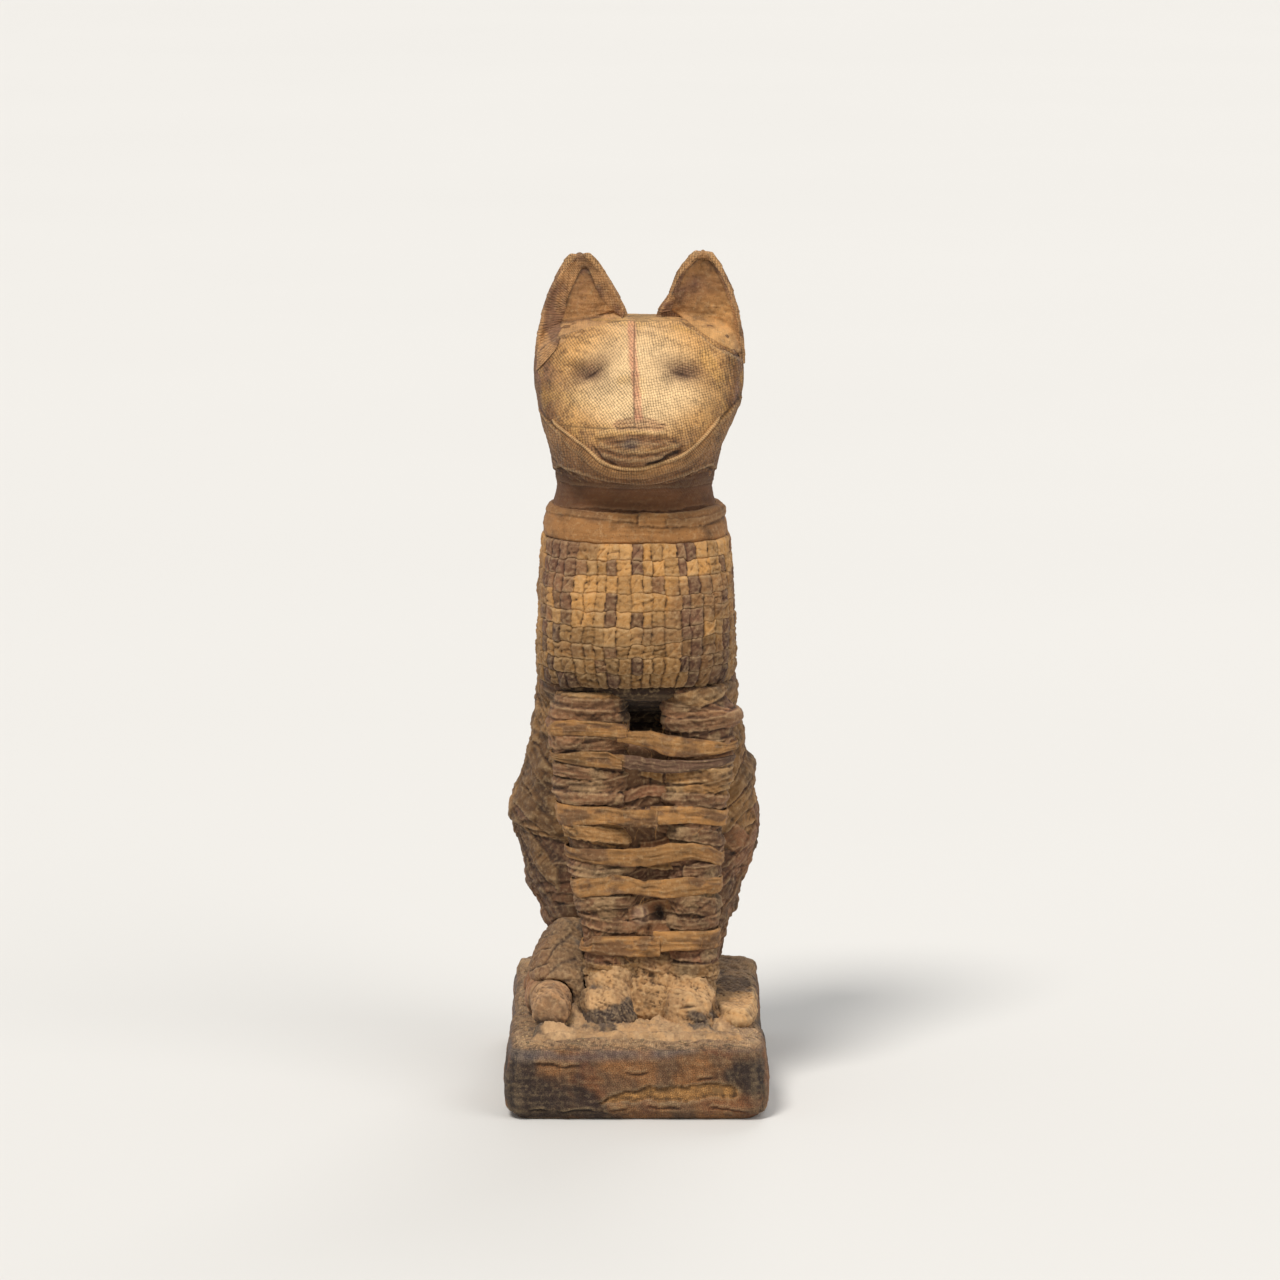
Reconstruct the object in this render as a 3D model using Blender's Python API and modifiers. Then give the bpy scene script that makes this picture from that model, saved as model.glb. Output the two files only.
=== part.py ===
"""Egyptian cat mummy seated on a linen-covered plinth, with its wrappings, packing, bones and stiffeners.

Metres, +Z up. The origin is the centre of the plinth's underside, and the cat faces -Y.
Left and right are the viewer's, looking at the cat's face: left is -X.
Heights of the body, head and limbs are measured from the top of the plinth.
"""

import math
from collections import namedtuple

import bmesh
import bpy
from mathutils import Matrix, Vector

Section = namedtuple("Section", "height across half_width front back squareness", defaults=(0.0,))
Ear = namedtuple("Ear", "outer tip_outer tip_inner inner bulge")

# Clearance between pieces that touch, and how far a form runs past the plane that trims it
GAP = 0.0003
OVERREACH = 0.0300

# Clearance of the packed limbs to the curved sides of the body
BODY_EASE = 0.0006

# Plinth: a wooden block with linen drawn over it and turned under its lower edges
PLINTH_WIDTH = 0.106
PLINTH_DEPTH = 0.165
PLINTH_HEIGHT = 0.033
PLINTH_CORNER = 0.009
PLINTH_TOP_EDGE = 0.007
PLINTH_FOOT_EDGE = 0.004
PLINTH_CLOTH = 0.0014
PLINTH_LINER = 0.0009
PLINTH_TURN_UNDER = 0.013
SOCKET_DEPTH = 0.018

# Thicknesses of the linen layers
ROW_STRIP = 0.0016
BODY_WRAP = 0.0024
BODY_PACKING = 0.0062
LIMB_WRAP = 0.0014
HEAD_CLOTH = 0.0012
SLING_CLOTH = 0.0012
BAND_STRIP = 0.0011

# Forelegs: front and back faces, and the height where each stands in its paw
FORELEG_FRONT_FOOT = -0.0485
FORELEG_FRONT_TOP = -0.0505
FORELEG_BACK = -0.0290
FORELEG_SEAT = 0.0100
FORELEG_TOP = 0.1500
FORELEG_ROUNDNESS = 2.2
FORELEG_POINTS = 14
# Height, place across and half width
LEFT_FORELEG = (
    (FORELEG_SEAT, -0.0100, 0.0112),
    (0.0365, -0.0101, 0.0117),
    (0.0600, -0.0130, 0.0124),
    (0.0870, -0.0179, 0.0134),
    (0.1100, -0.0188, 0.0150),
    (0.1280, -0.0193, 0.0167),
    (0.1390, -0.0180, 0.0135),
    (FORELEG_TOP, -0.0150, 0.0075),
)
RIGHT_FORELEG = (
    (FORELEG_SEAT, 0.0229, 0.0100),
    (0.0325, 0.0229, 0.0101),
    (0.0600, 0.0232, 0.0108),
    (0.0830, 0.0237, 0.0118),
    (0.1100, 0.0255, 0.0136),
    (0.1280, 0.0268, 0.0150),
    (0.1390, 0.0240, 0.0125),
    (FORELEG_TOP, 0.0190, 0.0070),
)

# Strips that tie the forelegs together: middle height, width, and rise from left to right
LEG_BANDS = (
    (0.0347, 0.0092, 0.00),
    (0.0589, 0.0090, 0.05),
    (0.0727, 0.0082, 0.00),
    (0.0888, 0.0092, -0.03),
    (0.1095, 0.0086, 0.00),
    (0.1225, 0.0078, -0.05),
)
BAND_OVERCUT = 0.002
BAND_EASE = 0.0004

# Packing between the forelegs, set back behind the strips
WEB_FRONT = -0.0450
WEB_FOOT = 0.0180
WEB_TOP = 0.1220
WEB_INSET = 0.6
WEB_SQUARENESS = 1.5

# Body, from the plinth to the neck; the belly clears the strips behind the forelegs
BELLY_FRONT = FORELEG_BACK + BAND_STRIP + 4 * GAP
BODY_ROUNDNESS = 2.15
BODY_POINTS = 20
BELLY_DRAW = 0.0020
NECK_TOP = 0.2222
BODY = (
    Section(GAP, 0.0, 0.0280, BELLY_FRONT + 3 * BELLY_DRAW, 0.0600, 0.3),
    Section(0.0200, 0.0, 0.0295, BELLY_FRONT + BELLY_DRAW, 0.0650, 0.3),
    Section(0.0500, 0.0, 0.0335, BELLY_FRONT, 0.0665, 0.3),
    Section(0.0850, 0.0, 0.0370, BELLY_FRONT, 0.0610, 0.3),
    Section(0.1290, 0.0, 0.0405, BELLY_FRONT, 0.0475, 0.4),
    Section(0.1345, 0.0, 0.0410, -0.0430, 0.0458, 0.6),
    Section(0.1415, 0.0, 0.0413, -0.0525, 0.0435, 0.8),
    Section(0.1520, 0.0, 0.0411, -0.0590, 0.0395, 0.8),
    Section(0.1650, 0.0, 0.0405, -0.0610, 0.0350, 0.8),
    Section(0.1830, 0.0, 0.0400, -0.0595, 0.0275, 0.7),
    Section(0.2024, 0.0, 0.0386, -0.0530, 0.0175, 0.5),
    Section(0.2090, -0.0008, 0.0366, -0.0505, 0.0150, 0.3),
    Section(0.2150, -0.0008, 0.0338, -0.0480, 0.0130, 0.1),
    Section(NECK_TOP, -0.0008, 0.0315, -0.0460, 0.0120),
)

# Outer strips of the body: rows of the chest weave, then the collar, then the neck
ROW_COUNT = 9
CHEST_BOTTOM = 0.1430
CHEST_TOP = 0.2030
COLLAR_TOP = 0.2148

# Head, on the neck; heights in it follow the neck's top
HEAD_ROUNDNESS = 2.15
HEAD_POINTS = 24
HEAD_FRONT_BIAS = 0.40
HEAD = (
    Section(NECK_TOP, -0.0008, 0.0315, -0.0460, 0.0120),
    Section(NECK_TOP + 0.0053, -0.0004, 0.0323, -0.0530, 0.0160),
    Section(NECK_TOP + 0.0113, -0.0004, 0.0332, -0.0590, 0.0202),
    Section(NECK_TOP + 0.0178, -0.0003, 0.0346, -0.0615, 0.0236),
    Section(NECK_TOP + 0.0233, 0.0000, 0.0368, -0.0618, 0.0255),
    Section(NECK_TOP + 0.0288, 0.0004, 0.0389, -0.0612, 0.0265),
    Section(NECK_TOP + 0.0348, 0.0008, 0.0409, -0.0600, 0.0270),
    Section(NECK_TOP + 0.0413, 0.0010, 0.0425, -0.0582, 0.0265),
    Section(NECK_TOP + 0.0493, 0.0010, 0.0432, -0.0550, 0.0250),
    Section(NECK_TOP + 0.0568, 0.0010, 0.0424, -0.0505, 0.0215),
    Section(NECK_TOP + 0.0628, 0.0010, 0.0390, -0.0445, 0.0160),
    Section(NECK_TOP + 0.0673, 0.0010, 0.0325, -0.0370, 0.0085),
    Section(NECK_TOP + 0.0703, 0.0010, 0.0215, -0.0280, 0.0000),
    Section(NECK_TOP + 0.0715, 0.0010, 0.0090, -0.0200, -0.0080),
)
FACE_MIDDLE = 0.0010
FACE_BACK = -0.0165
MUZZLE_HEIGHT = NECK_TOP + 0.0198
MUZZLE_REACH = 0.0085
MUZZLE_HALF_WIDTH = 0.0165
MUZZLE_HALF_HEIGHT = 0.0110
EYE_HEIGHT = NECK_TOP + 0.0488
EYE_SPACING = 0.0370
EYE_SINK = 0.0020
EYE_RADIUS = 0.0080

# Cloth slung under the chin, between two planes that rise to the back
SLING_FRONT = -0.0625
SLING_HEIGHT = NECK_TOP + 0.0118
SLING_SLOPE = 0.65
SLING_WIDTH = 0.0075
SLING_END = -0.0120

# Ears, seen from the front: outer base, tip and inner base, across and up
EAR_SETBACK = -0.0200
EAR_THICKNESS = 0.0024
EAR_CUP = 0.0070
EAR_LEAN = 0.10
EAR_TIP_ROUND = 0.0040
EAR_RIM_RADIUS = 0.0011
EAR_LINING = 0.0008
EAR_LINING_ACROSS = (0.20, 0.84)
EAR_LINING_UP = (0.05, 0.72)
EAR_TIP_NARROWING = 0.6
EAR_COLUMNS = 6
EAR_ROWS = 6
LEFT_EAR = Ear((-0.0413, NECK_TOP + 0.0478), (-0.0290, NECK_TOP + 0.0928),
               (-0.0170, NECK_TOP + 0.0928), (-0.0030, NECK_TOP + 0.0658), 0.0030)
RIGHT_EAR = Ear((0.0442, NECK_TOP + 0.0518), (0.0345, NECK_TOP + 0.0928),
                (0.0220, NECK_TOP + 0.0933), (0.0070, NECK_TOP + 0.0658), 0.0033)

# Haunches, given for the right side
HAUNCH_ROUNDNESS = 2.2
HAUNCH_POINTS = 16
HAUNCH = (
    Section(GAP, 0.0205, 0.0130, -0.0160, 0.0540),
    Section(0.0160, 0.0205, 0.0140, -0.0190, 0.0555),
    Section(0.0300, 0.0205, 0.0168, -0.0215, 0.0560),
    Section(0.0450, 0.0208, 0.0225, -0.0235, 0.0565),
    Section(0.0625, 0.0210, 0.0280, -0.0240, 0.0560),
    Section(0.0820, 0.0210, 0.0306, -0.0235, 0.0530),
    Section(0.1000, 0.0205, 0.0268, -0.0210, 0.0485),
    Section(0.1175, 0.0200, 0.0222, -0.0150, 0.0420),
    Section(0.1300, 0.0190, 0.0178, -0.0070, 0.0345),
    Section(0.1380, 0.0180, 0.0110, 0.0020, 0.0260),
)

# Tail, laid from the rump along the left side to beside the left paw: across, along and radius
TAIL_ROUTE = (
    (0.0125, 0.0700, 0.0030),
    (0.0105, 0.0708, 0.0055),
    (0.0070, 0.0716, 0.0069),
    (0.0020, 0.0720, 0.0072),
    (-0.0140, 0.0695, 0.0076),
    (-0.0270, 0.0600, 0.0076),
    (-0.0345, 0.0450, 0.0075),
    (-0.0375, 0.0250, 0.0074),
    (-0.0382, 0.0000, 0.0074),
    (-0.0378, -0.0200, 0.0078),
    (-0.0360, -0.0370, 0.0088),
    (-0.0342, -0.0480, 0.0093),
    (-0.0340, -0.0555, 0.0088),
    (-0.0340, -0.0590, 0.0068),
    (-0.0340, -0.0605, 0.0035),
)
TAIL_END_POINTS = 3
TAIL_SIDES_RESOLUTION = 2

# Paws, and the hind foot that lies flat on the right
PAW_FRONT = -0.0600
PAW_BACK = -0.0290
PAW_HEIGHT = 0.0170
PAW_HALF_WIDTH = 0.0113
LEFT_PAW_ACROSS = -0.0115
RIGHT_PAW_ACROSS = 0.0230
HIND_FOOT_ACROSS = 0.0415
HIND_FOOT_HALF_WIDTH = 0.0085
HIND_FOOT_FRONT = -0.0580
HIND_FOOT_BACK = 0.0200
HIND_FOOT_HEIGHT = 0.0120
MOUND_POINTS = 14
MOUND_ROWS = 4
MOUND_ROUNDNESS = 2.6
MOUND_TOP = 0.6
MOUND_SWELL = 0.5

# Left hind foot, drawn up between the tail, the haunch and the left foreleg
LEFT_FOOT = (
    Section(GAP, -0.0240, 0.0120, -0.0440, -0.0060),
    Section(0.0100, -0.0270, 0.0150, -0.0450, -0.0040),
    Section(0.0190, -0.0295, 0.0150, -0.0430, 0.0000),
    Section(0.0250, -0.0295, 0.0125, -0.0390, 0.0020),
    Section(0.0310, -0.0285, 0.0100, -0.0330, 0.0020),
    Section(0.0370, -0.0265, 0.0070, -0.0280, 0.0000),
    Section(0.0400, -0.0250, 0.0040, -0.0250, -0.0040),
)

# Stiffeners: a palm rib from the plinth to the skull, and a reed in each foreleg
RIB_RADIUS = 0.0035
RIB_FOOT = 0.0220
RIB_LEAN = math.radians(8.5)
RIB_LENGTH = NECK_TOP + 0.0318
REED_RADIUS = 0.0025
REED_TOP = 0.1240
ROD_SIDES = 12

# Skeleton, tied along the palm rib and measured along it from the plinth's top
SPINE_RADIUS = 0.0036
SPINE_NECK = 0.0024
SPINE_BOTTOM = 0.0300
SPINE_TOP = NECK_TOP + 0.0178
VERTEBRAE = 18
CAGE_BOTTOM = 0.1540
CAGE_TOP = 0.2000
CAGE_HALF_WIDTH = 0.0150
CAGE_DEPTH = 0.0190
CAGE_WALL = 0.0016
CAGE_POINTS = 12
# Share of the cage's height, and its share of the full width there
CAGE_SHAPE = ((0.0, 0.86), (0.35, 1.0), (0.7, 0.92), (1.0, 0.62))
RIB_PAIRS = 6
RIB_SPACE = 0.0036
CAGE_STRIP = 0.0060
PELVIS_BAR = 0.0024
PELVIS_HEIGHT = 0.0480
PELVIS_POINTS = 12
ILIUM_HEIGHT = 0.0110
ILIUM_DEPTH = 0.0066
ILIUM_THICKNESS = 0.0022
LEG_BONE_RADIUS = 0.0019
BONE_KNOB = 1.45
BONE_NECK = 0.15
BONE_SHORTER = 0.1
THIGH_HEIGHT = 0.0400
THIGH_REACH = 0.0010
SHIN_REACH = -0.0085
FOREARM_HEIGHT = 0.0340
FOREARM_REACH = 0.0076
SKULL_CENTRE = (0.0, -0.0150, NECK_TOP + 0.0408)
SKULL_RADII = (0.0190, 0.0215, 0.0165)
SNOUT_OFFSET = (0.0, -0.0260, -0.0090)
SNOUT_RADII = (0.0100, 0.0140, 0.0085)
CHEEK_OFFSET = (0.0, -0.0140, -0.0060)
CHEEK_RADII = (0.0225, 0.0110, 0.0040)
ORBIT_OFFSET = (0.0125, -0.0205, 0.0010)
ORBIT_RADIUS = 0.0062
JAW_RADIUS = 0.0020
JAW_HALF_WIDTH = 0.0110
JAW_DROP = 0.0215
JAW_BACK = -0.0030
JAW_CHIN = -0.0350
JAW_STEPS = 4
NECK_BORE_RADIUS = 0.0118
NECK_BORE_TOP = NECK_TOP + 0.0348

# Colours and roughness
PALE_LINEN = (0.62, 0.40, 0.20)
TAN_LINEN = (0.46, 0.29, 0.14)
BROWN_LINEN = (0.22, 0.13, 0.08)
DARK_LINEN = (0.06, 0.045, 0.035)
PACKING = (0.40, 0.30, 0.19)
BONE = (0.66, 0.56, 0.40)
REED = (0.44, 0.31, 0.15)
WOOD = (0.24, 0.14, 0.07)
CLOTH_ROUGHNESS = 0.92
BONE_ROUGHNESS = 0.65

PARTS = bpy.data.collections.new("egyptian_cat_mummy")
CUTTERS = bpy.data.collections.new("cutters")


def clear_scene():
    for obj in list(bpy.data.objects):
        bpy.data.objects.remove(obj, do_unlink=True)
    for collection in (PARTS, CUTTERS):
        bpy.context.scene.collection.children.link(collection)


def finish(obj, colour, roughness=CLOTH_ROUGHNESS):
    """Give a part its own material and put it in the parts collection."""
    material = bpy.data.materials.new(obj.name)
    material.use_nodes = True
    shader = material.node_tree.nodes["Principled BSDF"]
    shader.inputs["Base Color"].default_value = (*colour, 1.0)
    shader.inputs["Roughness"].default_value = roughness
    shader.inputs["Metallic"].default_value = 0.0
    material.diffuse_color = (*colour, 1.0)
    obj.data.materials.append(material)
    PARTS.objects.link(obj)
    return obj


def mesh_object(name, bm):
    """Turn a bmesh into an object and free the bmesh."""
    mesh = bpy.data.meshes.new(name)
    bm.to_mesh(mesh)
    bm.free()
    mesh.shade_smooth()
    mesh.set_sharp_from_angle(angle=math.radians(35))
    return bpy.data.objects.new(name, mesh)


def part(name, bm, colour, roughness=CLOTH_ROUGHNESS):
    return finish(mesh_object(name, bm), colour, roughness)


def cutter(name, bm):
    return keep_as_cutter(mesh_object(name, bm))


def keep_as_cutter(obj):
    obj.display_type = "WIRE"
    obj.hide_render = True
    CUTTERS.objects.link(obj)
    return obj


def combine(obj, other, operation):
    modifier = obj.modifiers.new(f"{operation.lower()} {other.name}", "BOOLEAN")
    modifier.operation = operation
    modifier.solver = "EXACT"
    modifier.object = other


def cut(obj, *cutters):
    for other in cutters:
        combine(obj, other, "DIFFERENCE")


def ring(section, roundness, count, bias=0.0):
    """Points round one section, from the back towards +X; bias draws them to the front."""
    power = 2 / (roundness + section.squareness)
    middle = (section.front + section.back) / 2
    half_depth = (section.back - section.front) / 2
    points = []
    for index in range(count):
        turn = math.tau * index / count
        turn += bias * math.sin(turn)
        side, along = math.sin(turn), math.cos(turn)
        x = section.across + section.half_width * math.copysign(abs(side) ** power, side)
        y = middle + half_depth * math.copysign(abs(along) ** power, along)
        points.append(Vector((x, y, PLINTH_HEIGHT + section.height)))
    return points


def reaching(sections, below=True, above=True):
    """The sections with copies of the end ones further out, so that planes trim the form cleanly."""
    first, last = sections[0], sections[-1]
    start = [first._replace(height=first.height - OVERREACH)] if below else []
    end = [last._replace(height=last.height + OVERREACH)] if above else []
    return [*start, *sections, *end]


def loft(sections, roundness, count, bias=0.0):
    """A closed form through unlike sections."""
    bm = bmesh.new()
    rows = [[bm.verts.new(p) for p in ring(s, roundness, count, bias)] for s in sections]
    for lower, upper in zip(rows, rows[1:]):
        for index in range(count):
            following = (index + 1) % count
            bm.faces.new((lower[index], lower[following], upper[following], upper[index]))
    bm.faces.new(rows[0])
    bm.faces.new(rows[-1])
    bmesh.ops.recalc_face_normals(bm, faces=bm.faces)
    return bm


def grown(form, amount):
    """A copy of a form with every face moved out by the amount, or in where it is negative."""
    bm = form.copy()
    bm.normal_update()
    moves = [(v, v.normal * amount * v.calc_shell_factor()) for v in bm.verts]
    for vert, move in moves:
        vert.co += move
    return bm


def level(height, up):
    """A level plane at a height above the plinth; what lies past its normal is cut away."""
    return Vector((0, 0, PLINTH_HEIGHT + height)), Vector((0, 0, 1 if up else -1))


def trimmed(bm, planes, capped=False):
    for place, normal in planes:
        bmesh.ops.bisect_plane(
            bm, geom=bm.verts[:] + bm.edges[:] + bm.faces[:], dist=1e-7,
            plane_co=place, plane_no=normal, clear_outer=True,
        )
        if capped:
            bmesh.ops.holes_fill(bm, edges=[e for e in bm.edges if e.is_boundary], sides=0)
    return bm


def open_loops(bm):
    """The open edges, grouped into loops."""
    left = {edge for edge in bm.edges if edge.is_boundary}
    loops = []
    while left:
        waiting = [left.pop()]
        loop = []
        while waiting:
            edge = waiting.pop()
            loop.append(edge)
            touching = {e for v in edge.verts for e in v.link_edges} & left
            left -= touching
            waiting.extend(touching)
        loops.append(loop)
    return loops


def loop_centre(loop):
    points = [v.co for edge in loop for v in edge.verts]
    return sum(points, Vector()) / len(points)


def shell(form, planes, outer, inner):
    """Cloth between two offsets of a form, trimmed by planes, with its cut edges closed."""
    bm = trimmed(grown(form, outer), planes)
    lining = trimmed(grown(form, inner), planes)
    bmesh.ops.reverse_faces(lining, faces=lining.faces)
    passing = bpy.data.meshes.new("passing")
    lining.to_mesh(passing)
    lining.free()
    for edge in bm.edges:
        edge.seam = True
    bm.from_mesh(passing)
    bpy.data.meshes.remove(passing)
    loops = open_loops(bm)
    outside = [loop for loop in loops if loop[0].seam]
    inside = [loop for loop in loops if not loop[0].seam]
    for loop in outside:
        centre = loop_centre(loop)
        mate = min(inside, key=lambda other: (loop_centre(other) - centre).length)
        inside.remove(mate)
        bmesh.ops.bridge_loops(bm, edges=loop + mate)
    for edge in bm.edges:
        edge.seam = False
    bmesh.ops.recalc_face_normals(bm, faces=bm.faces)
    return bm


def tube_curve(name, points, radii, resolution, closed_ends=True):
    """A round bar along points, as a curve that is not yet in a collection."""
    curve = bpy.data.curves.new(name, "CURVE")
    curve.dimensions = "3D"
    curve.bevel_depth = 1.0
    curve.bevel_resolution = resolution
    curve.use_fill_caps = closed_ends
    spline = curve.splines.new("POLY")
    spline.points.add(len(points) - 1)
    for slot, point, radius in zip(spline.points, points, radii):
        slot.co = (*point, 1.0)
        slot.radius = radius
    return bpy.data.objects.new(name, curve)


def meshed(obj):
    """The mesh of a curve as a welded bmesh; the curve object is removed."""
    bpy.context.scene.collection.objects.link(obj)
    graph = bpy.context.evaluated_depsgraph_get()
    mesh = bpy.data.meshes.new_from_object(obj.evaluated_get(graph))
    bm = bmesh.new()
    bm.from_mesh(mesh)
    bpy.data.meshes.remove(mesh)
    bpy.data.objects.remove(obj, do_unlink=True)
    bmesh.ops.remove_doubles(bm, verts=bm.verts, dist=1e-6)
    bmesh.ops.recalc_face_normals(bm, faces=bm.faces)
    return bm


def tube(name, points, radii, resolution=1, closed_ends=True):
    return meshed(tube_curve(name, points, radii, resolution, closed_ends))


def rod(foot, top, radius):
    """A round rod between two points."""
    axis = Vector(top) - Vector(foot)
    bm = bmesh.new()
    bmesh.ops.create_cone(
        bm, cap_ends=True, segments=ROD_SIDES, radius1=radius, radius2=radius, depth=axis.length,
    )
    turn = axis.to_track_quat("Z", "Y").to_matrix().to_4x4()
    place = Matrix.Translation((Vector(foot) + Vector(top)) / 2)
    bmesh.ops.transform(bm, matrix=place @ turn, verts=bm.verts)
    return bm


def ball(centre, radii, segments=10, rings=7):
    bm = bmesh.new()
    bmesh.ops.create_uvsphere(bm, u_segments=segments, v_segments=rings, radius=1.0)
    bmesh.ops.scale(bm, vec=radii, verts=bm.verts)
    bmesh.ops.translate(bm, vec=centre, verts=bm.verts)
    return bm


def box(low, high):
    bm = bmesh.new()
    bmesh.ops.create_cube(bm, size=1.0)
    bmesh.ops.scale(bm, vec=Vector(high) - Vector(low), verts=bm.verts)
    bmesh.ops.translate(bm, vec=(Vector(high) + Vector(low)) / 2, verts=bm.verts)
    return bm


def rib_point(distance, forward=0.0, across=0.0):
    """A point beside the palm rib's axis: distance along it, and how far in front and across."""
    forwards = Vector((0, -math.cos(RIB_LEAN), -math.sin(RIB_LEAN)))
    along = Vector((0, -math.sin(RIB_LEAN), math.cos(RIB_LEAN)))
    foot = Vector((0, RIB_FOOT, PLINTH_HEIGHT))
    return foot + along * distance + forwards * forward + Vector((across, 0, 0))


def reed_axis(stations):
    """Foot and top of a foreleg's reed, straight between the leg's lowest and upper sections."""
    middle = (FORELEG_FRONT_FOOT + FORELEG_BACK) / 2
    foot = section_at(stations, FORELEG_SEAT)
    top = section_at(stations, REED_TOP)
    low = Vector((foot.across, middle, PLINTH_HEIGHT + FORELEG_SEAT))
    high = Vector((top.across, middle, PLINTH_HEIGHT + REED_TOP))
    down = (low - high) / (high.z - low.z)
    return low + down * (FORELEG_SEAT + SOCKET_DEPTH - GAP), high


def foreleg_section(station):
    height, across, half_width = station
    share = (height - FORELEG_SEAT) / (FORELEG_TOP - FORELEG_SEAT)
    front = FORELEG_FRONT_FOOT + (FORELEG_FRONT_TOP - FORELEG_FRONT_FOOT) * share
    return Section(height, across, half_width, front, FORELEG_BACK)


def section_at(stations, height):
    """A foreleg's section at any height, between its stations."""
    for lower, upper in zip(stations, stations[1:]):
        if height <= upper[0]:
            break
    share = (height - lower[0]) / (upper[0] - lower[0])
    return foreleg_section([a + (b - a) * share for a, b in zip(lower, upper)])


def plinth_box(inset, foot):
    """The plinth's rounded outline, drawn in by an inset, standing at a height of foot."""
    half_width = PLINTH_WIDTH / 2 - inset
    half_depth = PLINTH_DEPTH / 2 - inset
    bm = box((-half_width, -half_depth, foot), (half_width, half_depth, PLINTH_HEIGHT - inset))
    upright = [e for e in bm.edges if abs(e.verts[0].co.z - e.verts[1].co.z) > PLINTH_HEIGHT / 2]
    round_off(bm, upright, PLINTH_CORNER - inset, 3)
    top = PLINTH_HEIGHT - inset
    round_off(bm, level_edges(bm, top), PLINTH_TOP_EDGE - inset, 3)
    chamfer = PLINTH_FOOT_EDGE + inset * (math.sqrt(2) - 1) - foot
    round_off(bm, level_edges(bm, foot), chamfer, 1)
    return bm


def level_edges(bm, height):
    return [e for e in bm.edges if all(abs(v.co.z - height) < 1e-6 for v in e.verts)]


def round_off(bm, edges, radius, segments):
    bmesh.ops.bevel(
        bm, geom=edges, offset=radius, segments=segments, profile=0.5, affect="EDGES",
        material=-1, clamp_overlap=True,
    )


def solidify(obj, thickness):
    modifier = obj.modifiers.new("cloth thickness", "SOLIDIFY")
    modifier.thickness = thickness
    modifier.offset = -1
    modifier.use_even_offset = True


def make_plinth(holes):
    cover = part("plinth_cover", plinth_box(0, 0), DARK_LINEN)
    border = PLINTH_FOOT_EDGE + PLINTH_TURN_UNDER
    half_width, half_depth = PLINTH_WIDTH / 2 - border, PLINTH_DEPTH / 2 - border
    opening = box((-half_width, -half_depth, -PLINTH_CLOTH), (half_width, half_depth, 2 * PLINTH_CLOTH))
    cut(cover, cutter("plinth_opening", opening))
    cut(cover, cutter("plinth_hollow", plinth_box(PLINTH_CLOTH, PLINTH_CLOTH)))

    seat = PLINTH_CLOTH + GAP
    liner = plinth_box(seat, seat)
    under = min(liner.faces, key=lambda face: face.calc_center_median().z)
    bmesh.ops.delete(liner, geom=[under], context="FACES")
    liner = part("plinth_inner_linen", liner, TAN_LINEN)
    solidify(liner, PLINTH_LINER)

    block = plinth_box(seat + PLINTH_LINER + GAP, seat)
    block = part("plinth_block", block, WOOD, BONE_ROUGHNESS)
    for piece in (cover, liner, block):
        cut(piece, *holes)


def make_stiffeners():
    """The palm rib and the reeds; returns their enlarged shapes, which bore their neighbours."""
    rods = {"palm_rib": (rib_point(-SOCKET_DEPTH + GAP), rib_point(RIB_LENGTH), RIB_RADIUS)}
    for side, stations in (("left", LEFT_FORELEG), ("right", RIGHT_FORELEG)):
        rods[f"{side}_leg_reed"] = (*reed_axis(stations), REED_RADIUS)
    bores = {}
    for name, (foot, top, radius) in rods.items():
        part(name, rod(foot, top, radius), REED, BONE_ROUGHNESS)
        ease = (top - foot).normalized() * GAP
        bores[name] = cutter(f"{name}_bore", rod(foot - ease, top + ease, radius + GAP))
    return bores


def make_body(form):
    """Strips, wrap and packing of the body; returns the shape that its neighbours are cut by."""
    low, high = level(GAP, False), level(NECK_TOP - GAP, True)
    strip, wrap = -ROW_STRIP, -(ROW_STRIP + GAP)
    part("lower_body_wrap", shell(form, (low, level(CHEST_BOTTOM - GAP, True)), 0, strip), BROWN_LINEN)
    pitch = (CHEST_TOP - CHEST_BOTTOM) / ROW_COUNT
    for row in range(ROW_COUNT):
        foot = CHEST_BOTTOM + row * pitch
        planes = (level(foot, False), level(foot + pitch - GAP, True))
        part(f"chest_row_{row + 1}", shell(form, planes, 0, strip), TAN_LINEN)
    collar = (level(CHEST_TOP, False), level(COLLAR_TOP - GAP, True))
    part("collar_band", shell(form, collar, 0, strip), TAN_LINEN)
    part("neck_wrap", shell(form, (level(COLLAR_TOP, False), high), 0, strip), BROWN_LINEN)
    part("body_wrap", shell(form, (low, high), wrap, wrap - BODY_WRAP), PALE_LINEN)
    outer = wrap - BODY_WRAP - GAP
    for half in ("front", "back"):
        packing = shell(form, (low, high), outer, outer - BODY_PACKING)
        packing = part(f"body_packing_{half}", packing, PACKING)
        cut(packing, packing_divider(half))
    return cutter("body_space", grown(form, BODY_EASE))


def packing_divider(half):
    """A block that cuts away the other half of the body, past the palm rib's line."""
    reach = 2 * PLINTH_DEPTH
    side = 1 if half == "front" else -1
    place = rib_point(0, side * GAP / 2)
    bm = box((-reach, min(0, side * reach), -reach), (reach, max(0, side * reach), reach))
    turn = Matrix.Rotation(RIB_LEAN, 4, "X")
    bmesh.ops.transform(bm, matrix=Matrix.Translation(place) @ turn, verts=bm.verts)
    return cutter(f"{half}_divider", bm)


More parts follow.
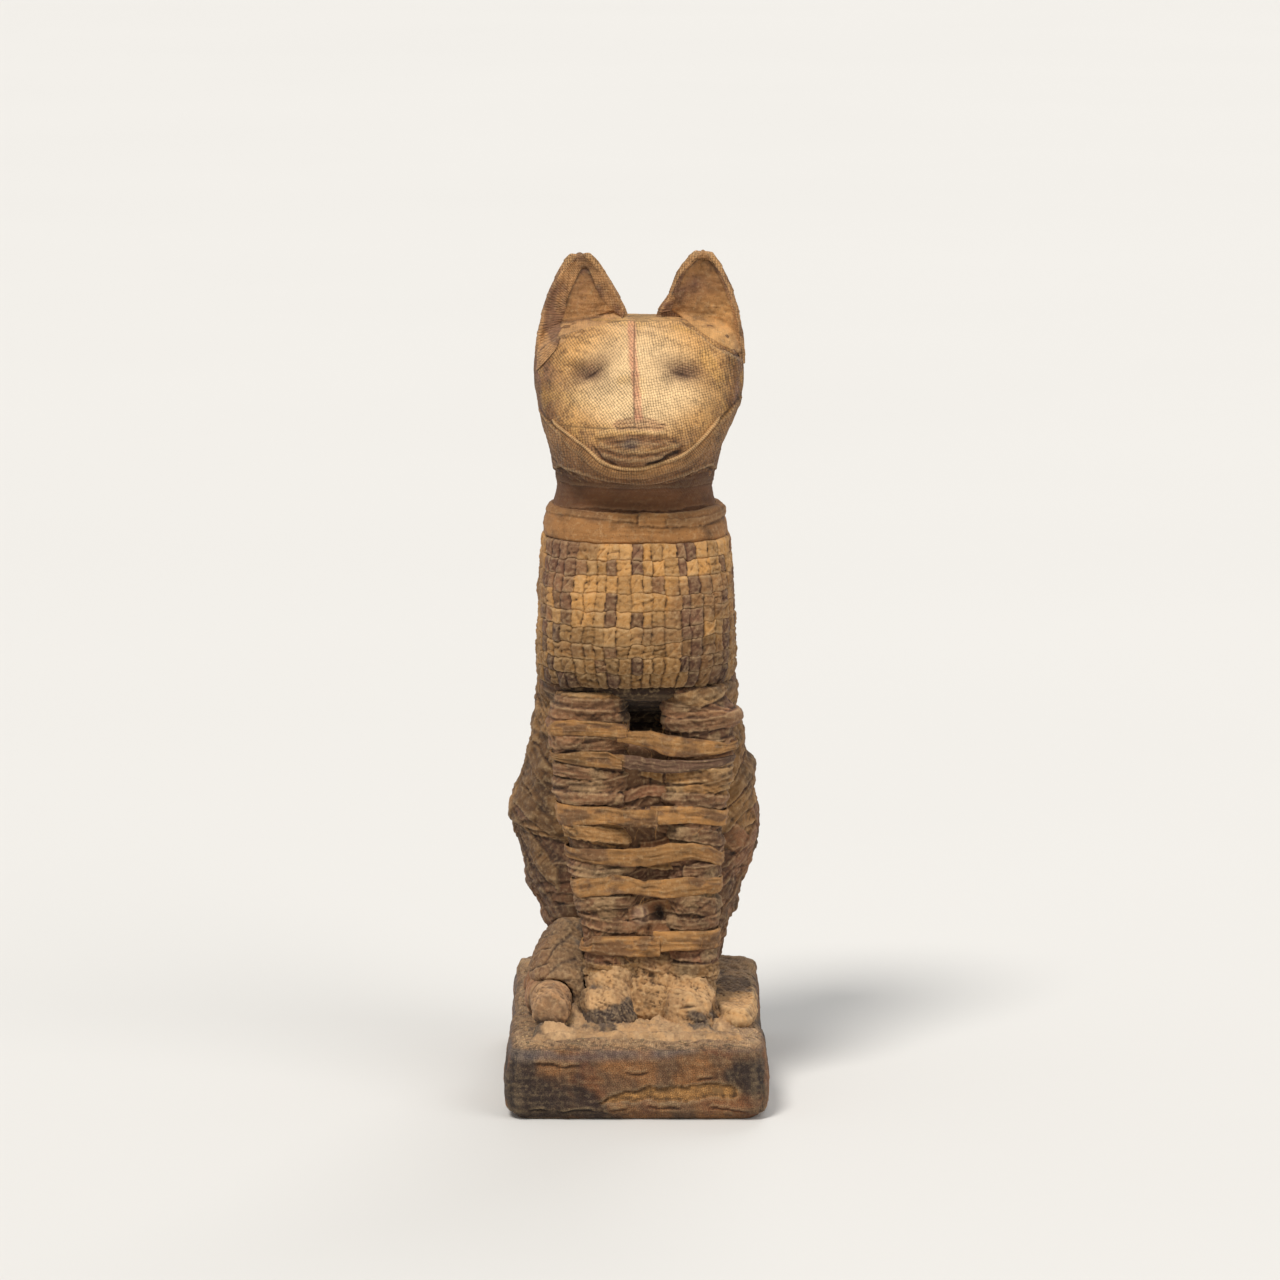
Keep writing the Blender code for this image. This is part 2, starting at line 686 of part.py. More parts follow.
def head_form():
    """The head with its muzzle and sunk eyes."""
    bm = loft(reaching(HEAD, above=False), HEAD_ROUNDNESS, HEAD_POINTS, HEAD_FRONT_BIAS)
    for vert in bm.verts:
        if vert.co.y > FACE_BACK:
            continue
        x, height = vert.co.x - FACE_MIDDLE, vert.co.z - PLINTH_HEIGHT
        muzzle = math.hypot(x / MUZZLE_HALF_WIDTH, (height - MUZZLE_HEIGHT) / MUZZLE_HALF_HEIGHT)
        vert.co.y -= MUZZLE_REACH * math.exp(-muzzle ** 2)
        for side in (-1, 1):
            eye = math.hypot(x - side * EYE_SPACING / 2, height - EYE_HEIGHT) / EYE_RADIUS
            vert.co.y += EYE_SINK * math.exp(-eye ** 2)
    return bm


def make_head(form, bores):
    foot = level(NECK_TOP + GAP, False)
    part("head_cover", shell(form, (foot,), 0, -HEAD_CLOTH), PALE_LINEN)
    packing = trimmed(grown(form, -(HEAD_CLOTH + GAP)), (foot,), capped=True)
    packing = part("head_packing", packing, PACKING)
    neck_middle = RIB_RADIUS + GAP / 2
    bore = rod(rib_point(NECK_TOP - 2 * NECK_BORE_RADIUS, neck_middle),
               rib_point(NECK_BORE_TOP, neck_middle), NECK_BORE_RADIUS)
    cut(packing, cutter("neck_bore", bore), bores["palm_rib"], *skull_shapes("space", GAP))
    cut(packing, cutter("jaw_space", jaw_bar(GAP)))
    sling_planes = sling_edges()
    part("chin_sling", shell(form, sling_planes, GAP + SLING_CLOTH, GAP), TAN_LINEN)


def sling_edges():
    normal = Vector((0, -SLING_SLOPE, 1)).normalized()
    upper = Vector((0, SLING_FRONT, PLINTH_HEIGHT + SLING_HEIGHT))
    lower = upper - normal * SLING_WIDTH
    end = (Vector((0, SLING_END, 0)), Vector((0, 1, 0)))
    return ((upper, normal), (lower, -normal), end)


def skull_shapes(name, ease):
    """The skull's three rounded masses, each enlarged by an ease."""
    centre = Vector(SKULL_CENTRE) + Vector((0, 0, PLINTH_HEIGHT))
    masses = ((Vector(), SKULL_RADII), (Vector(SNOUT_OFFSET), SNOUT_RADII),
              (Vector(CHEEK_OFFSET), CHEEK_RADII))
    shapes = []
    for index, (offset, radii) in enumerate(masses):
        eased = [radius + ease for radius in radii]
        shapes.append(cutter(f"skull_{name}_{index + 1}", ball(centre + offset, eased)))
    return shapes


def jaw_bar(ease):
    """The lower jaw: a bar that bends round under the snout."""
    centre = Vector(SKULL_CENTRE) + Vector((0, 0, PLINTH_HEIGHT - JAW_DROP))
    half = []
    for step in range(JAW_STEPS + 1):
        turn = math.pi / 2 * step / JAW_STEPS
        along = JAW_BACK + (JAW_CHIN - JAW_BACK) * math.sin(turn)
        half.append(Vector((-JAW_HALF_WIDTH * math.cos(turn), along, 0)))
    mirrored = [Vector((-p.x, p.y, p.z)) for p in reversed(half[:-1])]
    points = [centre + p for p in half + mirrored]
    return tube("jaw", points, [JAW_RADIUS + ease] * len(points))


def make_skull(bores):
    cranium, snout, cheeks = skull_shapes("mass", 0)
    mass = bmesh.new()
    mass.from_mesh(cranium.data)
    skull = part("skull", mass, BONE, BONE_ROUGHNESS)
    combine(skull, snout, "UNION")
    combine(skull, cheeks, "UNION")
    centre = Vector(SKULL_CENTRE) + Vector((0, 0, PLINTH_HEIGHT))
    for side in (-1, 1):
        place = centre + Vector((side * ORBIT_OFFSET[0], *ORBIT_OFFSET[1:]))
        cut(skull, cutter(f"orbit_{side + 2}", ball(place, [ORBIT_RADIUS] * 3, 10, 6)))
    cut(skull, bores["palm_rib"])
    part("jaw", jaw_bar(0), BONE, BONE_ROUGHNESS)


def make_skeleton():
    """Spine, rib cage and pelvis along the palm rib, with the folded legs beside them."""
    spine_forward = RIB_RADIUS + GAP + SPINE_RADIUS
    pitch = (SPINE_TOP - SPINE_BOTTOM) / VERTEBRAE
    points, radii = [], []
    for index in range(2 * VERTEBRAE + 1):
        points.append(rib_point(SPINE_BOTTOM + index * pitch / 2, spine_forward))
        radii.append(SPINE_NECK if index % 2 == 0 else SPINE_RADIUS)
    part("spine", tube("spine", points, radii), BONE, BONE_ROUGHNESS)
    make_rib_cage(spine_forward + SPINE_RADIUS + GAP)
    make_pelvis(spine_forward)
    hip = PELVIS_BAR + pelvis_radius() + ILIUM_THICKNESS + GAP + LEG_BONE_RADIUS * BONE_KNOB
    shoulder = CAGE_HALF_WIDTH + GAP + LEG_BONE_RADIUS * BONE_KNOB
    middle = spine_forward / 2
    for name, side in (("left", -1), ("right", 1)):
        folded_bones(f"{name}_hind_bones", side * hip, middle, PELVIS_HEIGHT, THIGH_HEIGHT,
                     THIGH_REACH, SHIN_REACH)
        chest = spine_forward + SPINE_RADIUS + CAGE_DEPTH / 2
        folded_bones(f"{name}_arm_bones", side * shoulder, chest, CAGE_TOP, -FOREARM_HEIGHT,
                     0.0, FOREARM_REACH)


def long_bone(name, begin, end):
    """A bone between two points, thicker at both ends."""
    points, radii = [], []
    for share, knob in ((0.0, BONE_KNOB), (BONE_NECK, 1.0), (1 - BONE_NECK, 1.0), (1.0, BONE_KNOB)):
        points.append(begin.lerp(end, share))
        radii.append(LEG_BONE_RADIUS * knob)
    return tube(name, points, radii)


def folded_bones(name, across, forward, start, rise, reach, fold):
    """Two long bones, bent back on each other at the knee or elbow."""
    near = rib_point(start, forward, across)
    bend = rib_point(start + rise, forward + reach, across)
    far = rib_point(start + rise * BONE_SHORTER, forward + reach + fold, across)
    bones = part(name, long_bone(name, near, bend), BONE, BONE_ROUGHNESS)
    combine(bones, cutter(f"{name}_lower", long_bone(f"{name}_lower", bend, far)), "UNION")


def make_rib_cage(near):
    """A barrel open at both ends, slotted between its ribs, with breastbone and back strips."""
    stations = []
    for share, narrow in CAGE_SHAPE:
        stations.append((CAGE_BOTTOM + (CAGE_TOP - CAGE_BOTTOM) * share, narrow))
    bm = bmesh.new()
    rows = []
    for distance, narrow in stations:
        row = []
        for index in range(CAGE_POINTS):
            turn = math.tau * index / CAGE_POINTS
            forward = near + CAGE_DEPTH / 2 * (1 - math.cos(turn)) * narrow
            row.append(bm.verts.new(rib_point(distance, forward, CAGE_HALF_WIDTH * narrow * math.sin(turn))))
        rows.append(row)
    for lower, upper in zip(rows, rows[1:]):
        for index in range(CAGE_POINTS):
            following = (index + 1) % CAGE_POINTS
            bm.faces.new((lower[index], lower[following], upper[following], upper[index]))
    bmesh.ops.recalc_face_normals(bm, faces=bm.faces)
    cage = part("rib_cage", bm, BONE, BONE_ROUGHNESS)
    solidify(cage, CAGE_WALL)
    slots = bmesh.new()
    pitch = (CAGE_TOP - CAGE_BOTTOM) / RIB_PAIRS
    for pair in range(RIB_PAIRS - 1):
        middle = CAGE_BOTTOM + pitch * (pair + 1)
        for side in (-1, 1):
            add_slot(slots, middle, side, near)
    cut(cage, cutter("rib_slots", slots))


def add_slot(bm, middle, side, near):
    """One slot between two ribs on one side of the rib cage."""
    inner, outer = CAGE_STRIP / 2, 2 * CAGE_HALF_WIDTH
    made = bmesh.ops.create_cube(bm, size=1.0)["verts"]
    bmesh.ops.scale(bm, vec=(outer - inner, 2 * CAGE_DEPTH, RIB_SPACE), verts=made)
    place = rib_point(middle, near + CAGE_DEPTH / 2, side * (inner + outer) / 2)
    turn = Matrix.Rotation(RIB_LEAN, 4, "X")
    bmesh.ops.transform(bm, matrix=Matrix.Translation(place) @ turn, verts=made)


def pelvis_radius():
    """Radius of the pelvis ring, which goes round the palm rib and the spine."""
    return RIB_RADIUS + SPINE_RADIUS + GAP + PELVIS_BAR + GAP / 2


def make_pelvis(spine_forward):
    centre = spine_forward / 2
    radius = pelvis_radius()
    points = []
    for index in range(PELVIS_POINTS):
        turn = math.tau * index / PELVIS_POINTS
        points.append(rib_point(PELVIS_HEIGHT, centre + radius * math.cos(turn), radius * math.sin(turn)))
    ring_bar = tube_curve("pelvis", points, [PELVIS_BAR] * PELVIS_POINTS, 1, False)
    ring_bar.data.splines[0].use_cyclic_u = True
    pelvis = part("pelvis", meshed(ring_bar), BONE, BONE_ROUGHNESS)
    for side in (-1, 1):
        place = rib_point(PELVIS_HEIGHT, centre, side * (radius + PELVIS_BAR))
        wing = ball(place, (ILIUM_THICKNESS, ILIUM_DEPTH, ILIUM_HEIGHT), 10, 6)
        combine(pelvis, cutter(f"ilium_{side + 2}", wing), "UNION")


def make_forelegs(body_space, bores):
    for side, stations in (("left", LEFT_FORELEG), ("right", RIGHT_FORELEG)):
        sections = reaching([foreleg_section(s) for s in stations])
        form = loft(sections, FORELEG_ROUNDNESS, FORELEG_POINTS)
        ends = (level(FORELEG_SEAT, False), level(FORELEG_TOP, True))
        wrap = part(f"{side}_foreleg_wrap", shell(form, ends, 0, -LIMB_WRAP), BROWN_LINEN)
        packing = trimmed(grown(form, -(LIMB_WRAP + GAP)), ends, capped=True)
        packing = part(f"{side}_foreleg_packing", packing, PACKING)
        cut(wrap, body_space)
        cut(packing, body_space, bores[f"{side}_leg_reed"])
        space = trimmed(grown(form, GAP), (level(FORELEG_SEAT - GAP, False),), capped=True)
        leg_space = cutter(f"{side}_foreleg_space", space)
        across = LEFT_PAW_ACROSS if side == "left" else RIGHT_PAW_ACROSS
        form = mound(across, PAW_HALF_WIDTH, PAW_FRONT, PAW_BACK, PAW_HEIGHT)
        cutter(f"{side}_paw_space", grown(form, GAP))
        cut(part(f"{side}_paw", form, TAN_LINEN), leg_space, bores[f"{side}_leg_reed"])


def make_leg_web():
    """The packing between the forelegs, hollowed on both sides where the legs lie in it."""
    sections = []
    for height in (WEB_FOOT, *(s[0] for s in LEFT_FORELEG if WEB_FOOT < s[0] < WEB_TOP), WEB_TOP):
        left, right = section_at(LEFT_FORELEG, height), section_at(RIGHT_FORELEG, height)
        low = left.across + WEB_INSET * left.half_width
        high = right.across - WEB_INSET * right.half_width
        sections.append(Section(height, (low + high) / 2, (high - low) / 2,
                                WEB_FRONT, FORELEG_BACK, WEB_SQUARENESS))
    web = part("foreleg_web", loft(sections, FORELEG_ROUNDNESS, FORELEG_POINTS), PACKING)
    cut(web, bpy.data.objects["left_foreleg_space"], bpy.data.objects["right_foreleg_space"])


def mound(across, half_width, front, back, height):
    """A low rounded heap of wrapped linen, flat underneath."""
    middle, half_depth = (front + back) / 2, (back - front) / 2
    rows = []
    for row in range(MOUND_ROWS + 1):
        turn = math.pi / 2 * row / (MOUND_ROWS + MOUND_TOP)
        spread = math.cos(turn) ** MOUND_SWELL
        rows.append(Section(GAP + height * math.sin(turn), across, half_width * spread,
                            middle - half_depth * spread, middle + half_depth * spread))
    return loft(rows, MOUND_ROUNDNESS, MOUND_POINTS)


def tie_hull(low, high, rise, ease):
    """The taut outline round both forelegs between two heights, enlarged by an ease."""
    bm = bmesh.new()
    tie_centre = (LEFT_FORELEG[3][1] + RIGHT_FORELEG[3][1]) / 2
    for stations in (LEFT_FORELEG, RIGHT_FORELEG):
        between = [s[0] for s in stations if low < s[0] < high]
        for height in (low, *between, high):
            s = section_at(stations, height)
            grown_section = Section(height, s.across, s.half_width + ease, s.front - ease, s.back + ease)
            for point in ring(grown_section, FORELEG_ROUNDNESS, FORELEG_POINTS):
                point.z += rise * (point.x - tie_centre)
                bm.verts.new(point)
    bmesh.ops.convex_hull(bm, input=bm.verts)
    bmesh.ops.delete(bm, geom=[v for v in bm.verts if not v.link_faces], context="VERTS")
    bmesh.ops.recalc_face_normals(bm, faces=bm.faces)
    return bm


def make_leg_bands():
    for index, (middle, width, rise) in enumerate(LEG_BANDS):
        low, high = middle - width / 2, middle + width / 2
        band = part(f"leg_band_{index + 1}", tie_hull(low, high, rise, BAND_EASE + BAND_STRIP), TAN_LINEN)
        inner = tie_hull(low - BAND_OVERCUT, high + BAND_OVERCUT, rise, BAND_EASE)
        cut(band, cutter(f"leg_band_{index + 1}_inside", inner))


def tail_points(shrink=0.0, ends=True):
    """The tail's route as points and radii; its narrowing ends keep the height of the rest."""
    first, last = TAIL_END_POINTS, len(TAIL_ROUTE) - TAIL_END_POINTS - 1
    points, radii = [], []
    for index, (across, along, radius) in enumerate(TAIL_ROUTE):
        if not ends and not first <= index <= last:
            continue
        resting = TAIL_ROUTE[min(max(index, first), last)][2]
        points.append(Vector((across, along, PLINTH_HEIGHT + GAP + resting)))
        radii.append(radius - shrink)
    return points, radii


def make_tail():
    """The wrapped tail and its core; returns the shape that the left foot is cut by."""
    bm = tube("tail_wrap", *tail_points(), TAIL_SIDES_RESOLUTION, False)
    tip = min(open_loops(bm), key=lambda loop: loop_centre(loop).y)
    bmesh.ops.contextual_create(bm, geom=tip)
    bmesh.ops.recalc_face_normals(bm, faces=bm.faces)
    wrap = part("tail_wrap", bm, BROWN_LINEN)
    solidify(wrap, LIMB_WRAP)
    points, radii = tail_points(LIMB_WRAP + GAP, ends=False)
    part("tail_core", tube("tail_core", points, radii, TAIL_SIDES_RESOLUTION), PACKING)
    return cutter("tail_space", tube("tail_space", *tail_points(-GAP), TAIL_SIDES_RESOLUTION))


def make_haunches(body_space, tail_top):
    spaces = {}
    for side, sign, foot in (("left", -1, tail_top + 2 * GAP), ("right", 1, 0)):
        form = loft(HAUNCH, HAUNCH_ROUNDNESS, HAUNCH_POINTS)
        bmesh.ops.scale(form, vec=(sign, 1, 1), verts=form.verts)
        trimmed(form, (level(foot, False),), capped=True)
        bmesh.ops.triangulate(form, faces=form.faces)
        bmesh.ops.recalc_face_normals(form, faces=form.faces)
        inner = cutter(f"{side}_haunch_inside", grown(form, -LIMB_WRAP))
        wrap = part(f"{side}_haunch_wrap", form.copy(), BROWN_LINEN)
        cut(wrap, body_space, inner)
        packing = part(f"{side}_haunch_packing", grown(form, -(LIMB_WRAP + GAP)), PACKING)
        cut(packing, body_space)
        spaces[side] = cutter(f"{side}_haunch_space", grown(form, GAP))
        form.free()
    return spaces


def make_hind_feet(body_space, haunch_spaces, tail_space):
    """The right foot lies flat beside its paw; the left one is drawn up against the tail."""
    flat = mound(HIND_FOOT_ACROSS, HIND_FOOT_HALF_WIDTH, HIND_FOOT_FRONT, HIND_FOOT_BACK, HIND_FOOT_HEIGHT)
    raised = loft(LEFT_FOOT, MOUND_ROUNDNESS, MOUND_POINTS)
    for side, form in (("right", flat), ("left", raised)):
        foot = part(f"{side}_hind_foot", form, TAN_LINEN)
        leg, paw = (bpy.data.objects[f"{side}_{kind}_space"] for kind in ("foreleg", "paw"))
        cut(foot, body_space, haunch_spaces[side], leg, paw)
    middle, width, rise = LEG_BANDS[0]
    low, high = middle - width / 2 - GAP, middle + width / 2 + GAP
    band = tie_hull(low, high, rise, BAND_EASE + BAND_STRIP + GAP)
    cut(foot, tail_space, cutter("lowest_band_space", band))


def ear_point(ear, across, up):
    """A point of an ear's scooped face: across from its outer to its inner edge, and up to its tip."""
    outer = Vector(ear.outer).lerp(Vector(ear.tip_outer), up)
    inner = Vector(ear.inner).lerp(Vector(ear.tip_inner), up)
    outwards = math.copysign(ear.bulge, ear.outer[0]) * math.sin(math.pi * up)
    outer.x += outwards
    place = outer.lerp(inner, across)
    arch = math.sin(math.pi * across)
    rise = place.y + EAR_TIP_ROUND * arch * up ** 4
    base = (ear.outer[1] + ear.inner[1]) / 2
    depth = EAR_SETBACK + EAR_CUP * arch * (1 - EAR_TIP_NARROWING * up) + EAR_LEAN * (rise - base)
    return Vector((place.x, depth, PLINTH_HEIGHT + rise))


def ear_lift(ear, across, up, lift):
    """An ear point moved out of the scooped face, towards the front."""
    step = 0.01
    along = ear_point(ear, across + step, up) - ear_point(ear, across - step, up)
    rise = ear_point(ear, across, up + step) - ear_point(ear, across, up - step)
    normal = along.cross(rise).normalized()
    if normal.y > 0:
        normal = -normal
    return ear_point(ear, across, up) + normal * lift


def ear_sheet(ear, from_across, to_across, from_up, to_up, low, high):
    """A curved plate between two lifts off the ear's scooped face."""
    bm = bmesh.new()
    faces = []
    for lift in (low, high):
        grid = []
        for row in range(EAR_ROWS + 1):
            up = from_up + (to_up - from_up) * row / EAR_ROWS
            step = (to_across - from_across) / EAR_COLUMNS
            shares = [from_across + step * column for column in range(EAR_COLUMNS + 1)]
            grid.append([bm.verts.new(ear_lift(ear, share, up, lift)) for share in shares])
        for low_row, high_row in zip(grid, grid[1:]):
            for c in range(EAR_COLUMNS):
                faces.append(bm.faces.new((low_row[c], low_row[c + 1], high_row[c + 1], high_row[c])))
    near, far = open_loops(bm)
    bmesh.ops.bridge_loops(bm, edges=near + far)
    bmesh.ops.recalc_face_normals(bm, faces=bm.faces)
    return bm


def make_ears(head_space):
    half = EAR_THICKNESS / 2
    for side, ear in (("left", LEFT_EAR), ("right", RIGHT_EAR)):
        plate = part(f"{side}_ear", ear_sheet(ear, 0, 1, 0, 1, -half, half), PALE_LINEN)
        near = half + GAP
        lining = ear_sheet(ear, *EAR_LINING_ACROSS, *EAR_LINING_UP, near, near + EAR_LINING)
        lining = part(f"{side}_ear_lining", lining, BROWN_LINEN)
        route = [(0.0, r / EAR_ROWS) for r in range(EAR_ROWS + 1)]
        route += [(c / 4, 1.0) for c in range(1, 4)]
        route += [(1.0, 1 - r / EAR_ROWS) for r in range(EAR_ROWS + 1)]
        points = [ear_lift(ear, across, up, half + GAP + EAR_RIM_RADIUS) for across, up in route]
        rim = part(f"{side}_ear_rim", tube("rim", points, [EAR_RIM_RADIUS] * len(points)), TAN_LINEN)
        for piece in (plate, lining, rim):
            cut(piece, head_space)


def main():
    clear_scene()
    bores = make_stiffeners()
    make_plinth(bores.values())
    body = loft(reaching(BODY), BODY_ROUNDNESS, BODY_POINTS)
    body_space = make_body(body)
    make_skeleton()
    head = head_form()
    make_head(head, bores)
    make_skull(bores)
    make_ears(cutter("head_space", grown(head, GAP)))
    make_forelegs(body_space, bores)
    make_leg_web()
    make_leg_bands()
    tail_space = make_tail()
    tail_top = 2 * max(radius for _, along, radius in TAIL_ROUTE if along > HAUNCH[4].front)
    spaces = make_haunches(body_space, tail_top)
    make_hind_feet(body_space, spaces, tail_space)


main()
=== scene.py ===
"""An Egyptian cat mummy on its plinth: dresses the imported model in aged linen.

Metres, +Z up, the cat faces -Y, and left and right are the viewer's. Laid out as a Blender
add-on: each operator makes one piece or group of like pieces over the CAD frame.
"""

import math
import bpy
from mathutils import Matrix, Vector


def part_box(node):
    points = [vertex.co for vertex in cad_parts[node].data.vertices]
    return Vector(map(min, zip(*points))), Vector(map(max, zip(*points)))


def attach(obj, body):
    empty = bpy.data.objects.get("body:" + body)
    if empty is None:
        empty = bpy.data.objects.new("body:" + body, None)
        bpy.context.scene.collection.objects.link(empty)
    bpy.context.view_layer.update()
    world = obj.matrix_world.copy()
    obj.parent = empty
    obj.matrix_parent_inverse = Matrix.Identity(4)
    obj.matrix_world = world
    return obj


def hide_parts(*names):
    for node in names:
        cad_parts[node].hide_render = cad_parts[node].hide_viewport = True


bl_info = {
    "name": "Wrapped Cat Mummy",
    "version": (1, 0, 0),
    "blender": (4, 5, 0),
    "location": "3D View > Sidebar > Mummy",
    "description": "Dresses a seated cat mummy in aged linen strips over its packed model",
    "category": "Object",
}

from types import SimpleNamespace

import bmesh
import bpy
import numpy as np
from mathutils import Vector
from mathutils.bvhtree import BVHTree

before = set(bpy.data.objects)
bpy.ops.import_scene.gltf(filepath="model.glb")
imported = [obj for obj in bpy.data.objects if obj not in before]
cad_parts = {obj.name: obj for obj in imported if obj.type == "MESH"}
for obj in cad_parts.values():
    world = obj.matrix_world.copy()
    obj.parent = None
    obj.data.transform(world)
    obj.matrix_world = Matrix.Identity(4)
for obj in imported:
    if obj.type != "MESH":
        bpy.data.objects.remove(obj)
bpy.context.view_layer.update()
PLINTH_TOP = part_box("plinth_cover")[1].z
# Cells along each side of a noise table, after which the noise repeats
LATTICE = 48


def shade(red, green, blue):
    """A colour given by its screen values from 0 to 255, as Blender's linear values."""
    return np.array([((value / 255 + 0.055) / 1.055) ** 2.4 for value in (red, green, blue)])


# Settings shown in the panel
def tone(name, description, red, green, blue):
    """A colour in the panel."""
    return bpy.props.FloatVectorProperty(
        name=name, description=description, subtype="COLOR", size=3, min=0.0, max=1.0,
        default=tuple(shade(red, green, blue)),
    )


def measure(name, description, default):
    """A length in the panel."""
    return bpy.props.FloatProperty(
        name=name, description=description, default=default, min=0.0, unit="LENGTH", precision=5,
    )


class MummyTones(bpy.types.PropertyGroup):
    """Colours of the linen, the dust and the floor"""

    face: tone("Face", "Pale linen of the face", 240, 202, 150)
    jaw: tone("Jaw", "Linen drawn under the chin", 150, 108, 66)
    wrap: tone("Wraps", "Brown linen of the limbs and back", 122, 86, 58)
    band: tone("Bands", "Golden strips that tie the forelegs", 166, 120, 70)
    light: tone("Chest light", "Undyed strips of the chest weave", 194, 146, 90)
    dark: tone("Chest dark", "Dyed strips of the chest weave", 108, 80, 66)
    neck: tone("Neck", "Fine dark linen of the neck", 108, 70, 42)
    plinth: tone("Plinth", "Linen over the plinth", 116, 84, 58)
    resin: tone("Resin", "Blackened resin stains", 38, 32, 30)
    dust: tone("Dust", "Pale grit and dust", 196, 162, 116)
    paint: tone("Painted line", "Red line down the forehead", 206, 134, 104)
    floor: tone("Floor", "Floor of the studio", 214, 212, 208)


class MummySizes(bpy.types.PropertyGroup):
    """Sizes of threads, strips and grit"""

    pitch: measure("Thread pitch", "Distance between threads of the linen", 0.0007)
    strip: measure("Strip thickness", "Thickness of one wrapped strip", 0.0008)
    crease: measure("Creases", "Height of the creases along a strip", 0.00032)
    cell: measure("Mesh cell", "Distance between points of the cloth", 0.00044)
    lump: measure("Grit", "Largest crumb on the plinth", 0.0011)


def settings(context):
    """The panel's colours, as arrays that can be scaled, and its sizes."""
    tones = context.scene.mummy_tones
    arrays = {key: np.array(getattr(tones, key)) for key in MummyTones.__annotations__}
    return SimpleNamespace(**arrays), context.scene.mummy_sizes


# Smooth noise and softening
def ease(share):
    """A share held between 0 and 1, with a soft start and end."""
    share = np.clip(share, 0.0, 1.0)
    return share * share * (3 - 2 * share)


def mottle(x, y, seed, octaves=1):
    """Smooth noise from 0 to 1 over two coordinates, one lump to each unit."""
    total, weight, sum_weights = 0.0, 1.0, 0.0
    for octave in range(octaves):
        table = np.random.RandomState(seed + 17 * octave).rand(LATTICE, LATTICE)
        column, row = np.floor(x).astype(int), np.floor(y).astype(int)
        right, up = ease(x - column), ease(y - row)
        corner = [table[(row + j) % LATTICE, (column + i) % LATTICE] for j in (0, 1) for i in (0, 1)]
        lower = corner[0] + (corner[1] - corner[0]) * right
        upper = corner[2] + (corner[3] - corner[2]) * right
        total = total + weight * (lower + (upper - lower) * up)
        sum_weights += weight
        weight *= 0.5
        x, y = x * 2.03 + 11.7, y * 2.03 + 5.3
    return total / sum_weights


def grain(points, size, seed, octaves=1):
    """Smooth noise from 0 to 1 in space, from three flat ones."""
    x, y, z = (points[..., axis] / size for axis in range(3))
    sheets = (
        mottle(x + 0.31 * z, y + 0.17 * z, seed, octaves),
        mottle(y + 0.23 * x, z + 0.29 * x, seed + 1, octaves),
        mottle(z + 0.19 * y, x + 0.37 * y, seed + 2, octaves),
    )
    return np.clip((sum(sheets) / 3 - 0.5) * 1.7 + 0.5, 0, 1)


def ridges(noise):
    """Turns smooth noise into sharp crests and broad hollows."""
    return 1 - np.abs(2 * noise - 1)


def soften(field, passes):
    """Evens a grid out, row by row and column by column."""
    for _ in range(passes):
        padded = np.pad(field, ((1, 1), (1, 1)), mode="edge")
        field = (padded[:-2, 1:-1] + padded[2:, 1:-1] + padded[1:-1, :-2] + padded[1:-1, 2:]) / 8 + field / 2
    return field


def mix(first, second, share):
    """Goes from one value or colour to another by a share at each point."""
    share = share[..., None] if np.ndim(first) > np.ndim(share) or np.ndim(second) == 1 else share
    return first + (second - first) * share


def hump(offset, width):
    """A smooth bump: 1 where the offset is 0, and next to nothing two widths off."""
    return np.exp(-((offset / width) ** 2))


def unit(vectors):
    """Vectors of length 1."""
    return vectors / np.maximum(np.linalg.norm(vectors, axis=-1, keepdims=True), 1e-12)


# Forms read from the CAD frame
def ray_tree(meshes):
    """Where rays meet any of the meshes."""
    bm = bmesh.new()
    for mesh in meshes:
        bm.from_mesh(mesh)
    tree = BVHTree.FromBMesh(bm)
    bm.free()
    return tree


def cad_tree(names):
    """Where rays meet CAD nodes."""
    return ray_tree([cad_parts[name].data for name in names])


def piece_tree(*names):
    """Where rays meet finished pieces."""
    return ray_tree([bpy.data.objects[name].data for name in names])


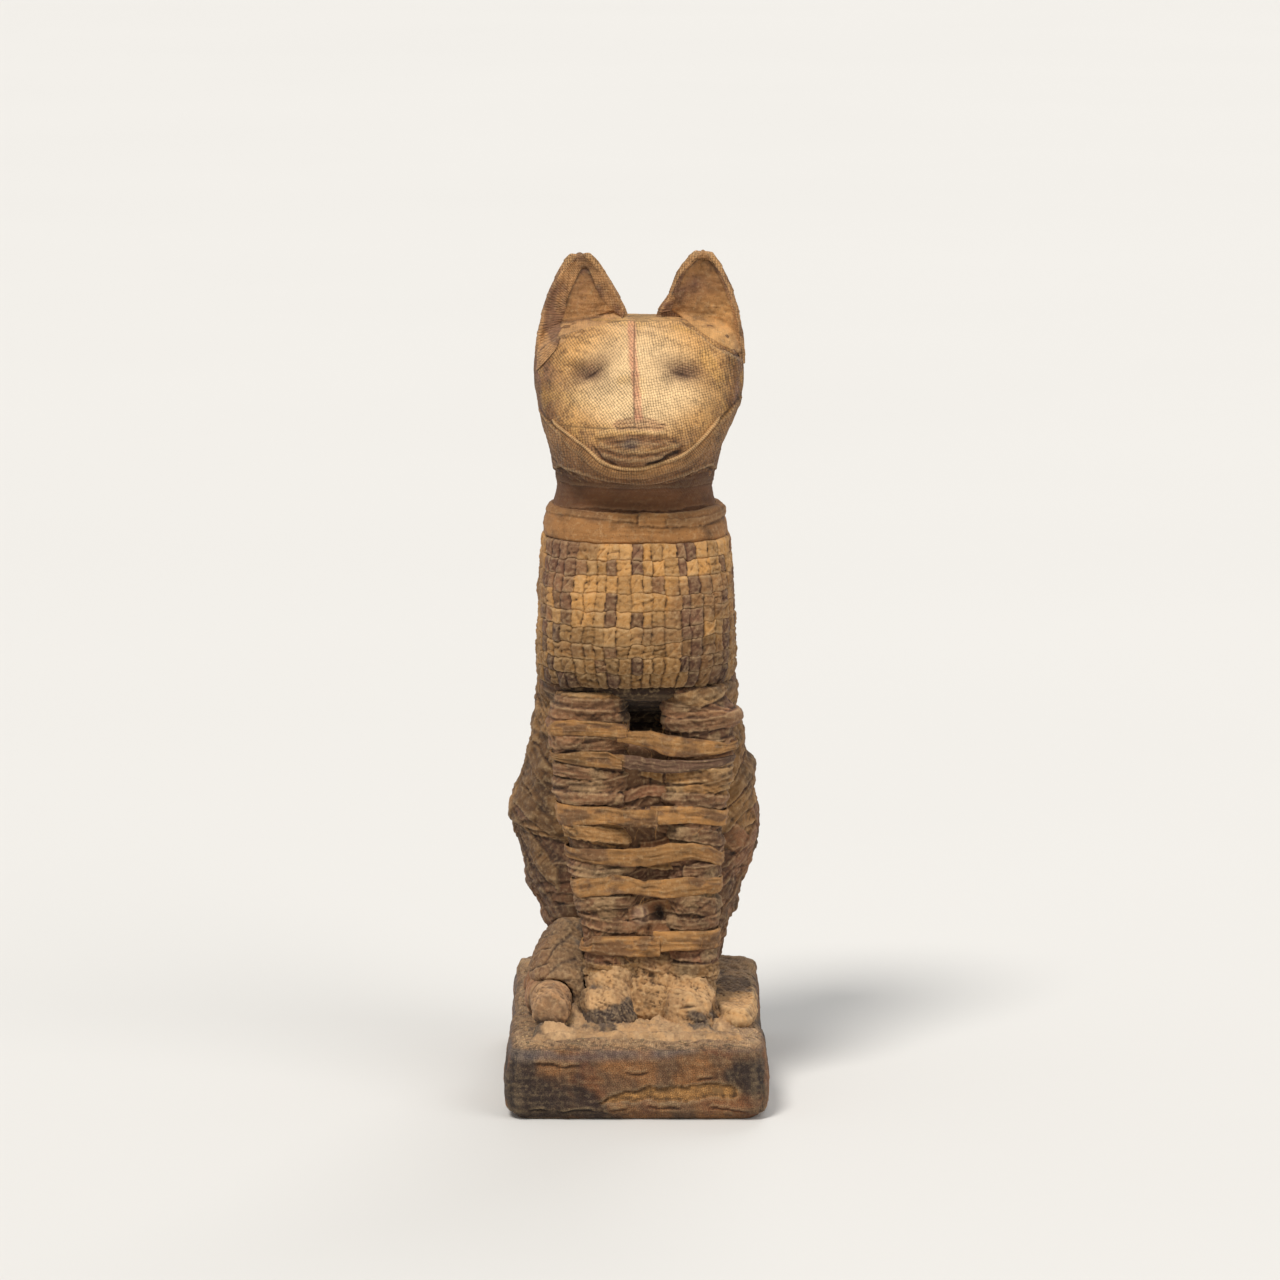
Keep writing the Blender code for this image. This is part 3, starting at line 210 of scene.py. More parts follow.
class RoundForm:
    """How far CAD nodes reach out from an upright axis, at each height and turn from the front."""

    def __init__(self, names, low, high, axis, passes=3, turns=120, step=0.0016):
        """Casts rays inward at each height and turn, and softens what they meet."""
        tree = cad_tree(names)
        self.heights = np.linspace(low, high, max(4, int((high - low) / step)))
        self.turns = np.linspace(-math.pi, math.pi, turns, endpoint=False)
        self.axis = np.array(axis, float)
        reach = np.full((len(self.heights), turns), np.nan)
        for row, height in enumerate(self.heights):
            middle = Vector((*self.middle(height), height))
            for column, turn in enumerate(self.turns):
                way = Vector((math.sin(turn), -math.cos(turn), 0))
                hit = tree.ray_cast(middle + way * 0.3, -way, 0.3)[0]
                if hit:
                    reach[row, column] = (hit - middle).length
        self.reach = self.filled(reach)
        for _ in range(passes):
            wide = np.hstack([self.reach[:, -4:], self.reach, self.reach[:, :4]])
            self.reach = soften(wide, 1)[:, 4:-4]

    def middle(self, height):
        """Where the axis is at a height; a leaning axis is given by its heights and places."""
        if self.axis.ndim == 1:
            return tuple(self.axis)
        return tuple(np.interp(height, self.axis[:, 0], self.axis[:, side]) for side in (1, 2))

    @staticmethod
    def filled(reach):
        """Gives each missed ray the reach of its nearest row or column that hit."""
        for turned in (False, True):
            table = reach.T if turned else reach
            for line in table.T:
                found = np.flatnonzero(~np.isnan(line))
                if len(found):
                    line[:] = np.interp(np.arange(len(line)), found, line[found])
        return reach

    def points(self, turn, height):
        """Places on the form, as a grid of points."""
        count = len(self.turns)
        column = (turn + math.pi) / math.tau * count
        row = np.clip(np.interp(height, self.heights, np.arange(len(self.heights))), 0,
            len(self.heights) - 1.001)
        left, lower = np.floor(column).astype(int), np.floor(row).astype(int)
        across, up = column - left, row - lower
        low = self.reach[lower, left % count] * (1 - across) + self.reach[lower, (left + 1) % count] * across
        top = self.reach[lower + 1, left % count] * (1 - across) + self.reach[lower + 1,
            (left + 1) % count] * across
        reach = low + (top - low) * up
        across, along = self.middle(height)
        return np.stack([across + reach * np.sin(turn), along - reach * np.cos(turn), height + 0 * turn], -1)


# Cloth laid on a grid of points
class Tinted:
    """What cloth and clay share: a tint at each point."""

    def paint(self, colour, share):
        """Lays a colour over the tint."""
        self.tint = mix(self.tint, colour, share)

    def dim(self, share):
        """Makes the tint darker or lighter, point by point."""
        self.tint = self.tint * share[..., None]


class Cloth(Tinted):
    """Strips of linen laid one over another on a grid of points, each with its own tint."""

    def __init__(self, spots, tint, lift=0.0, along=None, up=None):
        """Starts even, at one lift and tint; along and up run from the middle of the front."""
        self.spots = spots
        steps = np.linalg.norm(np.diff(spots, axis=1), axis=-1)
        run = np.hstack([np.zeros((len(spots), 1)), np.cumsum(steps, axis=1)])
        middle = run[len(run) // 2]
        front = np.argmin(spots[len(spots) // 2, :, 1])
        self.along = (middle - middle[front])[None, :] + 0 * run if along is None else along
        self.up = spots[..., 2].copy() if up is None else up
        self.rise = np.full(run.shape, lift)
        self.tint = np.ones(run.shape + (1,)) * np.array(tint)
        self.thread = np.stack([self.along, self.up], -1)

    def noise(self, along, up, seed, octaves=1):
        """Smooth noise with lumps of the given length and height."""
        return mottle(self.along / along, self.up / up, seed, octaves)

    def normals(self, spots):
        """The way out of the cloth at each of its places."""
        across, upward = np.gradient(spots, axis=1), np.gradient(spots, axis=0)
        return unit(np.cross(across, upward))

    def lay(self, middle, width, thick, tint, seed, ends=None, crown=0.3, crease=0.0003):
        """Lays one strip; middle is a height, or (along, up) points that its middle line follows."""
        run, fray = self.along, 0.0005
        if np.isscalar(middle):
            centre, slope = middle + 0 * run, 0 * run
        else:
            line = np.array(sorted(middle))
            centre = np.interp(run, line[:, 0], line[:, 1])
            slope = np.interp(run, (line[1:, 0] + line[:-1, 0]) / 2,
                np.diff(line[:, 1]) / np.diff(line[:, 0]))
        centre = centre + 0.0012 * (mottle(run / 0.014, 0 * run + seed, seed) - 0.5)
        lean = 1 / np.sqrt(1 + slope**2)
        across = (self.up - centre) * lean
        half = width / 2 * (0.9 + 0.2 * mottle(run / 0.02, 0 * run, seed + 3))
        ragged = fray * (mottle(run / 0.0016, across / 0.004, seed + 1, 2) - 0.5) * 2
        cover = np.clip((half + ragged - np.abs(across)) / 0.00055 + 0.5, 0, 1)
        if ends is not None:
            torn = fray * 2 * (mottle(across / 0.0012, 0 * run, seed + 2, 2) - 0.5)
            cover *= np.clip((run - ends[0] + torn) / 0.0006, 0,
                1) * np.clip((ends[1] - run + torn) / 0.0006, 0, 1)
        under = soften(self.rise, 4)
        pleat = ridges(mottle(run / 0.017, across / 0.0019 + slope, seed + 5, 2)) ** 2 - 0.35
        lift = thick * (1 - crown * (across / half) ** 2) + crease * pleat
        lip = 0.25 * thick * np.exp(-(((half - np.abs(across)) / 0.0008) ** 2))
        self.rise = mix(self.rise, np.maximum(under + lift + lip, self.rise + 0.2 * thick), cover)
        wear = 0.78 + 0.44 * mottle(run / 0.007, across / 0.0035, seed + 9, 3)
        # Brighter along both edges of each strip: partly edge wear, partly a painted highlight where the
        # raised edges catch the light.
        edge = 1 + 0.22 * np.exp(-(((half - np.abs(across)) / 0.0006) ** 2))
        self.tint = mix(self.tint, np.array(tint) * (wear * edge)[..., None], cover)
        self.thread = mix(self.thread, np.stack([run + 0.37 * seed, across], -1),
            (cover > 0.5).astype(float))
        return cover

    def crumple(self, amount, size, seed):
        """Adds creases that run in no one direction."""
        noise = mottle(self.along / size + 3 * self.noise(0.01, 0.01, seed + 4),
                       self.up / size, seed, 3)
        self.rise = self.rise + amount * (ridges(noise) - 0.5)

    def wrinkle(self, amount, seed):
        """Presses in fine folds that lean one way in one place and another way in the next, and paints shade
        into them.
        """
        for number, lean in enumerate((-0.65, 0.1, 0.7)):
            run = self.along * math.cos(lean) + self.up * math.sin(lean)
            across = self.up * math.cos(lean) - self.along * math.sin(lean)
            fold = ridges(mottle(run / 0.011, across / 0.0021, seed + number, 2)) ** 3
            share = ease((self.noise(0.012, 0.009, seed + 10 + number, 2) - 0.5) / 0.16)
            self.rise = self.rise - amount * share * fold
            # Painted shade: the tint darkens in the folds.
            self.tint = self.tint * (1 - 0.35 * share * fold**2)[..., None]

    def hollows(self):
        """From -1 on the crests to 1 in the grooves, 0.5 mm deep."""
        return np.clip((soften(self.rise, 14) - self.rise) / 0.0005, -1, 1)

    def join_ends(self, columns=14):
        """Evens the first and last columns into each other, where a ring closes."""
        for field in (self.rise, self.tint):
            for step in range(columns):
                share = 0.5 * (1 - step / columns)
                first, last = field[:, step].copy(), field[:, -1 - step].copy()
                field[:, step] = first + (last - first) * share
                field[:, -1 - step] = last + (first - last) * share

    def places(self, tuck_low=0.0, tuck_high=0.0, tuck_rows=3):
        """Where the cloth lies once raised, its lowest and highest rows tucked in."""
        spots = self.spots + self.normals(self.spots) * self.rise[..., None]
        inward = self.normals(self.spots)
        for row in range(tuck_rows):
            share = (1 - row / tuck_rows) ** 2
            spots[row] -= inward[row] * tuck_low * share
            spots[-1 - row] -= inward[-1 - row] * tuck_high * share
        return spots

    def finish(self, name, places, slot, finish, replaced=(), close=False, columns=slice(None)):
        """Makes a piece of the cloth at the given places."""
        return link(sheet_mesh(name, self, places, close, columns), slot, finish, replaced)


def link(mesh, slot, finish, replaced=()):
    """Puts a finished mesh in the scene as a piece of the mummy."""
    for polygon in mesh.polygons:
        polygon.use_smooth = True
    piece = bpy.data.objects.new(mesh.name, mesh)
    bpy.context.scene.collection.objects.link(piece)
    mesh.materials.clear()
    mesh.materials.append(material(finish))
    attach(piece, "root")
    if replaced:
        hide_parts(*replaced)
    return piece


def tinted(mesh, tint, hollow, thread, wrap=None):
    """Stores the tint, the hollows and the thread direction on a mesh, point by point."""
    count = len(mesh.vertices)
    colour = np.ones((count, 4), np.float32)
    colour[:, :3] = np.clip(tint.reshape(count, 3), 0, 1)
    mesh.attributes.new("tint", "FLOAT_COLOR", "POINT").data.foreach_set("color", colour.ravel())
    mesh.attributes.new("hollow", "FLOAT", "POINT").data.foreach_set("value",
        hollow.astype(np.float32).ravel())
    corner = np.empty(len(mesh.loops), np.int32)
    mesh.loops.foreach_get("vertex_index", corner)
    flow = thread.reshape(count, 2)[corner]
    if wrap:
        start, total = np.empty(len(mesh.polygons), np.int32), np.empty(len(mesh.polygons), np.int32)
        mesh.polygons.foreach_get("loop_start", start)
        mesh.polygons.foreach_get("loop_total", total)
        flow[:, 0] += wrap * np.round((np.repeat(flow[start, 0], total) - flow[:, 0]) / wrap)
    mesh.uv_layers.new(name="thread").data.foreach_set("uv", (flow * 100).astype(np.float32).ravel())


def sheet_mesh(name, cloth, places, close=False, columns=slice(None)):
    """A grid mesh at the cloth's places; a ring is welded where it closes."""
    places = places[:, columns]
    rows, across = places.shape[:2]
    bm = bmesh.new()
    bmesh.ops.create_grid(bm, x_segments=across - 1, y_segments=rows - 1, size=0.5)
    mesh = bpy.data.meshes.new(name)
    bm.to_mesh(mesh)
    bm.free()
    mesh.vertices.foreach_set("co", places.astype(np.float32).ravel())
    tinted(mesh, cloth.tint[:, columns], cloth.hollows()[:, columns], cloth.thread[:, columns])
    if close:
        bm = bmesh.new()
        bm.from_mesh(mesh)
        bmesh.ops.remove_doubles(bm, verts=[v for v in bm.verts if v.is_boundary], dist=1e-6)
        bm.to_mesh(mesh)
        bm.free()
    mesh.update()
    return mesh


def thicken(piece, thickness):
    """Gives a sheet a thickness, inward from its face."""
    modifier = piece.modifiers.new("thickness", "SOLIDIFY")
    modifier.thickness = thickness
    modifier.offset = -1
    return piece


# Forms fused from CAD nodes and shaped like clay
def evaluated(obj, blocks):
    """The mesh an object comes to, which then leaves the scene with its data."""
    graph = bpy.context.evaluated_depsgraph_get()
    mesh = bpy.data.meshes.new_from_object(obj.evaluated_get(graph))
    data = obj.data
    bpy.data.objects.remove(obj, do_unlink=True)
    blocks.remove(data)
    return mesh


def fused(bm, voxel, evened):
    """One closed, even skin round a bmesh, its largest island only, softened."""
    mesh = bpy.data.meshes.new("form")
    bm.to_mesh(mesh)
    bm.free()
    obj = bpy.data.objects.new("form", mesh)
    bpy.context.scene.collection.objects.link(obj)
    remesh = obj.modifiers.new("skin", "REMESH")
    remesh.mode = "VOXEL"
    remesh.voxel_size = voxel
    skin = evaluated(obj, bpy.data.meshes)
    bm = bmesh.new()
    bm.from_mesh(skin)
    bpy.data.meshes.remove(skin)
    keep_largest(bm)
    for _ in range(evened):
        bmesh.ops.smooth_vert(bm, verts=bm.verts, factor=0.5, use_axis_x=True,
            use_axis_y=True, use_axis_z=True)
    return bm


def keep_largest(bm):
    """Deletes every island of a bmesh but the largest."""
    bm.verts.ensure_lookup_table()
    seen, islands = set(), []
    for start in bm.verts:
        if start.index in seen:
            continue
        island, queue = [], [start]
        seen.add(start.index)
        while queue:
            vert = queue.pop()
            island.append(vert)
            for edge in vert.link_edges:
                other = edge.other_vert(vert)
                if other.index not in seen:
                    seen.add(other.index)
                    queue.append(other)
        islands.append(island)
    islands.sort(key=len)
    for island in islands[:-1]:
        bmesh.ops.delete(bm, geom=island, context="VERTS")


def cad_copy(names):
    """One bmesh of several CAD nodes."""
    bm = bmesh.new()
    for name in names:
        bm.from_mesh(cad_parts[name].data)
    bmesh.ops.remove_doubles(bm, verts=bm.verts, dist=1e-6)
    return bm


class Clay(Tinted):
    """A closed mesh whose points are moved along their normals and tinted."""

    def __init__(self, name, bm, tint):
        """Takes its mesh from a bmesh, in one tint."""
        self.mesh = bpy.data.meshes.new(name)
        bm.to_mesh(self.mesh)
        bm.free()
        self.read()
        self.tint = np.ones((len(self.spots), 1)) * np.array(tint)

    def grain(self, size, seed, octaves=1):
        """Smooth noise in space with lumps of the given size."""
        return grain(self.spots, size, seed, octaves)

    def read(self):
        """Reads places and normals from the mesh."""
        self.mesh.update()
        count = len(self.mesh.vertices)
        self.spots, self.normals = np.empty(count * 3), np.empty(count * 3)
        self.mesh.vertices.foreach_get("co", self.spots)
        self.mesh.vertex_normals.foreach_get("vector", self.normals)
        self.spots, self.normals = self.spots.reshape(-1, 3), self.normals.reshape(-1, 3)

    def move(self, spots):
        """Puts every point in a new place."""
        self.mesh.vertices.foreach_set("co", spots.astype(np.float32).ravel())
        self.read()

    def push(self, amount):
        """Moves every point out along its normal."""
        self.move(self.spots + self.normals * amount[:, None])

    def settle(self, low=PLINTH_TOP - 0.001):
        """Keeps a piece from sinking below a height, or into the plinth it lies on."""
        self.spots[:, 2] = np.maximum(self.spots[:, 2], low)
        self.move(self.spots)

    def hollows(self, reach):
        """From -1 on the crests to 1 in the grooves, from how each point lies to its neighbours."""
        ends = np.empty(len(self.mesh.edges) * 2, np.int32)
        self.mesh.edges.foreach_get("vertices", ends)
        first, second = ends[::2], ends[1::2]
        number = np.bincount(first, minlength=len(self.spots)) + np.bincount(second,
            minlength=len(self.spots))
        even = self.spots.copy()
        for _ in range(6):
            total = np.zeros_like(even)
            for axis in range(3):
                total[:, axis] = (
                    np.bincount(first, even[second, axis], len(even))
                    + np.bincount(second, even[first, axis], len(even))
                )
            even = even / 2 + total / np.maximum(number, 1)[:, None] / 2
        return np.clip(((even - self.spots) * self.normals).sum(1) / reach, -1, 1)

    def finish(self, slot, finish, replaced=(), thread=None, reach=0.0003, wrap=None):
        """Makes a piece of the clay."""
        if thread is None:
            thread = box_threads(self.spots, self.normals)
        tinted(self.mesh, self.tint, self.hollows(reach), thread, wrap)
        return link(self.mesh, slot, finish, replaced)


def box_threads(spots, normals):
    """Thread coordinates on whichever side of a box each point faces."""
    facing = np.argmax(np.abs(normals), axis=1)
    x, y, z = spots.T
    return np.stack([np.where(facing == 0, y, x), np.where(facing == 2, y, z)], -1)


# Materials
def node(tree, kind, inputs=(), **options):
    """Adds a shader node, sets its settings, and fills its inputs with values or links."""
    made = tree.nodes.new(kind)
    for key, value in options.items():
        setattr(made, key, value)
    for key, value in dict(inputs).items():
        if isinstance(value, bpy.types.NodeSocket):
            tree.links.new(value, made.inputs[key])
        else:
            made.inputs[key].default_value = value
    return made


def noise_node(tree, place, scale, detail, rough):
    """A noise texture at a place."""
    inputs = {"Vector": place, "Scale": scale, "Detail": detail, "Roughness": rough}
    return node(tree, "ShaderNodeTexNoise", inputs)


def maths(tree, operation, first, second=0.5, clamp=False):
    """One step of arithmetic on two sockets or numbers."""
    return node(tree, "ShaderNodeMath", {0: first, 1: second}, operation=operation,
        use_clamp=clamp).outputs[0]


def blended(tree, share, first, second):
    """Goes from one colour to another by a share."""
    return node(tree, "ShaderNodeMix", {0: share, 6: first, 7: second}, data_type="RGBA").outputs[2]


def new_group(name, inputs, outputs):
    """An empty node group with its sockets: the group, what it is given, and its output node."""
    group = bpy.data.node_groups.new(name, "ShaderNodeTree")
    for label, kind, value in inputs:
        socket = group.interface.new_socket(label, in_out="INPUT", socket_type=kind)
        if value is not None:
            socket.default_value = value
    for label, kind in outputs:
        group.interface.new_socket(label, in_out="OUTPUT", socket_type=kind)
    return group, node(group, "NodeGroupInput").outputs, node(group, "NodeGroupOutput")


def finish_group(group, output, **sockets):
    """Links results to a group's outputs by name."""
    for label, socket in sockets.items():
        group.links.new(socket, output.inputs[label])


def make_weave_group():
    """A plain weave: threads that pass over and under each other, unevenly spaced."""
    group, given, output = new_group(
        "plain_weave",
        [("Vector", "NodeSocketVector", None), ("Pitch", "NodeSocketFloat", 0.07),
            ("Slack", "NodeSocketFloat", 0.6)],
        [("Height", "NodeSocketFloat"), ("Gap", "NodeSocketFloat")],
    )
    wander = node(group, "ShaderNodeTexNoise", {"Vector": given["Vector"], "Scale": 3.5, "Detail": 2.0})
    drift = node(group, "ShaderNodeVectorMath", {0: wander.outputs["Color"], 1: (0.5, 0.5, 0.5)},
        operation="SUBTRACT")
    drift = node(group, "ShaderNodeVectorMath",
        {0: drift.outputs[0], "Scale": given["Slack"]}, operation="SCALE")
    slack = node(group, "ShaderNodeVectorMath",
        {0: drift.outputs[0], "Scale": given["Pitch"]}, operation="SCALE")
    slack = node(group, "ShaderNodeVectorMath", {0: slack.outputs[0], "Scale": 6.0}, operation="SCALE")
    moved = node(group, "ShaderNodeVectorMath", {0: given["Vector"], 1: slack.outputs[0]}, operation="ADD")
    parts = node(group, "ShaderNodeSeparateXYZ", {0: moved.outputs[0]})
    waves = []
    for axis in ("X", "Y"):
        turns = maths(group, "DIVIDE", parts.outputs[axis], given["Pitch"])
        waves.append(maths(group, "SINE", maths(group, "MULTIPLY", turns, math.pi)))
    warp, weft = (maths(group, "ABSOLUTE", wave) for wave in waves)
    over = maths(group, "GREATER_THAN", maths(group, "MULTIPLY", waves[0], waves[1]), 0.0)
    high = node(group, "ShaderNodeMix", {0: over, 2: warp, 3: weft}, data_type="FLOAT").outputs[0]
    between = [maths(group, "POWER", maths(group, "SUBTRACT", 1.0, wave, clamp=True), 1.6)
        for wave in (warp, weft)]
    gap = maths(group, "ADD", between[0], maths(group, "MULTIPLY", between[1], 0.45), clamp=True)
    finish_group(group, output, Height=maths(group, "POWER", high, 0.6), Gap=gap)
    return group


def make_fibre_group():
    """Broken threads, fluff and grit too fine to model."""
    group, given, output = new_group(
        "fibres",
        [("Vector", "NodeSocketVector", None), ("Size", "NodeSocketFloat", 900.0)],
        [("Height", "NodeSocketFloat"), ("Speck", "NodeSocketFloat")],
    )
    fine = noise_node(group, given["Vector"], given["Size"], 5.0, 0.7)
    grit = node(group, "ShaderNodeTexVoronoi",
        {"Vector": given["Vector"], "Scale": maths(group, "MULTIPLY", given["Size"], 0.9)})
    speck = maths(group, "SUBTRACT", 0.32, grit.outputs["Distance"], clamp=True)
    finish_group(group, output, Height=fine.outputs[0],
        Speck=maths(group, "MULTIPLY", speck, 3.0, clamp=True))
    return group


def make_aging_and_shade_group():
    """Darkens the hollows with painted shade and dirt, makes the crests paler, darkens the gaps between
    threads, and bleaches and soils the rest.
    """
    group, given, output = new_group(
        "aged_shaded_linen",
        [("Tint", "NodeSocketColor", None), ("Hollow", "NodeSocketFloat", 0.0),
            ("Gap", "NodeSocketFloat", 0.0),
         ("Speck", "NodeSocketFloat", 0.0), ("Vector", "NodeSocketVector", None),
         ("Dirt and shade", "NodeSocketColor", (*shade(44, 30, 22), 1.0)), ("Dust", "NodeSocketColor",
             (*shade(214, 182, 136), 1.0)),
         ("Depth", "NodeSocketFloat", 0.8), ("Gap depth", "NodeSocketFloat", 0.45), ("Soil",
             "NodeSocketFloat", 0.35),
         ("Bleach", "NodeSocketFloat", 0.25), ("Pores", "NodeSocketFloat", 0.3)],
        [("Color", "NodeSocketColor"), ("Roughness", "NodeSocketFloat")],
    )
    blotch = noise_node(group, given["Vector"], 95.0, 5.0, 0.62)
    small = noise_node(group, given["Vector"], 520.0, 4.0, 0.6)
    soil = maths(group, "MULTIPLY", maths(group, "SUBTRACT", blotch.outputs[0], 0.5,
        clamp=True), 5.0, clamp=True)
    soiled = blended(group, maths(group, "MULTIPLY", soil, given["Soil"]), given["Tint"], given["Dirt and shade"])
    pale = maths(group, "MULTIPLY", maths(group, "SUBTRACT", small.outputs[0], 0.52,
        clamp=True), 6.0, clamp=True)
    bleached = blended(group, maths(group, "MULTIPLY", pale, given["Bleach"]), soiled, given["Dust"])
    # Painted shade and dirt: the hollows go toward the dark colour, and the crests go paler, toward the dust
    # colour.
    groove = maths(group, "MULTIPLY", maths(group, "MAXIMUM", given["Hollow"], 0.0),
        given["Depth"], clamp=True)
    crest = maths(group, "MULTIPLY", maths(group, "MAXIMUM",
        maths(group, "MULTIPLY", given["Hollow"], -1.0), 0.0), 0.3)
    grooved = blended(group, groove, bleached, given["Dirt and shade"])
    worn = blended(group, crest, grooved, given["Dust"])
    patchy = maths(group, "ADD", maths(group, "MULTIPLY", blotch.outputs[0], 1.6), -0.25, clamp=True)
    woven = maths(group, "MULTIPLY", maths(group, "MULTIPLY", given["Gap"], given["Gap depth"]), patchy)
    threaded = blended(group, woven, worn, given["Dirt and shade"])
    final = blended(group, maths(group, "MULTIPLY", given["Speck"], given["Pores"]), threaded, given["Dirt and shade"])
    rough = maths(group, "ADD", maths(group, "MULTIPLY", small.outputs[0], 0.16), 0.8)
    finish_group(group, output, Color=final, Roughness=rough)
    return group


def group_node(tree, name, inputs):
    """Puts a node group in a material and gives its outputs."""
    return node(tree, "ShaderNodeGroup", inputs, node_tree=bpy.data.node_groups[name]).outputs


def new_material(name):
    """An empty material with its shader, joined to the output."""
    made = bpy.data.materials.new(name)
    made.use_nodes = True
    made.node_tree.nodes.clear()
    shader = node(made.node_tree, "ShaderNodeBsdfPrincipled", {"Specular IOR Level": 0.25})
    node(made.node_tree, "ShaderNodeOutputMaterial", {0: shader.outputs[0]})
    return made, made.node_tree, shader


def linen(name, pitch, weave, fluff, fibre, slack, aging_and_shade):
    """Aged linen with painted shade in its hollows: thread relief, fluff and grit over the piece's own tint.
    """
    made, tree, shader = new_material(name)
    place = node(tree, "ShaderNodeTexCoord").outputs["Object"]
    thread = node(tree, "ShaderNodeUVMap", uv_map="thread").outputs[0]
    tint = node(tree, "ShaderNodeAttribute", attribute_name="tint").outputs["Color"]
    hollow = node(tree, "ShaderNodeAttribute", attribute_name="hollow").outputs["Fac"]
    threads = group_node(tree, "plain_weave", {"Vector": thread, "Pitch": pitch * 100, "Slack": slack})
    fluffs = group_node(tree, "fibres", {"Vector": place, "Size": fibre})
    aged_shaded = group_node(tree, "aged_shaded_linen", {
        "Tint": tint, "Hollow": hollow, "Gap": threads["Gap"], "Speck": fluffs["Speck"],
        "Vector": place, **aging_and_shade,
    })
    first = node(tree, "ShaderNodeBump", {"Height": fluffs["Height"], "Distance": fluff, "Strength": 1.0})
    second = node(tree, "ShaderNodeBump", {"Height": threads["Height"], "Distance": weave, "Strength": 1.0,
        "Normal": first.outputs[0]})
    for key, value in (("Base Color", aged_shaded["Color"]), ("Roughness", aged_shaded["Roughness"]),
            ("Normal", second.outputs[0])):
        tree.links.new(value, shader.inputs[key])
    shader.inputs["Sheen Weight"].default_value = 0.06
    shader.inputs["Sheen Roughness"].default_value = 0.5
    return made


def plain(name, colour, rough, size, depth, stretch):
    """Bone, reed, wood or packing: a mottled or streaked solid with a rough skin."""
    made, tree, shader = new_material(name)
    place = node(tree, "ShaderNodeTexCoord").outputs["Object"]
    drawn = node(tree, "ShaderNodeMapping", {"Vector": place, "Scale": stretch}).outputs[0]
    noise = noise_node(tree, drawn, size, 6.0, 0.65)
    darker = shade(*(value * 0.6 for value in colour))
    mixed = blended(tree, noise.outputs[0], (*shade(*colour), 1), (*darker, 1))
    bump = node(tree, "ShaderNodeBump", {"Height": noise.outputs[0], "Distance": depth})
    tree.links.new(mixed, shader.inputs["Base Color"])
    tree.links.new(bump.outputs[0], shader.inputs["Normal"])
    shader.inputs["Roughness"].default_value = rough
    return made


# Each finish of linen: its thread pitch against the panel's, the depths of its weave and fluff,
# the number of fibres, how uneven the weave is, and how it has aged and how dark the painted shade in its
# hollows is
LINENS = {
    "face_linen": (1.5, 0.00024, 0.00012, 1100.0, 0.22,
        {"Soil": 0.3, "Gap depth": 0.85, "Bleach": 0.2, "Pores": 0.75}),
    "strip_linen": (0.85, 0.00012, 0.00024, 900.0, 0.6, {"Soil": 0.55, "Gap depth": 0.3, "Pores": 0.45}),
    "chest_linen": (0.8, 0.00008, 0.00026, 900.0, 0.6, {"Soil": 0.3, "Gap depth": 0.2, "Depth": 0.95}),
    "neck_linen": (0.8, 0.00022, 0.00008, 900.0, 0.6, {"Soil": 0.3, "Gap depth": 0.5, "Bleach": 0.08}),
    "plinth_linen": (1.0, 0.00028, 0.0003, 700.0, 0.6, {"Soil": 0.4, "Gap depth": 0.6, "Bleach": 0.12}),
    "crust": (1.0, 0.00006, 0.0006, 520.0, 0.6, {"Soil": 0.5, "Gap depth": 0.1}),
}
# Each finish of what lies inside: colour, roughness, grain, relief and how the grain is stretched
SOLIDS = {
    "bone": ((214, 196, 160), 0.6, 160.0, 0.0003, (1, 1, 1)),
    "reed": ((176, 140, 84), 0.7, 500.0, 0.0002, (1, 1, 0.05)),
    "wood": ((128, 88, 54), 0.75, 240.0, 0.0003, (1, 0.06, 1)),
    "packing": ((150, 118, 78), 0.95, 420.0, 0.0008, (1, 1, 1)),
    "hidden_linen": ((150, 112, 70), 0.92, 700.0, 0.0003, (1, 1, 1)),
}


def material(name):
    """Each finish by name, made when it is first asked for."""
    if name in bpy.data.materials:
        return bpy.data.materials[name]
    if name in SOLIDS:
        return plain(name, *SOLIDS[name])
    if "plain_weave" not in bpy.data.node_groups:
        make_weave_group()
        make_fibre_group()
        make_aging_and_shade_group()
    pitch, *depths, aging_and_shade = LINENS[name]
    return linen(name, bpy.context.scene.mummy_sizes.pitch * pitch, *depths, aging_and_shade)


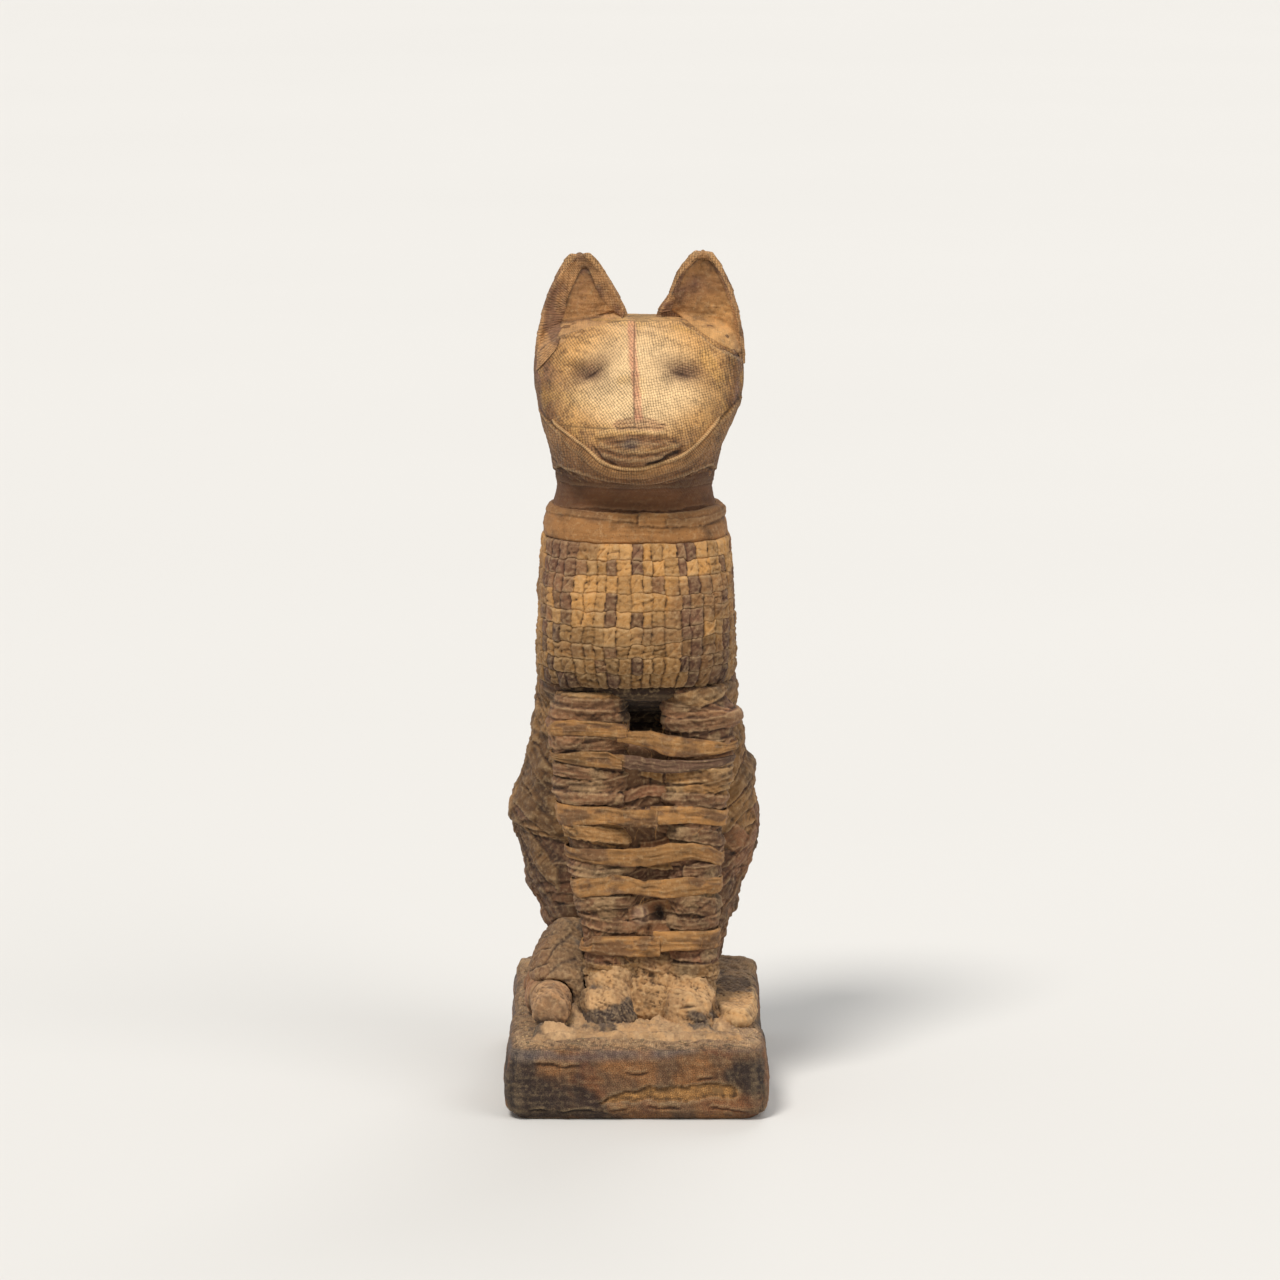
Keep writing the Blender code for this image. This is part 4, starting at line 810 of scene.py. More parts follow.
# Studio and pieces
def make_stage(tones, sizes):
    """Floor, world, three lamps and the camera."""
    scene = bpy.context.scene
    scene.view_settings.view_transform = "Standard"
    bm = bmesh.new()
    bmesh.ops.create_grid(bm, x_segments=8, y_segments=8, size=20.0)
    mesh = bpy.data.meshes.new("studio_floor")
    bm.to_mesh(mesh)
    bm.free()
    floor = bpy.data.objects.new("studio_floor", mesh)
    scene.collection.objects.link(floor)
    paper, tree, shader = new_material("floor_paper")
    noise = node(tree, "ShaderNodeTexNoise", {"Scale": 60.0, "Detail": 3.0})
    colour = (*tones.floor, 1.0)
    tree.links.new(blended(tree, noise.outputs[0], colour, [c * 0.97 for c in colour[:3]] + [1]),
        shader.inputs["Base Color"])
    shader.inputs["Roughness"].default_value = 0.85
    mesh.materials.append(paper)
    world = bpy.data.worlds.new("studio")
    world.use_nodes = True
    world.node_tree.nodes["Background"].inputs["Color"].default_value = (0.98, 0.99, 1.0, 1)
    world.node_tree.nodes["Background"].inputs["Strength"].default_value = 0.42
    scene.world = world
    for name, pitch, swing, strength, angle, colour in (
        ("key_lamp", 56, -28, 2.5, 16, (1.0, 0.97, 0.93)),
        ("fill_lamp", 34, 48, 0.85, 40, (1.0, 0.98, 0.96)),
        ("rim_lamp", 40, 165, 0.7, 30, (0.96, 0.98, 1.0)),
    ):
        lamp = bpy.data.lights.new(name, "SUN")
        lamp.energy, lamp.angle, lamp.color = strength, math.radians(angle), colour
        obj = bpy.data.objects.new(name, lamp)
        obj.rotation_euler = (math.radians(90 - pitch), 0, math.radians(swing))
        scene.collection.objects.link(obj)
    camera = bpy.data.objects.new("camera", bpy.data.cameras.new("camera"))
    camera.data.sensor_width, camera.data.lens = 36.0, 168.2
    camera.data.clip_start, camera.data.clip_end = 0.1, 60.0
    camera.location = (0.0016, -2.48, 0.589)
    camera.rotation_euler = (math.radians(90 - 9.2), 0, 0)
    scene.collection.objects.link(camera)
    scene.camera = camera


def turned(form, height, cell, low=-math.pi, high=math.pi, coarse=None):
    """Turns round a form so that its points lie a cell apart; coarse gives ranges that need fewer."""
    fine = np.linspace(low, high, 4000)
    spots = form.points(fine, height + 0 * fine)
    steps = np.linalg.norm(np.diff(spots, axis=0), axis=1) / cell
    middle = (fine[1:] + fine[:-1]) / 2
    for start, end, share in coarse or ():
        steps = np.where((middle > start) & (middle < end), steps * share, steps)
    run = np.concatenate([[0], np.cumsum(steps)])
    return np.interp(np.linspace(0, run[-1], int(run[-1])), run, fine)


def wrapped(form, low, high, cell, tint, lift, coarse=None, turns=None):
    """A cloth on a round form between two heights."""
    turns = turned(form, (low + high) / 2, cell, coarse=coarse) if turns is None else turns
    heights = np.linspace(low, high, int((high - low) / cell))
    turn, height = np.meshgrid(turns, heights)
    return Cloth(form.points(turn, height), tint, lift)


def random_strips(cloth, count, low, high, tints, thick, seed, slope=0.2, width=(0.006, 0.011),
        crease=0.0003, reach=None):
    """Lays strips round a limb from the bottom up, each leaning its own way."""
    chance = np.random.RandomState(seed)
    reach = reach or np.abs(cloth.along).max()
    for index in range(count):
        height = low + (high - low) * (index + 0.5) / count + chance.uniform(-0.002, 0.002)
        lean, bow = chance.uniform(-slope, slope), chance.uniform(-0.003, 0.003)
        line = [(run * reach, height + lean * run * reach + bow * math.cos(2.6 * run + index))
            for run in np.linspace(-1, 1, 13)]
        tint = np.array(tints[chance.randint(len(tints))]) * chance.uniform(0.75, 1.2)
        ends = None
        if chance.rand() < 0.35:
            start = chance.uniform(-0.6, 0.3) * reach
            ends = (start, start + chance.uniform(0.5, 1.1) * reach)
        cloth.lay(line, chance.uniform(*width), thick * chance.uniform(0.6, 1.2), tint,
            seed + index, ends, crease=crease)


# Heights between which the chest weave lies
CHEST_LOW, CHEST_HIGH = 0.1757, 0.2357
# Turns at the back of a limb, where a third of the points is enough
FRONT_FINE = ((-math.pi, -2.2, 0.35), (2.2, math.pi, 0.35))


def make_chest(tones, sizes):
    """Nine rows of a basket weave, each a piece of its own."""
    rows = 9
    form = RoundForm([f"chest_row_{n}" for n in range(1, 10)] + ["collar_band", "body_wrap"],
                     CHEST_LOW - 0.001, CHEST_HIGH + 0.004, (0.0, -0.009), 3)
    turns = turned(form, 0.205, sizes.cell, coarse=((-math.pi, -2.1, 0.6), (2.1, math.pi, 0.6)))
    middle = form.points(turns, 0.205 + 0 * turns)
    run = np.concatenate([[0], np.cumsum(np.linalg.norm(np.diff(middle, axis=0), axis=1))])
    run -= np.interp(0.0, turns, run)
    chance = np.random.RandomState(7)
    edges, dyed = [run[0]], []
    while edges[-1] < run[-1] - 0.004:
        edges.append(edges[-1] + chance.uniform(0.0036, 0.007))
        dyed.append(chance.rand() < 0.45)
    edges[-1] = run[-1] + 1e-6
    dyed = np.array(dyed[: len(edges) - 1] + [False] * (len(edges) - 1 - len(dyed)))
    edges = np.array(edges)
    swapped = chance.rand(rows, len(dyed)) < 0.3
    joined = chance.rand(rows, len(dyed)) < 0.28
    steps = chance.rand(rows + 1, len(dyed)) - 0.5
    around = np.cos(run / run[-1] * math.pi)

    def border(row):
        """Height of the line between two rows, all round."""
        wander = (
            0.0022 * (mottle(run / 0.034, 0 * run + row * 1.7, 31) - 0.5)
            + 0.0008 * (mottle(run / 0.003, 0 * run + row, 77) - 0.5)
        )
        stepped = steps[row][np.clip(np.searchsorted(edges, run) - 1, 0, len(dyed) - 1)]
        wander += 0.0011 * np.convolve(np.pad(stepped, 2, mode="edge"), np.ones(5) / 5, mode="valid")
        tilt = 0.0024 * ease((run - 0.008) / 0.03) * np.clip(around, 0, 1) * (0 < row < 6)
        return CHEST_LOW + (CHEST_HIGH - CHEST_LOW) * row / rows + (wander + tilt) * (0 < row < rows)

    for row in range(rows):
        lower, upper = border(row), border(row + 1)
        share = np.linspace(0, 1, 19)[:, None]
        height = lower + (upper - lower) * share + 0.0004 * (2 * share - 1)
        cloth = Cloth(form.points(turns + 0 * height, height), tones.light, -0.0007, along=run + 0 * height)
        wobble = cloth.along + 0.0022 * (cloth.noise(0.008, 0.005, 50 + row, 2) - 0.5)
        strip = np.clip(np.searchsorted(edges, wobble) - 1, 0, len(dyed) - 1)
        left, right = edges[strip], edges[strip + 1]
        u = np.clip((wobble - left) / (right - left), 0, 1)
        over = ((row + strip) % 2 == 0) ^ swapped[row, strip]

        def cell(scale, salt):
            """A random value for each square of this row."""
            return np.random.RandomState(91 + salt).rand(rows, len(dyed))[row, strip] * scale

        merged = ease((mottle(cloth.along / 0.007, 0 * cloth.up + row * 1.3, 480, 2) - 0.42) / 0.2)
        bow = (1 - np.abs(2 * share - 1) ** (3.5 + 9 * merged)) ** 0.6
        pillow = (1 - np.abs(2 * u - 1) ** 3) ** 0.7
        pillow = np.where(joined[row, strip] & ~over, 0.6 + 0.4 * pillow, pillow)
        vertical = 0.0003 + 0.001 * pillow * bow
        flat = 0.0001 + 0.001 * bow * (0.55 + 0.45 * pillow)
        rise = np.where(over, vertical, flat) + cell(0.0004, 1) - 0.0002
        rise = rise + (cell(1, 2) - 0.5) * 0.0006 * (u - 0.5) * bow
        crease_at = 0.3 + cell(0.4, 3) + 0.12 * (u - 0.5)
        creased = (cell(1, 4) < 0.42) & ~over
        rise -= creased * 0.00042 * np.exp(-(((share - crease_at) / 0.07) ** 2))
        second = 0.5 + np.sign(0.5 - crease_at) * 0.26
        rise -= (creased & (cell(1, 5) < 0.5)) * 0.0003 * np.exp(-(((share - second) / 0.06) ** 2))
        slant = (cell(1, 6) < 0.14) * 0.0005 * ease((u - share) / 0.1 + 0.5)
        rise += slant - 0.0002
        rise += 0.0009 * (cloth.noise(0.0016, 0.0013, 400 + row, 3) - 0.5)
        rise -= 0.0004 * ridges(cloth.noise(0.0045, 0.003, 430 + row, 2)) ** 4
        rise += 0.0008 * (cloth.noise(0.006, 0.005, 450, 2) - 0.5)
        deep = 0.0001 + 0.0016 * ease((mottle(cloth.along / 0.006, 0 * cloth.up + row, 470, 2) - 0.35) / 0.3)
        cloth.rise = rise - deep * (np.abs(2 * share - 1) ** 9)
        light, dark = tones.light, tones.dark * (1.12, 0.9, 0.74)
        warm = light * np.array((1.02, 0.92, 0.72))
        tint = mix(light + 0 * cloth.tint, warm, cell(1, 7))
        worn = mix(dark + 0 * cloth.tint, light, 0.25 * cell(1, 8))
        tint = mix(tint, worn, (over & dyed[strip]).astype(float))
        stained = (~over & (cell(1, 9) < 0.1)).astype(float)
        tint = mix(tint, dark * 1.15, stained * 0.7)
        # Painted shade: the lower rows are made darker, row by row.
        level = np.interp(row, (0, 2, 4, 6, 8), (0.46, 0.6, 0.82, 0.97, 1.0))
        tint = tint * (level * (0.66 + 0.46 * cell(1, 10)))[..., None]
        tint *= (0.8 + 0.4 * cloth.noise(0.0016, 0.0013, 600 + row, 3))[..., None]
        scorch = ease((cloth.noise(0.03, 0.018, 12, 2) - 0.5) / 0.2) * 0.5
        cloth.tint = mix(tint, dark * 0.75, scorch)
        upright, level_run = np.stack([cloth.up, cloth.along], -1), np.stack([cloth.along, cloth.up], -1)
        cloth.thread = np.where(over[..., None], upright, level_run)
        cloth.join_ends()
        places = cloth.places(0.0003, 0.0003, 2)
        cloth.finish(f"chest_row_{row + 1}_linen", places, "linen_tan", "chest_linen",
            [f"chest_row_{row + 1}"], close=True)


def make_collar(tones, sizes):
    """The broad folded strip that closes the chest weave, and the fine dark linen of the neck."""
    form = RoundForm(["collar_band", "neck_wrap", "chest_row_9", "body_wrap"], 0.234,
        0.258, (0.0, -0.012), 4)
    cloth = wrapped(form, 0.2349, 0.2484, sizes.cell * 0.9, tones.light * 0.8, 0.0)
    gold, shadow = tones.light * np.array((0.72, 0.62, 0.56)), tones.wrap * 0.8
    cloth.lay(0.2418, 0.015, 0.0011, gold * 0.92, 3, crown=0.5, crease=0.0003)
    cloth.lay([(-0.15, 0.2473), (-0.02, 0.2468), (0.01, 0.2455), (0.15, 0.2474)], 0.0032,
        0.0006, gold * 0.8, 5)
    cloth.lay([(-0.05, 0.245), (0.005, 0.2452), (0.03, 0.2448), (0.06, 0.2462)], 0.0062, 0.0009,
        gold, 8, (0.001, 0.078))
    cloth.lay([(0.0, 0.2432), (0.02, 0.2426), (0.05, 0.2442)], 0.0026, 0.0005, gold * 0.75, 9, (0.012, 0.07))
    cloth.crumple(0.0003, 0.006, 40)
    cloth.paint(shadow, 0.5 * ease((cloth.noise(0.02, 0.006, 8, 2) - 0.5) / 0.2))
    cloth.join_ends()
    cloth.finish("collar_linen", cloth.places(0.0022, 0.0016, 4), "linen_tan", "strip_linen",
        ["collar_band"], close=True)
    form = RoundForm(["collar_band", "neck_wrap", "head_cover"], 0.244, 0.266, (0.0, -0.014), 6)
    cloth = wrapped(form, 0.2455, 0.265, sizes.cell, tones.neck, -0.0002)
    cloth.lay([(-0.15, 0.256), (0.0, 0.2545), (0.15, 0.257)], 0.012, 0.0005,
        tones.neck * 1.1, 15, crease=0.00015)
    cloth.lay([(-0.15, 0.26), (-0.02, 0.2622), (0.02, 0.2618), (0.15, 0.259)], 0.006, 0.0005,
        tones.neck * 0.8, 16)
    cloth.crumple(0.00025, 0.009, 41)
    cloth.join_ends()
    cloth.finish("neck_linen", cloth.places(0.002, 0.004, 4), "linen_brown", "neck_linen",
        ["neck_wrap"], close=True)


def leg_tints(tones):
    """The browns that the strips of the legs and haunches are drawn from."""
    wrap = tones.wrap
    return [wrap, wrap * (1.2, 1.08, 0.95), wrap * (0.8, 0.76, 0.85), tones.band * 0.75,
        wrap * (1.3, 1.2, 1.25)]


def make_forelegs(tones, sizes):
    """Both wrapped forelegs, each wound with strips from the bottom up."""
    axes = {"left": (-0.0101, -0.013, -0.018, -0.019), "right": (0.0229, 0.0232, 0.024, 0.0262)}
    for side, across in axes.items():
        node_name = f"{side}_foreleg_wrap"
        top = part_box(node_name)[1].z
        axis = [(z, x, -0.0395) for z, x in zip((0.043, 0.093, 0.12, 0.16), across)]
        form = RoundForm([node_name], 0.0432, top - 0.0008, axis, 3, turns=90)
        # The cloth under the strips is darker, as painted shade in the gaps between them.
        cloth = wrapped(form, 0.044, top - 0.001, sizes.cell, tones.wrap * 0.8, -0.0006, FRONT_FINE)
        seed = 100 if side == "left" else 300
        random_strips(cloth, 18, 0.047, 0.18, leg_tints(tones), sizes.strip, seed, 0.26,
            crease=sizes.crease * 1.4)
        random_strips(cloth, 9, 0.052, 0.176, leg_tints(tones), sizes.strip * 0.8, seed + 60, 0.55,
            (0.0035, 0.007), sizes.crease)
        gold = tones.band
        for index, ((first, last), width, level, ends) in enumerate(LEG_STRIPS[side]):
            middle = (first + last) / 2 + 0.0008 * math.sin(3.7 * index)
            line = [(-0.05, first), (-0.012, first), (0.0, middle), (0.012, last), (0.05, last)]
            line = [(run, rise + 0.0011 * math.sin(95 * run + 2.3 * index)) for run, rise in line]
            cloth_tone = shade(158, 112, 76) if level < 0.85 else gold
            cloth.lay(line, width, sizes.strip * 1.1, cloth_tone * level, seed + 400 + index, ends,
                crease=sizes.crease * 1.5)
        cloth.lay(0.056, 0.0058, sizes.strip * 1.4, gold * (0.75 if side == "left" else 0.6), seed + 90,
            crease=sizes.crease * 1.5)
        cloth.wrinkle(0.0004, seed + 30)
        cloth.crumple(0.0006, 0.0045, seed + 5)
        cloth.crumple(0.0004, 0.0018, seed + 6)
        # Painted shade: the inner top of the left leg, in the recess under the chest, is darkened.
        inner = (
            ease((cloth.spots[..., 0] + 0.0085) / 0.003) * ease((cloth.up - 0.157) / 0.004)
            * (side == "left")
        )
        cloth.rise -= 0.0006 * inner
        cloth.dim(1 - 0.8 * inner)
        low = ease((0.0585 - cloth.up + 0.006 * (cloth.noise(0.006, 0.006, seed + 7) - 0.5)) / 0.008)
        rough = cloth.noise(0.0011, 0.0011, seed + 8, 3)
        cloth.rise += (
            low * (0.0006 * (rough - 0.45) + 0.0012 * (cloth.noise(0.004, 0.004, seed + 9, 2) - 0.3))
        )
        cloth.paint(shade(186, 146, 100) * (0.65 + 0.5 * rough[..., None]), 0.85 * low)
        dusty = ease((cloth.noise(0.008, 0.007, seed + 12, 3) - 0.54) / 0.12) * 0.55
        cloth.paint(tones.dust * 0.75, dusty * (0.6 + 0.4 * rough))
        dark = ease((cloth.noise(0.01, 0.006, seed + 13, 3) - 0.56) / 0.12) * 0.5
        cloth.paint(tones.wrap * 0.4, dark)
        cloth.join_ends(6)
        cloth.finish(f"{side}_foreleg_linen", cloth.places(0.001, 0.004, 4), "linen_brown", "strip_linen",
            [node_name], close=True)


def make_leg_web(tones, sizes):
    """Crumpled cloth packed between the forelegs, with sandy debris down to the plinth."""
    columns = np.linspace(-0.0135, 0.0205, int(0.034 / sizes.cell))
    heights = np.linspace(PLINTH_TOP - 0.001, 0.156, int(0.124 / sizes.cell))
    across, height = np.meshgrid(columns, heights)
    middle = np.interp(height, (0.05, 0.09, 0.156), (0.0062, 0.004, 0.004))
    depth = -0.0446 - 0.001 * np.cos((across - middle) / 0.0155 * math.pi)
    depth += 0.0022 * hump(across - middle, 0.005) * ease((height - 0.06) / 0.01)
    depth -= 0.0085 * ease((0.058 - height) / 0.02)
    depth = np.where(height > 0.148, depth + (height - 0.148) * 1.2, depth)
    # The cloth under the strips is darker, as painted shade in the gaps between them.
    cloth = Cloth(np.stack([across, depth, height], -1), tones.wrap * 0.7, 0.0)
    random_strips(cloth, 14, 0.058, 0.154, leg_tints(tones), sizes.strip * 1.1, 700, 0.35, (0.004, 0.007),
        sizes.crease * 1.4, 0.017)
    cloth.crumple(0.0014, 0.006, 710)
    lump = hump(across - 0.0015, 0.0034) * hump(height - 0.079, 0.0042)
    cloth.rise += 0.0026 * lump + 0.0012 * lump * (mottle(across / 0.0018, height / 0.0018, 716, 2) - 0.5)
    cloth.paint(shade(142, 112, 90), 0.8 * ease(lump * 1.6))
    # Painted shadow: a hole pressed into the packing and painted nearly black inside.
    hole = hump(across - 0.0095, 0.0026) * hump(height - 0.0795, 0.004)
    cloth.rise -= 0.004 * hole
    cloth.paint(shade(30, 20, 14), 0.85 * np.clip(1.3 * hole, 0, 1))
    low_part = ease((0.064 - cloth.up + 0.008 * (cloth.noise(0.005, 0.005, 715) - 0.5)) / 0.01)
    push, tint = crusted(cloth.spots.reshape(-1, 3), 720, shade(172, 132, 88), shade(84, 62, 46), 0.16)
    cloth.rise += (
        low_part * (1.3 * push.reshape(across.shape) + 0.0016 * (cloth.noise(0.0045, 0.006, 721, 2) - 0.4))
    )
    cloth.paint(tint.reshape(cloth.tint.shape), 0.95 * low_part)
    cloth.finish("foreleg_web_linen", cloth.places(0.001, 0.003, 4), "packing", "crust", ["foreleg_web"])


# Each strip round the legs, from the lowest: how pale it is, how far across its loose end lies, and its
# lower and upper edge at places across, for the half that ends on top and for the half that starts below
BANDS = (
    (1.0, 0.0106,
     ((-0.0217, 0.0631, 0.0672), (-0.0177, 0.0626, 0.0707), (-0.0045, 0.0625, 0.0711),
         (0.0065, 0.0617, 0.0707),
      (0.0116, 0.0625, 0.0712)),
     ((0.0095, 0.064, 0.0728), (0.017, 0.065, 0.0733), (0.0248, 0.0651, 0.0734), (0.0336, 0.0647, 0.073))),
    (0.95, None,
     ((-0.026, 0.0861, 0.094), (-0.0205, 0.0872, 0.097), (-0.01, 0.0887, 0.0974), (-0.003, 0.0891, 0.0962),
      (0.003, 0.0876, 0.094), (0.01, 0.0869, 0.0948), (0.021, 0.0876, 0.0962), (0.0285, 0.0887, 0.0958),
      (0.034, 0.088, 0.0948)), None),
    (0.78, None,
     ((-0.029, 0.103, 0.108), (-0.019, 0.1018, 0.1079), (-0.0045, 0.1004, 0.1079), (0.0065, 0.1004, 0.1086),
      (0.014, 0.1019, 0.1105), (0.0233, 0.1037, 0.1108), (0.0306, 0.1022, 0.109), (0.0354,
          0.0992, 0.1052)), None),
    (1.05, 0.009,
     ((-0.03, 0.1166, 0.1262), (-0.023, 0.118, 0.1259), (-0.012, 0.1187, 0.1259), (-0.0045, 0.1172, 0.1247),
      (0.0094, 0.1168, 0.1243)),
     ((0.0075, 0.1176, 0.1258), (0.0175, 0.1187, 0.1263), (0.025, 0.1185, 0.1262), (0.031, 0.1176, 0.125),
      (0.036, 0.1165, 0.1232))),
    (0.7, -0.006,
     ((-0.034, 0.1445, 0.1472), (-0.023, 0.1432, 0.149), (-0.012, 0.1424, 0.1492), (-0.006, 0.1416, 0.1464)),
     ((-0.006, 0.1424, 0.148), (0.004, 0.14, 0.1462), (0.011, 0.1397, 0.1455), (0.021, 0.1403, 0.1453),
      (0.032, 0.142, 0.1457), (0.0386, 0.143, 0.1462))),
    (0.9, -0.0036,
     ((-0.0364, 0.1551, 0.159), (-0.033, 0.1549, 0.1612), (-0.025, 0.156, 0.162), (-0.015, 0.1556, 0.1618),
      (-0.006, 0.1549, 0.1608), (-0.0036, 0.1553, 0.16)),
     ((-0.006, 0.153, 0.1577), (0.0065, 0.1498, 0.1574), (0.013, 0.147, 0.1562), (0.021, 0.1466, 0.1548),
      (0.029, 0.1475, 0.1538), (0.0386, 0.1485, 0.152))),
)


def band_edges(across, progress, left, right):
    """Heights of a strip's two edges, from the table for each half and evened at the back."""
    share = ease((progress - 0.42) / 0.16)
    tables = [np.array(table) for table in (right or left, left)]
    edges = []
    for column in (1, 2):
        first, second = (np.interp(across, table[:, 0], table[:, column]) for table in tables)
        edges.append(first + (second - first) * share)
    return edges


def make_leg_bands(tones, sizes):
    """Six strips that tie both forelegs together, each with its loose end lying over its start."""
    for index, (depth_of_tone, end_at, left, right) in enumerate(BANDS):
        name = f"leg_band_{index + 1}"
        low, high = (corner.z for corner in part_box(name))
        form = RoundForm([name], low + 0.0004, high - 0.0004, (0.0035, -0.0395), 6, turns=120, step=0.001)
        end = math.pi - 0.4 if end_at is None else math.atan2(end_at - 0.0035, 0.0122)
        turns = turned(form, (low + high) / 2, sizes.cell, end - math.tau - 0.22, end)
        rows = 20
        share = np.linspace(0, 1, rows)[:, None]
        turn = turns[None, :] + 0 * share
        progress = np.linspace(0, 1, len(turns))[None, :] + 0 * share
        spots = form.points(turn, (low + high) / 2 + 0 * turn)
        lower, upper = band_edges(spots[..., 0], progress, left, right)
        ragged = 0.0007 * (mottle(turn / 0.16, 0 * turn + 3 * np.round(share), 820 + index, 3) - 0.5)
        spots[..., 2] = lower + (upper - lower) * share + ragged
        spots = form.points(turn, spots[..., 2])
        cloth = Cloth(spots, tones.band * depth_of_tone, 0.0004)
        edge = np.abs(2 * share - 1)
        seen = spots[..., 1] < -0.042
        dip = 0.0018 * hump(spots[..., 0] - 0.005, 0.0065) * seen
        sag = 0.0012 * (mottle(cloth.along / 0.012, share * 1.3, 850 + index, 2) - 0.5)
        puckers = ridges(mottle(cloth.along / 0.014, share * 4, 840 + index, 2)) ** 2
        across_folds = ridges(mottle(cloth.along / 0.0045, share * 1.2 + 0 * turn, 845 + index, 2))
        cloth.rise = 0.0005 - dip + 0.0007 * ease((progress - 0.8) / 0.15) + sag
        cloth.rise = cloth.rise + 0.0006 * (puckers - 0.3) + 0.0003 * (across_folds - 0.5) - 0.0005 * edge**4
        gold = tones.band * depth_of_tone
        wear = 0.7 + 0.6 * mottle(cloth.along / 0.004, share * 3, 870 + index, 3)
        stain = ease((mottle(cloth.along / 0.013, share * 1.8, 880 + index, 3) - 0.47) / 0.14)
        cloth.tint = mix(gold * wear[..., None], tones.wrap * 0.8, 0.8 * stain)
        paler = ease((mottle(cloth.along / 0.006, share * 2.5, 890 + index, 3) - 0.52) / 0.12)
        cloth.paint(gold * (1.28, 1.22, 1.1), 0.6 * paler)
        if name == "leg_band_5":
            grey = ease((spots[..., 0] + 0.006) / 0.002) * (progress < 0.5)
            cloth.paint(tones.dark * 0.8 * wear[..., None], 0.85 * grey)
        # Painted shade in the creases between the puckers.
        crease = np.clip(1 - 4 * puckers, 0, 1)
        cloth.paint(tones.wrap * 0.4, 0.5 * crease)
        # Brighter along both edges: partly edge wear, partly a painted highlight.
        cloth.dim(1 + 0.16 * edge**6)
        cloth.thread = np.stack([cloth.along, share * 0.008 + 0 * turn], -1)
        thicken(cloth.finish(f"{name}_linen", cloth.places(), "linen_tan", "strip_linen", [name]), 0.0009)


# Strips that show on each leg: heights at its left and right, width, how pale, and where it ends
LEG_STRIPS = {
    "left": (
        ((0.1735, 0.1722), 0.007, 0.9, None), ((0.167, 0.1688), 0.0052, 0.62,
            None), ((0.1646, 0.164), 0.005, 0.78, None),
        ((0.1528, 0.1512), 0.0058, 0.8, None), ((0.14, 0.1372), 0.0062, 0.74,
            None), ((0.134, 0.1352), 0.007, 0.6, None),
        ((0.129, 0.1275), 0.005, 0.7, (-0.02, 0.012)), ((0.1145, 0.1128), 0.0068, 0.92, None),
        ((0.0992, 0.0978), 0.0042, 0.66, None), ((0.0832, 0.0842), 0.0058, 0.64,
            None), ((0.0768, 0.075), 0.0056, 0.76, None),
    ),
    "right": (
        ((0.169, 0.1745), 0.0072, 0.86, None), ((0.1655, 0.162), 0.0062, 0.74,
            None), ((0.16, 0.1622), 0.0056, 0.66, None),
        ((0.152, 0.15), 0.005, 0.72, (-0.012, 0.02)), ((0.1372, 0.1392), 0.0072, 1.02,
            None), ((0.1318, 0.1345), 0.0066, 0.98, None),
        ((0.1285, 0.1262), 0.0056, 0.66, None), ((0.1142, 0.112), 0.0058, 0.52, None),
        ((0.1, 0.097), 0.007, 0.56, (-0.004, 0.02)), ((0.0832, 0.0812), 0.008, 0.62,
            None), ((0.0762, 0.0772), 0.0054, 0.7, None),
    ),
}


